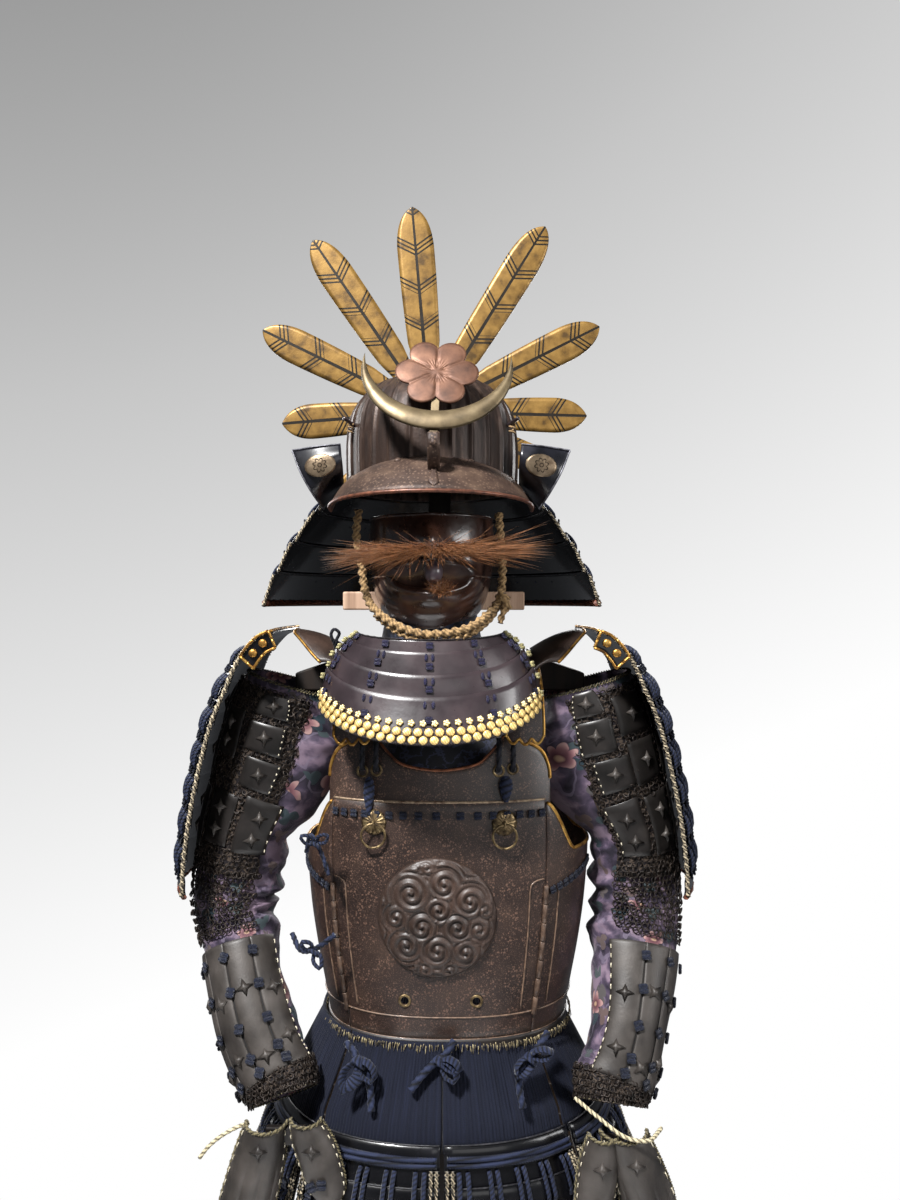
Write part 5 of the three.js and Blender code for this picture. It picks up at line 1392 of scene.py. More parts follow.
for v, half_wide, thick in FOOT:
    spot = visor_point(0.52, v)
    rings.append([
        Vector((CREST_X + half_wide * a, spot.y - thick * b * 0.45, spot.z + thick * b)) for a, b in FOOT_RING
    ])
foot = skinned("crest_holder_iron", rings)
PRONG = [
    # y, z, half width, half depth
    (-166, 1145, 6.8, 3), (-172, 1152, 7, 3), (-182, 1162, 7, 3), (-186, 1172, 7, 3), (-184, 1183, 7, 3),
    (-183, 1184.5, 5.5, 2),
]
PRONG_RING = [(-1, -1), (-0.6, -1.3), (0.6, -1.3), (1, -1), (1, 1), (-1, 1)]
prong = skinned("prong", [[Vector((CREST_X + w * a, y + d * b, z)) for a, b in PRONG_RING] for y, z, w, d in PRONG])
boss = ball((4.2, 2.6, 4.2), (CREST_X, -188.5, 1172))
dress(joined(foot, prong, boss), mottled.material, "russet_iron", "crest_holder")
stem = ease_block((0, 1.4, 52), (9, 2, 132), 0.4, 2)
stem.data.transform(Matrix.Scale(MM, 4) @ crest_plane @ Matrix.Scale(1 / MM, 4))
stem.name = "crest_tongue"
pale_brass = Finish("pale_brass", rough=0.45, metal=0.6)
age = pale_brass.noise(46, 4)
pale_brass.colour(pale_brass.ramp(age, (0.28, "#3d3424"), (0.5, "#655740"), (0.75, "#837458")))
pale_brass.rough(age, 0.56, 0.36).bump(pale_brass.noise(420, 3), 0.12, 0.6)
dress(stem, pale_brass.material, "brass")

# ---------------------------------------------------------------- crescent and blossom
# The front crest is a cast crescent moon of pale brass with a six-petalled copper blossom above it.
MOON_OUT, MOON_IN, MOON_LIFT, MOON_OUT_SWEEP, MOON_IN_SWEEP = 87, 84.5, 24, 103.9, 87.9
rings = []
for i in range(73):
    k = mix(-0.994, 0.994, i / 72)
    a, b = math.radians(MOON_OUT_SWEEP * k), math.radians(MOON_IN_SWEEP * k)
    outer = Vector((MOON_OUT * math.sin(a), 0, MOON_OUT - MOON_OUT * math.cos(a)))
    inner = Vector((MOON_IN * math.sin(b), 0, MOON_OUT + MOON_LIFT - MOON_IN * math.cos(b)))
    wide = (inner - outer).length
    ring = []
    for s in range(11):
        t = s / 10
        ring.append(outer.lerp(inner, t) + Vector((0, -0.9 - min(3.8, wide * 0.22) * math.sin(math.pi * t) ** 0.7, 0)))
    for t in (0.75, 0.5, 0.25):
        ring.append(outer.lerp(inner, t) + Vector((0, -0.3, 0)))
    rings.append([crest_plane @ p for p in ring])
dress(skinned("crescent_moon", rings), pale_brass.material, "brass", "crescent")

BLOSSOM_V, PETALS, PETAL_RING, PETAL_R = 81, 6, 30.5, 17.5


def petal_edge(turn):
    """The blossom's outline: the farthest point of its round petals along a ray."""
    best = PETAL_RING * 0.86
    for k in range(PETALS):
        off = turn - (k + 0.5) * 2 * math.pi / PETALS
        d = PETAL_RING * math.sin(off)
        if abs(d) < PETAL_R and math.cos(off) > 0:
            best = max(best, PETAL_RING * math.cos(off) + math.sqrt(PETAL_R**2 - d * d))
    return best


around, rows = 144, 16
points, faces = [], []
for front in (True, False):
    for j in range(1, rows + 1):
        for i in range(around):
            turn = 2 * math.pi * i / around
            r = petal_edge(turn) * j / rows
            off = (turn / (2 * math.pi) * PETALS) % 1
            aside = min(off, 1 - off) * 2 * math.pi / PETALS * r
            dome = 1.6 * math.sin(math.pi * min(1, j / rows + 0.06)) ** 0.6
            dome -= 0.9 * math.exp(-((aside / 1.6) ** 2)) * (r > 7)
            dome -= 0.8 * math.exp(-(((r - 8) / 0.9) ** 2)) + 0.5 * (abs(math.sin(15 * turn)) > 0.9) * (9 < r < 17)
            y = -2.0 - max(0.0, dome) if front else -0.2
            points.append(crest_plane @ Vector((r * math.sin(turn), y, BLOSSOM_V + r * math.cos(turn))))
size = rows * around
points += [crest_plane @ Vector((0, -3.4, BLOSSOM_V)), crest_plane @ Vector((0, -0.2, BLOSSOM_V))]
for i in range(around):
    k = (i + 1) % around
    faces += [[2 * size, i, k], [2 * size + 1, size + k, size + i]]
    for j in range(rows - 1):
        a, b = j * around + i, j * around + k
        faces += [[a, a + around, b + around, b], [size + a, size + b, size + b + around, size + a + around]]
    a, b = (rows - 1) * around + i, (rows - 1) * around + k
    faces.append([a, size + a, size + b, b])
rosy = Finish("rosy_copper", rough=0.5, metal=0.45)
age = rosy.noise(40, 5)
rosy.colour(rosy.ramp(age, (0.28, "#3a2318"), (0.52, "#60402f"), (0.75, "#7a5641")))
rosy.rough(age, 0.62, 0.45).bump(rosy.noise(500, 3), 0.12, 0.6)
dress(piece("blossom_petals", points, faces), rosy.material, "copper", "blossom")

# ---------------------------------------------------------------- feather crest
# Nine thin wooden feathers, gilt with worn gold leaf and inked with a quill and barbs, fan out from a hub that
# plugs into the back of the bowl.
FAN_X, FAN_Y, FAN_Z, FAN_HUB = -15.7, 122, 1270, 30
# Each feather's angle, length and half width.
FEATHERS = [(-134, 200, 20.5), (-94.6, 213, 25), (-64, 267, 25), (-34.3, 298, 25), (-5, 295, 26.5), (31.9, 313, 25),
            (63.3, 272, 25), (91.5, 225, 25), (115, 200, 20.5)]
leaf = Finish("gold_leaf", rough=0.38, metal=0.45, specular=0.5)
x, v, _ = leaf.split(leaf.uv)
aside = leaf.math("ABSOLUTE", x)
barb = leaf.math("SUBTRACT", v, leaf.math("MULTIPLY", aside, 0.6))
group = leaf.math("FRACT", leaf.math("MULTIPLY", barb, 1 / 0.056))
line = leaf.math("LESS_THAN", leaf.math("FRACT", leaf.math("MULTIPLY", barb, 1 / 0.0064)), 0.42)
inked = leaf.math("MULTIPLY", line, leaf.math("LESS_THAN", group, 0.3))
quill = leaf.math("LESS_THAN", aside, leaf.math("SUBTRACT", 0.003, leaf.math("MULTIPLY", v, 0.005)))
ink = leaf.math("MAXIMUM", inked, quill)
wear = leaf.noise(55, 6)
gold_tone = leaf.ramp(wear, (0.3, "#4a3514"), (0.42, "#705323"), (0.6, "#8d6c35"), (0.8, "#a07e45"))
scuff = leaf.math("MULTIPLY", leaf.math("GREATER_THAN", leaf.noise(120, 5), 0.66), 0.4)
gold_tone = leaf.blend(scuff, gold_tone, "#7a5a2a")
leaf.colour(leaf.blend(ink, gold_tone, "#1a140c"))
leaf.rough(wear, 0.55, 0.3).bump(leaf.math("SUBTRACT", leaf.noise(300, 3), ink), 0.2, 0.6)
points, faces, corners, across = [], [], [], 8
for index, (angle, long, half_wide) in enumerate(FEATHERS):
    wide_at = 0.8 * long
    outline = [(mix(20, 100, t / 8), mix(7, 0.86 * half_wide, t / 8)) for t in range(8)]
    outline += [(mix(100, wide_at, t / 12), half_wide * (1 - 0.14 * (1 - t / 12) ** 2)) for t in range(12)]
    for t in [k / 14 for k in range(15)]:
        z = (1 - t) ** 2 * wide_at + 2 * t * (1 - t) * (long - 12) + t * t * long
        outline.append((z, (1 - t) ** 2 * half_wide + 2 * t * (1 - t) * 0.95 * half_wide + 0.4 * t * t))
    turn = math.radians(angle)
    wide_way, long_way = Vector((math.cos(turn), 0, -math.sin(turn))), Vector((math.sin(turn), 0, math.cos(turn)))
    lay = (index % 2) * 0.5 - 0.25
    for back in (0, 1):
        start = len(points)
        for z, reach in outline:
            for i in range(across + 1):
                x = reach * (2 * i / across - 1)
                y = (1.0 if back else -1.1 - 0.7 * (1 - (x / (reach + 0.1)) ** 2)) * 0.8 + lay
                points.append(Vector((FAN_X, FAN_Y + y, FAN_Z)) + wide_way * x + long_way * z)
        mark = [(reach * (2 * i / across - 1) * MM, z * MM) for z, reach in outline for i in range(across + 1)]
        for j in range(len(outline) - 1):
            for i in range(across):
                corner = j * (across + 1) + i
                ring = [corner, corner + 1, corner + across + 2, corner + across + 1]
                ring = ring[::-1] if back else ring
                faces.append([start + n for n in ring])
                corners += [mark[n] for n in ring]
    size = len(outline) * (across + 1)
    base = start - size
    border = [j * (across + 1) for j in range(len(outline))][::-1] + list(range(1, across + 1))
    border += [j * (across + 1) + across for j in range(1, len(outline))]
    border += [(len(outline) - 1) * (across + 1) + i for i in range(across - 1, 0, -1)]
    for a, b in zip(border, border[1:] + border[:1]):
        faces.append([base + b, base + a, start + a, start + b])
        corners += [mark[b], mark[a], mark[a], mark[b]]
fan = piece("feather_crest_blades", points, faces, corners)
dress(fan, leaf.material, "gold_leaf", "feather_crest")
hub = rod((FAN_HUB, FAN_HUB, 6.4), (FAN_X, FAN_Y, FAN_Z), (math.pi / 2, 0, 0), 48)
ease(hub, 1.2, 2)
plug = ease_block((FAN_X, FAN_Y - 8, FAN_Z - 18), (14, 22, 16), 1)
dress(joined(hub, plug), mottled.material, "russet_iron")

# ---------------------------------------------------------------- neck guard
# Four black lacquered lames flare from the bowl to the shoulders, laced with navy braid, and stay glossy inside.
# Their side edges carry a beaded cord; the lowest has a black braid and a red leather band along its rim.
NECK = [
    # height, half width, depth behind, angle at which the opening ends
    (992, 214, 232, 80),
    (1034, 196, 214, 77),
    (1073, 175, 194, 74),
    (1112, 147, 167, 71),
    (1150, 114, 136, 67),
]
NECK_LAP, NECK_KNOTS = 8, 21
# Each lace's height from the lame's upper edge, and how far out it stands.
NECK_LACE = [(4, 3.2), (-2, 6.4), (-12, 6.2), (-17, 3.6)]


def neck_point(angle, z, out=0.0):
    turn = math.radians(angle)
    wide, deep = read(NECK, 1, z) + out, read(NECK, 2, z) + out
    return Vector((HEAD_X + wide * math.sin(turn), -deep * math.cos(turn), z))


def neck_surface(lower, upper):
    def surface(u, v):
        z = mix(upper, lower, v)
        open_at = read(NECK, 3, z)
        return neck_point(mix(open_at, 360 - open_at, u), z, mix(4.4, 0.5, v))
    return surface


black = Finish("black_lacquer", rough=0.22, coat=0.4, coat_rough=0.12, specular=0.4)
haze = black.noise(22, 5)
black.colour(black.ramp(haze, (0.3, "#050507"), (0.6, "#0b0b0e"), (0.8, "#141419")))
black.rough(haze, 0.16, 0.34).bump(black.noise(60, 3), 0.35, 0.5)
worn_black = plain("worn_black_edge", 200, 3, (0.4, "#121216"), (0.7, "#3d3c40"), rough=0.42, specular=0.4)
red_leather = Finish("red_leather", rough=0.6)
grain = red_leather.noise(180, 4)
red_leather.colour(red_leather.ramp(grain, (0.3, "#381a10"), (0.7, "#7a4128")))
red_leather.bump(grain, 0.4)
near_black_braid = braid("black_braid", "#07070a", "#2e2d34")
beaded_cord = braid("beaded_cord", "#231e1c", "#b0a288", 2.0)

for number in range(4, 0, -1):
    lower, upper = NECK[number - 1][0], NECK[4][0] - 3 if number == 4 else NECK[number][0] + NECK_LAP
    surface = neck_surface(lower, upper)
    name = f"neck_lame_{5 - number}"
    lame = sheet_over(f"{name}_plate", surface, 90, 6, 2, (900, 46))
    dress(lame, black.material, "black_lacquer", name)
    foot = [surface(i / 90, 1) + Vector((0, 0, 0.5)) for i in range(91)]
    dress(cords(f"{name}_edge", [foot], 1.3, step=7, sides=5), worn_black.material, "black_lacquer")
    if number < 4:
        lacing, knots = [], []
        for k in range(NECK_KNOTS):
            angle = mix(NECK[number][3] + 8, 352 - NECK[number][3], k / (NECK_KNOTS - 1))
            spots = [neck_point(angle, upper + dz, out) for dz, out in NECK_LACE]
            aside = Vector((-math.cos(math.radians(angle)), math.sin(math.radians(angle)), 0)) * 2.2
            lacing += [[p - aside for p in spots], [p + aside for p in spots]]
            knots.append(seat(neck_point(angle, upper - 22, 4.2), neck_point(angle, 0, 9) - neck_point(angle, 0, 0)))
        dress(cords(f"{name}_laces", lacing, 1.9, step=6, sides=5), navy_braid, "silk_braid")
        dress(copies(f"{name}_knots", woven_knot(8, 2.6), knots), navy_braid, "silk_braid")

sides = []
for end in (0, 1):
    for z0, z1 in zip([row[0] for row in NECK], [row[0] for row in NECK[1:]]):
        surface = neck_surface(z0, z1)
        sides.append([surface(end, v) + Vector((0, -1.5, 0)) for v in (1, 0.75, 0.5, 0.25, 0.05)])
dress(cords("neck_guard_side_cord", sides, 2.2, step=3, lobes=2, pitch=7, sides=6), beaded_cord, "silk_braid")
bottom = neck_surface(NECK[0][0], NECK[1][0] + NECK_LAP)
run = [bottom(i / 150, 0.985) for i in range(151)]
inward = [(p - Vector((HEAD_X, 0, p.z))).normalized() for p in run]
above = [p - n * 3.0 + Vector((0, 0, 12)) for p, n in zip(run, inward)]
along_rim = [p - n * 2.6 + Vector((0, 0, 3.6)) for p, n in zip(run, inward)]
rim_braid = cords("neck_guard_braid", [above], 2.4, step=5, lobes=3, pitch=8, sides=6)
dress(rim_braid, near_black_braid, "silk_braid")
band = cords("neck_guard_band", [along_rim], 4.8, step=4.5, lobes=2, pitch=7, sides=6, depth=0.12)
dress(band, red_leather.material, "leather")
inside = []
for number in range(1, 4):
    z = NECK[number][0] + 2
    inside.append([neck_point(mix(NECK[number][3] + 4, 356 - NECK[number][3], k / 60), z, -2.4) for k in range(61)])
dress(cords("neck_guard_inner_lines", inside, 1.1, step=9, sides=5), worn_black.material, "black_lacquer")

# ---------------------------------------------------------------- turn-backs
# The top lame's two ends fold outward beside the brow. Each is blue-black lacquer with a pale worn rim and a
# bronze disc cut with a plain rosette.
TURNBACK = [
    # v, upper edge, lower edge
    (0, (108, -57, 1143), (133, -57, 1112)),
    (0.4, (106, -86, 1160), (144, -84, 1130)),
    (0.7, (107, -92, 1174), (157, -88, 1154)),
    (1, (109, -84, 1188), (169, -74, 1182)),
]


def turnback_surface(side):
    columns = [(row[0], *row[1], *row[2]) for row in TURNBACK]

    def surface(u, v):
        high = Vector([read(columns, k, v) for k in (1, 2, 3)])
        low = Vector([read(columns, k, v) for k in (4, 5, 6)])
        p = high.lerp(low, u)
        return Vector((HEAD_X + side * p.x, p.y - 5 * math.sin(math.pi * u) * v, p.z))
    return surface


blue_black = Finish("blue_black_lacquer", rough=0.24, coat=0.5, coat_rough=0.15)
haze = blue_black.noise(30, 5)
blue_black.colour(blue_black.ramp(haze, (0.3, "#08080c"), (0.55, "#14141b"), (0.8, "#25252e")))
blue_black.rough(haze, 0.2, 0.4).bump(blue_black.noise(90, 3), 0.3, 0.5)
pale_rim = plain("pale_rim", 150, 3, (0.35, "#34343a"), (0.7, "#7d7c84"), rough=0.4, metal=0.2)
rims, discs = [], []
for side, name in ((1, "left"), (-1, "right")):
    surface = turnback_surface(side)
    plate = sheet_over(f"turnback_{name}_plate", surface, 16, 24, 2, (60, 60), pivot=(HEAD_X, 60, 1150))
    dress(plate, blue_black.material, "black_lacquer", f"turnback_{name}")
    edge = [surface(u / 10, 1) for u in range(11)] + [surface(1, 1 - v / 20) for v in range(1, 21)]
    rims.append([p + Vector((0, -0.6, 0)) for p in edge])
    middle = surface(0.52, 0.66)
    across, down = surface(0.62, 0.66) - surface(0.42, 0.66), surface(0.52, 0.56) - surface(0.52, 0.76)
    out = across.cross(down).normalized()
    out = -out if out.y > 0 else out
    discs.append(seat(middle + out * 0.4, out, up=(side * 0.2, 0, 1)))
dress(cords("turnback_rims", rims, 1.1, step=2, sides=6), pale_rim.material, "black_lacquer")
bronze = Finish("engraved_bronze", rough=0.4, metal=0.75)
x, y, _ = bronze.split(bronze.uv)
reach = bronze.math("SQRT", bronze.math("ADD", bronze.math("MULTIPLY", x, x), bronze.math("MULTIPLY", y, y)))
petal = bronze.math("ABSOLUTE", bronze.math("SINE", bronze.math("MULTIPLY", bronze.math("ARCTAN2", y, x), 4)))
edge_of = bronze.math("ADD", 0.0052, bronze.math("MULTIPLY", petal, 0.0032))
cut = bronze.math("LESS_THAN", bronze.math("ABSOLUTE", bronze.math("SUBTRACT", reach, edge_of)), 0.0007)
core_cut = bronze.math("LESS_THAN", bronze.math("ABSOLUTE", bronze.math("SUBTRACT", reach, 0.0022)), 0.0005)
cuts = bronze.math("MAXIMUM", cut, core_cut)
bronze.colour(bronze.blend(cuts, bronze.ramp(bronze.noise(90, 4), (0.3, "#5c4c3c"), (0.7, "#a28f76")), "#2b211a"))
bronze.bump(bronze.math("SUBTRACT", bronze.noise(500, 3), cuts), 0.3, 0.8)
DISC_WIDE, DISC_TALL, DISC_DOME, DISC_RINGS, DISC_AROUND = 19, 13.5, 3.6, 7, 48
points, faces = [Vector((0, 0, DISC_DOME))], []
for ring in range(1, DISC_RINGS + 2):
    k = min(ring / DISC_RINGS, 1)
    z = DISC_DOME * math.cos(k * 1.2) if ring <= DISC_RINGS else -0.6
    for t in [2 * math.pi * i / DISC_AROUND for i in range(DISC_AROUND)]:
        points.append(Vector((DISC_WIDE * k * math.cos(t), DISC_TALL * k * math.sin(t), z)))
for i in range(DISC_AROUND):
    faces.append([0, 1 + i, 1 + (i + 1) % DISC_AROUND])
    for ring in range(DISC_RINGS):
        a, b = 1 + ring * DISC_AROUND + i, 1 + ring * DISC_AROUND + (i + 1) % DISC_AROUND
        faces.append([a, a + DISC_AROUND, b + DISC_AROUND, b])
faces.append([1 + DISC_RINGS * DISC_AROUND + i for i in reversed(range(DISC_AROUND))])
corners = [(points[n].x * MM, points[n].y * MM) for face in faces for n in face]
dress(copies("turnback_discs", piece("disc", points, faces, corners), discs), bronze.material, "brass")

# ---------------------------------------------------------------- shoulder guards
# A crown plate and seven black lames hang outside each upper arm, stepped one over the next and drawn together by
# thick navy laces. A beaded braid runs down both long edges and red leather shows along the lowest rim.
GUARD = [
    # step, distance out, height
    (0, 197, 963),
    (1, 220, 952),
    (2, 246, 930),
    (3, 272, 891),
    (4, 289, 850),
    (5, 300, 809),
    (6, 309, 768),
    (7, 316, 727),
    (8, 321, 686),
    (9, 323, 646),
]
GUARD_HALF, GUARD_BULGE, GUARD_X, GUARD_OUT, GUARD_STEP = 96, 26, -5, 4, 3.2
# Each lace's step from the lame's edge, and how far out it stands; then the studs, and the front end plate's rim.
GUARD_LACE = [(-0.42, 1.2), (-0.3, 3.6), (-0.1, 6.4), (0.16, 6.0), (0.3, 3.2)]
GUARD_STUDS = [(0.5, -0.72), (1.45, -0.72), (0.5, 0.72), (1.45, 0.72), (0.9, -0.2), (0.9, 0.2)]
END_RIM = [(0.15, 2), (1.05, 2), (1.95, 2), (1.95, -9), (1.95, -20), (1.05, -20), (0.15, -20), (0.15, -9), (0.15, 2)]


def guard_point(side, s, w, out=0.0):
    """The shoulder guard: s down it, w from -1 in front to 1 behind, moved out."""
    high, low = max(s - 0.1, 0), min(s + 0.1, 9)
    dx, dz = (read(GUARD, column, low) - read(GUARD, column, high) for column in (1, 2))
    length = math.hypot(dx, dz)
    drawn_in = GUARD_BULGE * w * w * clamp(s / 3, 0.25, 1)
    x = read(GUARD, 1, s) - drawn_in - out * dz / length + GUARD_OUT
    return Vector((GUARD_X + side * x, GUARD_HALF * w, read(GUARD, 2, s) + out * dx / length))


laces_out, knots_out, crowns, braids, rims, studs, tips, ends = [], [], [], [], [], [], [], []
for side, name in ((1, "left"), (-1, "right")):
    pivot = (side * 120, 0, 800)
    parts = [sheet_over(
        f"shoulder_crown_{name}", lambda u, v: guard_point(side, 2 * v, 2 * u - 1), 36, 12, 4.2, (190, 60),
        pivot=pivot, edge=0.8,
    )]
    for s in range(2, 9):

        def lame_surface(u, v):
            ribbed = GUARD_STEP * (1 - v) + 0.9 * math.sin(3 * math.pi * v) ** 2
            return guard_point(side, s - 0.12 + 1.12 * v, 2 * u - 1, ribbed)

        lame_name = f"shoulder_lame_{name}_{s}"
        parts.append(sheet_over(lame_name, lame_surface, 36, 8, 4, (190, 46), pivot=pivot, edge=0.6))
        rims.append([guard_point(side, s - 0.1, w / 20 - 1, GUARD_STEP + 0.6) for w in range(41)])
        for k in range(11):
            w = mix(-0.9, 0.9, k / 10)
            laces_out += [[guard_point(side, s + t, w + dw, out) for t, out in GUARD_LACE] for dw in (-0.02, 0.02)]
            knots_out.append(proud(guard_point, side, s + 0.44, w, lift=2.4))
    dress(joined(*parts), black.material, "black_lacquer", f"shoulder_guard_{name}")
    for w in (-1, 1):
        braids.append([guard_point(side, s / 4, w, 1.2) + Vector((0, 0.6 * w, 0)) for s in range(1, 37)])
    crowns.append([guard_point(side, 0.02, w / 12, 0.6) for w in range(-12, 13)])
    crowns += [[guard_point(side, s / 6, w, 0.9) for s in range(12)] for w in (-1, 1)]
    studs += [proud(guard_point, side, s, w, lift=0.4) for s, w in GUARD_STUDS]
    ends.append(sheet_over(
        f"shoulder_end_{name}", lambda u, v: guard_point(side, mix(0.15, 1.95, v), -1.012, mix(2, -20, u)),
        6, 16, 2, (22, 60), pivot=(side * 220, 0, 945), edge=0.5,
    ))
    for (s, out), (t, to) in zip(END_RIM, END_RIM[1:]):
        crowns.append([guard_point(side, mix(s, t, k), -1.03, mix(out, to, k)) for k in (0, 0.5, 1)])
    studs += [seat(guard_point(side, s, -1.03, -9) + Vector((0, -0.6, 0)), (0, -1, 0)) for s in (0.65, 1.45)]
    tips.append([guard_point(side, 9, w / 16, -1.6) + Vector((0, 0, -1)) for w in range(-16, 17)])
dress(joined(*ends), black.material, "black_lacquer")
dress(cords("shoulder_lame_edges", rims, 1.1, step=9, sides=5), worn_black.material, "black_lacquer")
dress(cords("shoulder_laces", laces_out, 2.4, step=8, sides=5, flat=0.8), navy_braid, "silk_braid")
dress(copies("shoulder_knots", woven_knot(9, 3), knots_out), navy_braid, "silk_braid")
edge_braid = cords("shoulder_edge_braid", braids, 2.8, step=3, lobes=2, pitch=8, sides=6, depth=0.3)
dress(edge_braid, beaded_cord, "silk_braid")
dress(cords("shoulder_crown_rims", crowns, 1.8, step=4, sides=8), gilt.material, "brass")
low_rims = cords("shoulder_tips", tips, 3.2, step=4, lobes=2, pitch=9, sides=8, depth=0.15)
dress(low_rims, red_leather.material, "leather")
dress(copies("shoulder_studs", ball((5.2, 5.2, 2.6), around=20, rows=10), studs), gilt.material, "brass")

# ---------------------------------------------------------------- sleeves
# Each arm is a sleeve of mauve silk brocade, wrinkled into rings at the elbow, open at both ends. Pink blossoms,
# teal leaves and pale vines are woven in. A pale braid binds the cuff and the upper edge.
ARMS = {
    1: [
        # section, x, y, z, half width, half depth
        (0, 188, 5, 893, 60, 64), (1, 200, 4, 852, 68, 66), (2, 211, 2, 805, 69, 63), (3, 229, 0, 750, 63, 58),
        (4, 248, -2, 700, 51, 54), (5, 250, -4, 655, 55, 53), (6, 251, -9, 612, 55, 53), (7, 246, -22, 572, 55, 51),
        (8, 239, -48, 531, 49, 46), (9, 228, -75, 488, 42, 42), (10, 213, -95, 448, 43, 38),
        (11, 203, -108, 429, 43, 35), (12, 200, -116, 414, 39, 31),
    ],
    -1: [
        (0, -190, 5, 893, 60, 64), (1, -202, 4, 852, 68, 66), (2, -214, 2, 805, 69, 63), (3, -234, 0, 750, 62, 58),
        (4, -251, -2, 700, 55, 54), (5, -257, -4, 655, 56, 52), (6, -263, -9, 615, 52, 51),
        (7, -254, -22, 575, 47, 48), (8, -240, -48, 533, 44, 44), (9, -221, -75, 488, 44, 42),
        (10, -200, -95, 451, 43, 38), (11, -187, -108, 434, 42, 35), (12, -181, -116, 421, 38, 31),
    ],
}
LAST = 12


def arm_point(side, s, angle, out=0.0):
    """The arm's surface at section s and an angle from its front, positive to +X, moved out."""
    rows = ARMS[side]
    s = clamp(s, 0, LAST)

    def place(t):
        return Vector([read(rows, column, t) for column in (1, 2, 3)])

    along_arm = (place(min(s + 0.5, LAST)) - place(max(s - 0.5, 0))).normalized()
    outward = (Vector((1, 0, 0)) - along_arm * along_arm.x).normalized()
    forward = outward.cross(along_arm).normalized()
    if forward.y > 0:
        forward = -forward
    turn = math.radians(angle)
    wide, deep = read(rows, 4, s) + out, read(rows, 5, s) + out
    return place(s) + outward * wide * math.sin(turn) + forward * deep * math.cos(turn)


# Main creases: section, angle toward the body from the front, how long, how wide across and how deep. The first
# is no crease but the cloth's fullness toward the armhole.
CREASES = {
    1: [(1.9, 90, 62, 1.25, 24), (0.8, 60, 50, 0.2, 3.2), (1.7, 78, 70, 0.28, -3.6), (2.6, 70, 60, 0.22, 3.0),
        (3.5, 88, 80, 0.3, -4.2),
        (4.3, 76, 70, 0.2, 3.6), (4.9, 92, 90, 0.16, -5.4), (5.25, 80, 85, 0.14, 4.4), (5.65, 96, 100, 0.15, -5.8),
        (6.05, 84, 95, 0.14, 4.6), (6.45, 70, 90, 0.15, -5.0), (6.9, 88, 80, 0.16, 4.2), (7.5, 100, 60, 0.2, -3.6),
        (8.6, 110, 50, 0.35, 2.8), (9.8, 100, 50, 0.3, -2.6), (11.3, 60, 60, 0.2, 2.2), (2.2, 200, 60, 0.4, -2.4),
        (4.4, 210, 70, 0.3, 2.4), (6.2, 190, 80, 0.25, -2.6)],
    -1: [(1.9, 88, 62, 1.25, 24), (0.7, 70, 60, 0.24, -3.4), (1.4, 60, 55, 0.2, 3.4), (2.2, 84, 70, 0.3, -3.8),
         (3.1, 74, 66, 0.24, 3.6),
         (3.9, 90, 84, 0.24, -4.6), (4.5, 80, 74, 0.16, 4.0), (4.95, 70, 90, 0.16, -5.2), (5.4, 94, 96, 0.15, 5.0),
         (5.8, 82, 100, 0.14, -5.6), (6.2, 92, 90, 0.15, 4.4), (6.6, 76, 84, 0.15, -4.6), (7.1, 96, 70, 0.18, 3.8),
         (8.0, 90, 60, 0.3, -3.0), (9.1, 110, 50, 0.3, 2.6), (10.6, 96, 50, 0.3, -2.4), (3.0, 205, 60, 0.4, 2.6),
         (5.0, 195, 80, 0.25, -2.8), (6.6, 200, 70, 0.25, 2.2)],
}


def crease(side, s, angle):
    """Uneven soft folds, laid where the cloth is free of the mail and plates."""
    deep = 0.0
    for at, middle, half, wide, rise in CREASES[side]:
        away = (-side * angle - middle + 180) % 360 - 180
        slope = 0.25 * math.sin(middle) * away / 60
        deep += rise * math.exp(-(((s - at - slope) / wide) ** 2)) * math.exp(-((away / half) ** 2))
    small = math.sin(9.1 * s + 0.05 * angle) * math.sin(0.071 * angle + 2.3 * s) * 0.9
    covered = clamp((side * angle + 46) / 22) * clamp((164 - side * angle) / 22) if -180 < side * angle < 180 else 0
    return (deep + small) * (1 - 0.75 * covered)


def sleeve_surface(side):
    def surface(u, v):
        angle = 360 * u - 180
        return arm_point(side, v * LAST, angle, crease(side, v * LAST, angle))
    return surface


brocade = Finish("mauve_brocade", rough=0.6, sheen=0.12, specular=0.35)
warp = brocade.tree.nodes.new("ShaderNodeMixRGB")
warp.blend_type, warp.inputs[0].default_value = "LINEAR_LIGHT", 0.012
brocade.join(brocade.uv, warp.inputs[1])
wander = brocade.tree.nodes.new("ShaderNodeTexNoise")
wander.inputs["Scale"].default_value = 26
brocade.join(brocade.uv, wander.inputs["Vector"])
brocade.join(wander.outputs["Color"], warp.inputs[2])
bent = warp.outputs[0]


def heads(scale, offset):
    """Cells of one flower each: the offset from the cell's middle, and the cell's own chance value."""
    node = brocade.tree.nodes.new("ShaderNodeTexVoronoi")
    node.inputs["Scale"].default_value = scale
    node.inputs["Randomness"].default_value = 0.75
    moved = brocade.tree.nodes.new("ShaderNodeVectorMath")
    moved.operation = "ADD"
    moved.inputs[1].default_value = (offset, offset * 0.7, 0)
    brocade.join(bent, moved.inputs[0])
    brocade.join(moved.outputs[0], node.inputs["Vector"])
    gap = brocade.tree.nodes.new("ShaderNodeVectorMath")
    gap.operation = "SUBTRACT"
    brocade.join(moved.outputs[0], gap.inputs[0])
    brocade.join(node.outputs["Position"], gap.inputs[1])
    x, y, _ = brocade.split(gap.outputs[0])
    chance, _, _ = brocade.split(node.outputs["Color"])
    return x, y, chance


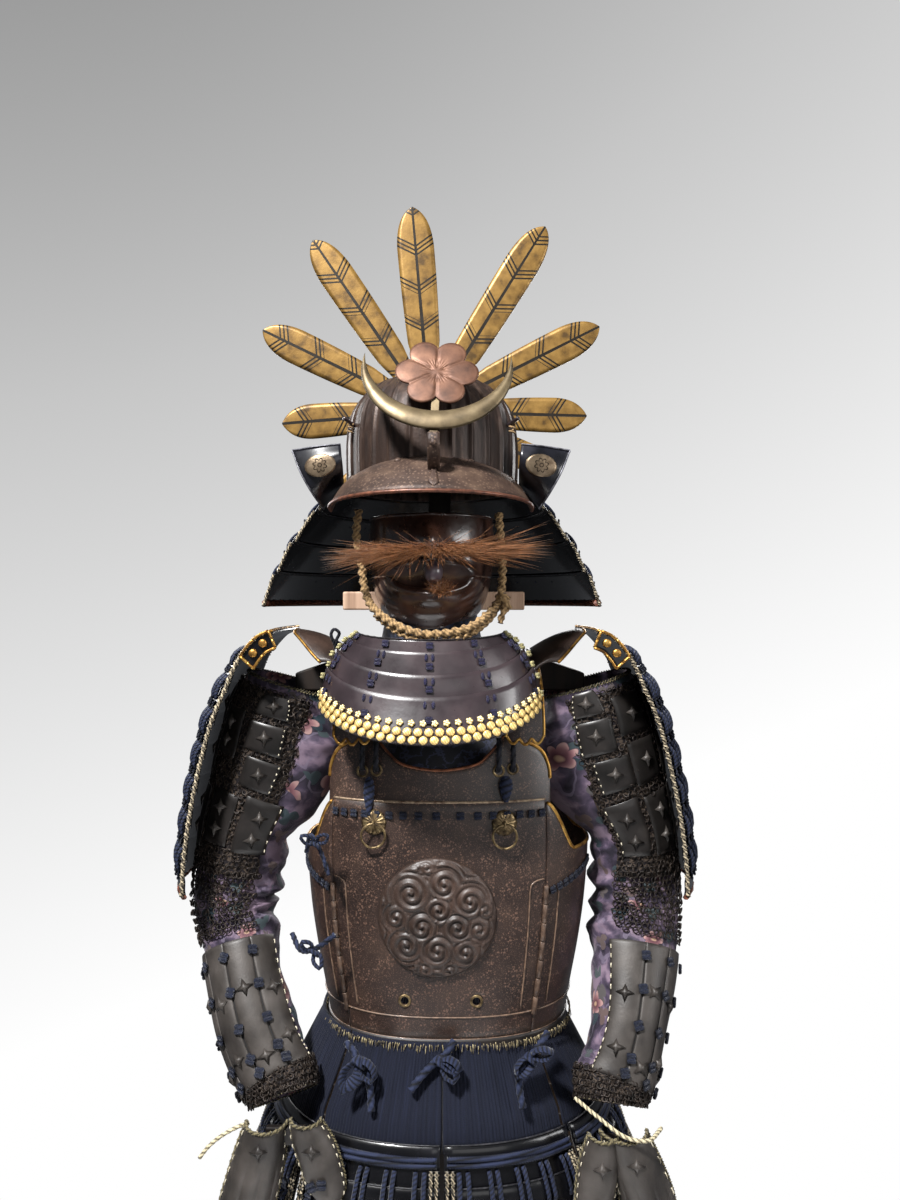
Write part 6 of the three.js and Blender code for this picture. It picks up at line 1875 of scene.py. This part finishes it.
def petalled(x, y, count, reach, swing, spin=0.0):
    """How far inside a flower of count petals a point is; positive inside."""
    length = brocade.math("SQRT", brocade.math("ADD", brocade.math("MULTIPLY", x, x), brocade.math("MULTIPLY", y, y)))
    angle = brocade.math("ADD", brocade.math("ARCTAN2", y, x), spin)
    lobe = brocade.math("ABSOLUTE", brocade.math("COSINE", brocade.math("MULTIPLY", angle, count / 2)))
    edge = brocade.math("ADD", reach, brocade.math("MULTIPLY", lobe, swing))
    return brocade.math("SUBTRACT", edge, length), length


silk = brocade.ramp(brocade.noise(30, 4, bent), (0.38, "#1d1925"), (0.5, "#463b4d"), (0.6, "#7c6a7a"))
branch = brocade.noise(17, 2, bent)
vine = brocade.math("LESS_THAN", brocade.math("ABSOLUTE", brocade.math("SUBTRACT", branch, 0.5)), 0.011)
tone_of = brocade.blend(brocade.math("MULTIPLY", vine, 0.55), silk, "#6f6577")
x, y, chance = heads(26, 0.013)
leaves, _ = petalled(x, y, 3, 0.0045, 0.0088, 0.6)
leafy = brocade.math("MULTIPLY", brocade.math("GREATER_THAN", leaves, 0), brocade.math("GREATER_THAN", chance, 0.35))
tone_of = brocade.blend(leafy, tone_of, brocade.ramp(chance, (0.4, "#26343c"), (0.65, "#3f4a4c"), (0.9, "#5a4a48")))
x, y, chance = heads(12.5, 0.0)
bloom, middle = petalled(x, y, 6, 0.0095, 0.008)
shown = brocade.math("GREATER_THAN", chance, 0.36)
blooms = brocade.math("MULTIPLY", brocade.math("GREATER_THAN", bloom, 0), shown)
shade = brocade.math("MULTIPLY", middle, 70)
shade = brocade.ramp(shade, (0.15, "#a98a72"), (0.32, "#55303a"), (0.7, "#80585c"), (1.0, "#a5837f"))
tone_of = brocade.blend(blooms, tone_of, shade)
edge_line = brocade.math("LESS_THAN", brocade.math("ABSOLUTE", bloom), 0.0007)
tone_of = brocade.blend(brocade.math("MULTIPLY", brocade.math("MULTIPLY", edge_line, shown), 0.7), tone_of, "#2c2233")
brocade.colour(tone_of)
x, y, _ = brocade.split(brocade.uv)
weave = brocade.math("SINE", brocade.math("MULTIPLY", brocade.math("ADD", x, y), 5200))
raised_parts = brocade.math("MULTIPLY", brocade.math("MAXIMUM", blooms, leafy), 0.8)
woven = brocade.math("ADD", brocade.math("MULTIPLY", weave, 0.25), raised_parts)
brocade.bump(brocade.math("ADD", woven, brocade.noise(90, 5, brocade.uv)), 0.35, 0.7)

pale_braid = braid("pale_braid", "#2b271b", "#786e52", 2.0)
for side, name in ((1, "left"), (-1, "right")):
    surface = sleeve_surface(side)
    sleeve = sheet_over(f"sleeve_{name}_cloth", surface, 72, 168, 1.5, (370, 610), closed=True)
    dress(sleeve, brocade.material, "brocade", f"sleeve_{name}")
    ends = [[surface(i / 60, v) for i in range(61)] for v in (0.002, 0.999)]
    trim = cords(f"sleeve_{name}_binding", ends, 2.4, step=4, lobes=2, pitch=8, sides=8)
    dress(trim, pale_braid, "silk_braid")

# ---------------------------------------------------------------- mail on the sleeves
# Small dark iron rings are sewn over the outer side of each sleeve, close between the plates and loose at the
# elbow, and round the wrist. A net of finer links lies under them where they are close.
tones = (0.3, "#15110f"), (0.6, "#332b26"), (0.8, "#51463c")
link_iron = plain("link_iron", 120, 3, *tones, rough=0.5, metal=0.35, specular=0.35)
net = Finish("fine_net", rough=0.7, metal=0.2, specular=0.3)
gap = net.cells(165, net.uv)
wire = net.math("LESS_THAN", net.math("ABSOLUTE", net.math("SUBTRACT", gap, 0.42)), 0.13)
# The gaps between the wires are painted near black: painted shade under the links.
net.colour(net.blend(wire, net.ramp(net.noise(80, 3, net.uv), (0.3, "#120f10"), (0.8, "#211c1f")), "#4a3f36"))
net.bump(wire, 0.9, 1.0)
ring_shape = hoop((1, 1, 1), (0, 0, 0), (0, 0, 0), 3.5, 0.95, 7, 3)
LINKS = {
    # section from, to, angle from, to, spacing, share kept
    "close": (0.3, 4.95, -30, 146, 6.4, 0.9),
    "loose": (4.95, 7.15, -34, 146, 6.2, 0.8),
    "wrist": (10.85, 12.0, -84, 120, 6.2, 0.92),
}
rng = random.Random(7)
for side, name in ((1, "left"), (-1, "right")):
    seats = []
    for s0, s1, a0, a1, step, keep in LINKS.values():
        s, row = s0, 0
        while s < s1:
            spacing = (arm_point(side, min(s + 0.1, LAST), 0) - arm_point(side, s, 0)).length * 10
            around = math.radians(a1 - a0) * 57
            for k in range(int(around / step)):
                if rng.random() > keep:
                    continue
                angle = side * mix(a0, a1, (k + 0.5 * (row % 2) + rng.uniform(-0.2, 0.2)) / (around / step))
                spot = arm_point(side, s, angle, 3.1 + rng.uniform(0, 0.9))
                out = arm_point(side, s, angle, 9) - spot
                tilt = Vector((rng.uniform(-1, 1), rng.uniform(-1, 1), rng.uniform(-1, 1))) * 0.45
                seats.append(seat(spot, out.normalized() + tilt, turn=rng.uniform(0, 6)))
            s += step / max(spacing, 20)
            row += 1
    model = ring_shape.copy()
    model.data = ring_shape.data.copy()
    bpy.context.collection.objects.link(model)
    links = copies(f"arm_mail_{name}_links", model, seats)

    def net_surface(u, v):
        return arm_point(side, mix(0.28, 5.0, v), side * mix(-32, 148, u), 2.9)
    base = sheet_over(f"arm_mail_{name}_net", net_surface, 36, 30, 0.8, (180, 250), pivot=(side * 225, 0, 760))
    dress(base, net.material, "mail")

    def wrist_surface(u, v):
        return arm_point(side, mix(10.8, 12, v), side * mix(-86, 122, u), 2.6)
    base = sheet_over(f"wrist_mail_{name}_net", wrist_surface, 32, 8, 0.8, (150, 60), pivot=(side * 195, -112, 428))
    dress(base, net.material, "mail")
    dress(links, link_iron.material, "mail", f"arm_mail_{name}")
bpy.data.objects.remove(ring_shape)

# ---------------------------------------------------------------- arm plates and forearm splints
# Small lacquered iron plates lie in the mail, each with a raised four-pointed star. Long splints cover the forearm,
# joined along dark seams that are tied with square navy knots.
splint = Finish("splint_lacquer", rough=0.5, metal=0.2, coat=0.1, coat_rough=0.4)
haze = splint.noise(26, 5)
splint.colour(splint.ramp(haze, (0.3, "#25211f"), (0.5, "#393430"), (0.75, "#504a46")))
splint.rough(haze, 0.42, 0.6).bump(splint.math("ADD", splint.noise(40, 4), splint.noise(420, 3)), 0.3, 0.7)
plate_iron = Finish("arm_plate_lacquer", rough=0.4, metal=0.25, coat=0.2, coat_rough=0.3)
haze = plate_iron.noise(40, 4)
plate_iron.colour(plate_iron.ramp(haze, (0.3, "#151311"), (0.6, "#282422"), (0.8, "#3a3532")))
plate_iron.bump(plate_iron.noise(300, 3), 0.2, 0.6)
seam_dark = Finish("seam", rough=0.7)
seam_dark.colour("#0d0b0a")
off_white = plain("stitching", 300, 2, (0.3, "#8d8470"), (0.7, "#d8cfb8"), rough=0.8)
PLATES = {
    1: [
        # section from, to, angle from, to
        (0.1, 0.85, -28, 4), (1.0, 1.9, -28, 8), (2.05, 2.75, -20, 17), (3.0, 4.4, -26, 13), (0.5, 1.6, 14, 50),
        (1.8, 2.8, 18, 54), (3.1, 4.4, 20, 56), (0.5, 1.6, 58, 96), (1.8, 2.9, 62, 98), (3.1, 4.4, 64, 100),
        (0.5, 1.6, 104, 140), (1.8, 2.9, 106, 142), (3.1, 4.4, 108, 142),
    ],
    -1: [
        (0.35, 1.0, -14, 22), (1.2, 1.95, -14, 24), (2.1, 2.75, -18, 18), (2.9, 4.3, -38, 4), (3.0, 4.2, 12, 48),
        (1.0, 2.3, 32, 62), (0.5, 1.6, 68, 98), (1.8, 2.9, 66, 98), (3.1, 4.4, 56, 98),
        (0.5, 1.6, 104, 140), (1.8, 2.9, 106, 142), (3.1, 4.4, 108, 142),
    ],
}
SEAMS = {1: (-38, 8, 43, 78, 113, 150), -1: (-62, -21, 18, 56, 92, 126)}
SPLINT_TOP, SPLINT_FOOT = 7.35, 10.9


STAR_POINTS, STAR_WAIST = 4, 0.42


def star(size, high):
    """A raised four-pointed star with a ridge along each arm."""
    spots, count = [Vector((0, 0, high))], 2 * STAR_POINTS
    for k in range(count):
        reach = size * STAR_WAIST if k % 2 else size
        turn = math.pi * k / STAR_POINTS
        spots.append(Vector((reach * math.cos(turn), reach * math.sin(turn), 0)))
    faces = [[0, 1 + k, 1 + (k + 1) % count] for k in range(count)] + [[1 + k for k in reversed(range(count))]]
    return piece("star", spots, faces, [(0, 0)] * (3 * count + count), smooth=False)


def patch(side, s0, s1, a0, a1, lift, bulge, round_top=0.0):
    def surface(u, v):
        across = mix(a0, a1, 0.5 + (u - 0.5) * (1 - round_top * (1 - v) ** 3))
        swell = bulge * math.sin(math.pi * u) ** 0.6 * math.sin(math.pi * v) ** 0.5
        return arm_point(side, mix(s0, s1, v), side * across, lift + swell)
    return surface


for side, name in ((1, "left"), (-1, "right")):
    parts, stars, stitches = [], [], []
    for n, (s0, s1, a0, a1) in enumerate(PLATES[side]):
        surface = patch(side, s0, s1, a0, a1, 5.4, 1.4, 0.3 if n == 0 else 0.0)
        middle = arm_point(side, (s0 + s1) / 2, side * (a0 + a1) / 2, -30)
        parts.append(sheet_over(f"arm_plate_{name}_{n}", surface, 8, 8, 1.8, (40, 50), pivot=middle, edge=0.5))
        for v in (0.5,) if s1 - s0 < 1.2 else (0.3, 0.7):
            spot = surface(0.5, v)
            stars.append(seat(spot, spot - arm_point(side, mix(s0, s1, v), side * (a0 + a1) / 2, -30)))
        if a0 < 0:
            for k in range(5):
                a, b = surface(0.06, (k + 0.3) / 5), surface(0.06, (k + 0.62) / 5)
                out = (a - middle).normalized() * 0.5
                stitches.append([a + out, a.lerp(b, 0.5) + out * 1.8, b + out])
    dress(joined(*parts), plate_iron.material, "splint_iron")
    seams, parts, knots = SEAMS[side], [], []
    for n, (a0, a1) in enumerate(zip(seams, seams[1:])):
        surface = patch(side, SPLINT_TOP, SPLINT_FOOT, a0 + 1.1, a1 - 1.1, 4.2, 2.2, -0.06)
        middle = arm_point(side, 9, side * (a0 + a1) / 2, -30)
        parts.append(sheet_over(f"splint_{name}_{n}", surface, 12, 32, 2.2, (34, 150), pivot=middle, edge=0.6))
        for v in (0.3, 0.74) if n % 2 else (0.34, 0.66):
            spot = surface(0.5, v)
            inside = arm_point(side, mix(SPLINT_TOP, SPLINT_FOOT, v), side * (a0 + a1) / 2, -30)
            stars.append(seat(spot, spot - inside, turn=math.pi / 8 * n))
    guard = joined(*parts)
    dress(guard, splint.material, "splint_iron", f"forearm_guard_{name}")

    def backing_surface(u, v):
        return arm_point(side, mix(SPLINT_TOP, SPLINT_FOOT, v), side * mix(seams[0], seams[-1], u), 3.2)

    pivot = arm_point(side, 9, side * 40, -30)
    backing = sheet_over(f"splint_backing_{name}", backing_surface, 30, 16, 0.8, (160, 150), pivot=pivot)
    dress(backing, seam_dark.material, "leather")
    for angle in seams[1:-1]:
        for k in range(5):
            s = mix(SPLINT_TOP + 0.35, SPLINT_FOOT - 0.35, k / 4)
            knots.append(proud(arm_point, side, s, side * angle, lift=5.4, turn=0.12 * (k % 3 - 1)))
    dress(copies(f"splint_knots_{name}", woven_knot(11.5, 4.6), knots), navy_braid, "silk_braid")
    for k in range(15):
        ends = (mix(SPLINT_TOP + 0.1, SPLINT_FOOT, (k + part) / 15) for part in (0.25, 0.7))
        a, b = (arm_point(side, s, side * (seams[0] + 3), 5.8) for s in ends)
        stitches.append([a, a.lerp(b, 0.5) + (a - arm_point(side, 9, 0, -40)).normalized() * 0.6, b])
    dress(cords(f"arm_stitches_{name}", stitches, 0.75, step=2, sides=6), off_white.material, "silk_braid")
    dress(copies(f"arm_stars_{name}", star(11.5, 4.6), stars), splint.material, "splint_iron")

# ---------------------------------------------------------------- hand guards
# A fluted iron plate covers the back of each hand and a smaller one the thumb, each with a raised star, both
# bound round with pale braid and joined by a leather band. A navy tie crosses each thumb plate.
HAND_Y, HAND_DOME, THUMB_Y, THUMB_DOME = -156, 28, -164, 20
HANDS = {
    1: {
        # height, x, half width, from the fingers up
        "back": [(247, 240, 16), (280, 240, 30), (328, 235, 31), (364, 223, 30), (404, 208, 26)],
        "thumb": [(300, 169, 9), (316, 172, 18), (346, 176, 22), (375, 180, 22), (404, 184, 16)],
    },
    -1: {
        "back": [(292, -219, 16), (318, -216, 30), (349, -208, 31), (386, -199, 28), (414, -193, 23)],
        "thumb": [(328, -121, 10), (344, -124, 20), (371, -131, 23), (398, -140, 23), (421, -148, 17)],
    },
}


def hand_surface(rows, y, deep, flutes):
    low, high = rows[0][0], rows[-1][0]

    def surface(u, v):
        z = mix(low, high, v)
        half, turn = read(rows, 2, z), math.radians(mix(-88, 88, u))
        ridge = 0.0
        if flutes:
            held = clamp((0.72 - v) / 0.14) * clamp(v / 0.04)
            ridge = 2.4 * held * (abs(math.sin(math.pi * flutes * u)) ** 0.7 - 0.5)
        cap = 1 - 0.35 * (1 - clamp(v / 0.2)) ** 2
        reach = deep * cap + ridge
        return Vector((read(rows, 1, z) + (half + ridge * 0.3) * math.sin(turn), y - reach * math.cos(turn), z))
    return surface


for side, name in ((1, "left"), (-1, "right")):
    parts, stars, edges, stitches, ties = [], [], [], [], []
    for kind, y, deep, flutes in (("back", HAND_Y, HAND_DOME, 5), ("thumb", THUMB_Y, THUMB_DOME, 0)):
        rows = HANDS[side][kind]
        surface = hand_surface(rows, y, deep, flutes)
        x, z = sum(row[1] for row in rows) / 5, (rows[0][0] + rows[-1][0]) / 2
        parts.append(sheet_over(f"hand_{kind}_{name}", surface, 50, 24, 2, (90, 150), pivot=(x, y + 20, z), edge=0.5))
        v = 0.84 if flutes else 0.72
        spot = surface(0.5, v)
        stars.append(seat(spot, (0, -1, 0.1)))
        edge = [surface(u / 30, 0.004) for u in range(31)]
        edge += [surface(0.999, v / 40) for v in range(1, 41)] + [surface(1 - u / 30, 0.999) for u in range(1, 31)]
        edge += [surface(0.001, 1 - v / 40) for v in range(1, 40)]
        edges.append([p + Vector((0, 0.4, 0)) for p in edge + edge[:1]])
        for k in range(9):
            for u in (0.1, 0.9):
                a, b = surface(u, (k + 0.2) / 9), surface(u, (k + 0.6) / 9)
                out = Vector((0, -0.6, 0)) + (a - Vector((x, y, a.z))).normalized() * 0.5
                stitches.append([a + out, a.lerp(b, 0.5) + out * 2, b + out])
        if kind == "thumb":
            tied = surface(0.5, 0.34)
            ties = [seat(tied, (0, -1, 0.1)), seat(surface(0.32, 0.3) + Vector((0, -1, 0)), (-0.3, -1, 0.1), turn=0.5)]
    top, thumb = HANDS[side]["back"][-1], HANDS[side]["thumb"][-1]
    web = ease_block(
        ((top[1] + thumb[1]) / 2, HAND_Y - 6, min(top[0], thumb[0]) - 13), (abs(top[1] - thumb[1]), 8, 20), 1.5, 2,
    )
    dress(joined(*parts), splint.material, "splint_iron", f"hand_guard_{name}")
    dress(web, dark_leather_and_hole_shade.material, "leather")
    binding = cords(f"hand_guard_{name}_binding", edges, 2.2, step=2.5, lobes=2, pitch=7, sides=6, depth=0.25)
    dress(binding, pale_braid, "silk_braid")
    dress(cords(f"hand_guard_{name}_stitches", stitches, 0.7, step=2, sides=6), off_white.material, "silk_braid")
    dress(copies(f"hand_guard_{name}_stars", star(11, 4.4), stars), splint.material, "splint_iron")
    dress(copies(f"hand_guard_{name}_ties", woven_knot(11, 4.5), ties), navy_braid, "silk_braid")

# ---------------------------------------------------------------- skirt
# Eight laced panels hang from the cuirass by close rows of fine navy cords. Each has five black lacquered lames,
# a twisted navy rope along its first, paired laces with square knots between, and beaded braids down its edges.
SKIRT_X = 4
SKIRT = [
    # height, half width, front, back
    (150, 292, 224, 208),
    (220, 268, 208, 194),
    (337, 225, 180, 166),
    (392, 198, 164, 152),
    (440, 173, 140, 130),
    (478, 153, 120, 115),
]
LAME_TOP, LAME_PITCH, LAMES, LAME_STEP, LAME_TUCK = 392, 48, 5, 3, 1.8
CORD_TOP, CORD_GIRTH, CORD_SPACING, LACES_ACROSS = 484, 165, 3.6, 5
# Laces and edge braids: the height from the lame's lower edge, and how far out they stand.
LACE_RUN = [(22, 1.6), (16, 4.6), (6, 5.4), (-4, 5.6), (-12, 5.4), (-16, 2.8)]
BRAID_RUN = [(24, 2.4), (12, 4.8), (0, 5.8), (-14, 5.6), (-22, 3.2)]
PANELS = [
    # name, middle, half width in degrees
    ("front_right", -21.6, 21.2), ("front_left", 21.6, 21.2), ("side_right", -67, 22.5), ("side_left", 67, 22.5),
    ("rear_right", -112.5, 21.5), ("rear_left", 112.5, 21.5), ("back_right", -157.3, 21.9), ("back_left", 157.3, 21.9),
]


def skirt_point(angle, z, out=0.0):
    turn = math.radians(angle)
    s, c = math.sin(turn), math.cos(turn)
    half, deep = read(SKIRT, 1, z) + out, read(SKIRT, 2 if c > 0 else 3, z) + out
    return Vector((SKIRT_X + half * soft_power(s, 0.9), -deep * soft_power(c, 0.9), z))


hung_cord = Finish("hanging_cords", rough=0.85, sheen=0.08, specular=0.2)
along_cord = hung_cord.split(hung_cord.uv)[1]
stitch = hung_cord.math("ABSOLUTE", hung_cord.math("SINE", hung_cord.math("MULTIPLY", along_cord, 2100)))
tint = hung_cord.noise(1, 2, hung_cord.stretch((400, 10, 1), hung_cord.uv))
dark = hung_cord.ramp(tint, (0.3, "#05060b"), (0.6, "#0e111c"), (0.8, "#1a1e30"))
# Stitch crests are painted lighter than the grooves between them: painted shade.
hung_cord.colour(hung_cord.blend(hung_cord.math("MULTIPLY", stitch, 0.4), dark, "#20253a"))
hung_cord.bump(hung_cord.math("ADD", stitch, hung_cord.noise(900, 2, hung_cord.uv)), 0.3, 0.8)

lames, hangings, rims, laces, knots, ropes, edges, feet = [], [], [], [], [], [], [], []
for name, middle, half in PANELS:
    count = round(2 * math.radians(half) * CORD_GIRTH / CORD_SPACING)

    def cord_surface(u, v, middle=middle, half=half, count=count):
        part = (u * count) % 1
        z = mix(CORD_TOP, LAME_TOP - 12, v)
        sway = 0.5 * math.sin(23 * math.floor(u * count + 1e-6)) * math.sin(math.pi * v)
        out = -1 + 1.6 * math.sin(math.pi * part) ** 0.6 + sway - 4 * (v > 0.86) * v
        return skirt_point(middle + (half + 0.3) * (2 * u - 1), z, out)

    size = (2 * math.radians(half) * CORD_GIRTH, 104)
    hangings.append(sheet_over(f"cords_{name}", cord_surface, count * 4, 8, 2, size, pivot=(SKIRT_X, 0, 430)))
    for n in range(LAMES):
        high, low = LAME_TOP - n * LAME_PITCH, LAME_TOP - (n + 1) * LAME_PITCH

        def lame_surface(u, v, high=high, low=low, middle=middle, half=half, n=n):
            z = mix(high + (7 if n else 0), low, v)
            swell = 1.6 * math.sin(math.pi * clamp(v * 3.2)) - 0.6 * v
            out = mix(LAME_STEP, 0, v) + swell - (LAME_TUCK if n else 0) * (1 - v) ** 3
            return skirt_point(middle + half * (2 * u - 1), z, out)

        pivot = (SKIRT_X, 0, high)
        lames.append(sheet_over(f"lame_{name}_{n}", lame_surface, 20, 9, 2.2, (140, 50), pivot=pivot, edge=0.5))
        turns = [middle + half * (i / 16 - 1) for i in range(33)]
        rim_out = LAME_STEP + 0.9 - (LAME_TUCK if n else 0)
        rims.append([skirt_point(turn, high + (6.6 if n else 0), rim_out) for turn in turns])
        if n == LAMES - 1:
            feet.append([skirt_point(turn, low + 1.5, -0.6) for turn in turns])
            continue
        for k in range(LACES_ACROSS):
            turn = middle + half * mix(-0.78, 0.78, k / (LACES_ACROSS - 1))
            laces += [[skirt_point(turn + gap, low + dz, out) for dz, out in LACE_RUN] for gap in (-1.15, 1.15)]
            knots.append(proud(skirt_point, turn, low - 21, lift=2.6))
        for k in (-0.97, 0.97):
            for w in (k, k - math.copysign(0.06, k)):
                edges.append([skirt_point(middle + half * w, low + dz, out) for dz, out in BRAID_RUN])
    for z, out in ((LAME_TOP - 13, 4.8), (LAME_TOP - 18.5, 4.6)):
        ropes.append([skirt_point(middle + half * k * 0.97, z, out) for k in [i / 12 - 1 for i in range(25)]])
for k, (name, _, _) in enumerate(PANELS):
    dress(joined(*lames[k * LAMES : (k + 1) * LAMES]), black.material, "black_lacquer", f"tasset_{name}")
for made in hangings:
    dress(made, hung_cord.material, "silk_braid")
dress(cords("skirt_lame_rims", rims, 0.9, step=12, sides=5), worn_black.material, "black_lacquer")
dress(cords("skirt_feet", feet, 2.6, step=5, lobes=2, pitch=8, sides=6, depth=0.12), red_leather.material, "leather")
dress(cords("skirt_ropes", ropes, 3.2, step=3, lobes=3, pitch=9, sides=6, depth=0.25), navy_braid, "silk_braid")
dress(cords("skirt_laces", laces, 2.9, step=8, sides=5, flat=0.7), navy_braid, "silk_braid")
dress(copies("skirt_knots", woven_knot(10, 3.2), knots), navy_braid, "silk_braid")
edge_braids = cords("skirt_edge_braids", edges, 2.5, step=4, lobes=2, pitch=8, sides=6, depth=0.3)
dress(edge_braids, beaded_cord, "silk_braid")

# ---------------------------------------------------------------- waist
# A black leather band under the cuirass holds the hanging cords, its lower edge frayed into straw-coloured ends.
def waist_surface(u, v):
    return torso_point(360 * u - 180, mix(486, 472, v), 1.6 + 0.8 * math.sin(math.pi * v))


waist = sheet_over("waist_band_leather", waist_surface, 120, 4, 3, (900, 14), closed=True)
dress(waist, dark_leather_and_hole_shade.material, "leather", "waist_band")
straw = plain("frayed_straw", 220, 2, (0.35, "#1b1a1c"), (0.5, "#6b5f45"), (0.7, "#b3a57e"), rough=0.85)
FRAYS = 360
frays = []
for k in range(FRAYS):
    angle = 360 * k / FRAYS - 180 + rng.uniform(-0.4, 0.4)
    root = torso_point(angle, 481 + rng.uniform(-1, 2), 5.2)
    out = (torso_point(angle, 475, 9) - torso_point(angle, 475, 2)).normalized()
    tip = root + out * rng.uniform(0.5, 2.5) + Vector((rng.uniform(-2, 2), rng.uniform(-1, 1), -rng.uniform(4, 11)))
    frays.append([root, root.lerp(tip, 0.5) + out * 0.8, tip])
dress(cords("waist_frays", frays, lambda t: 0.7 - 0.45 * t, step=3, sides=4), straw.material, "leather")
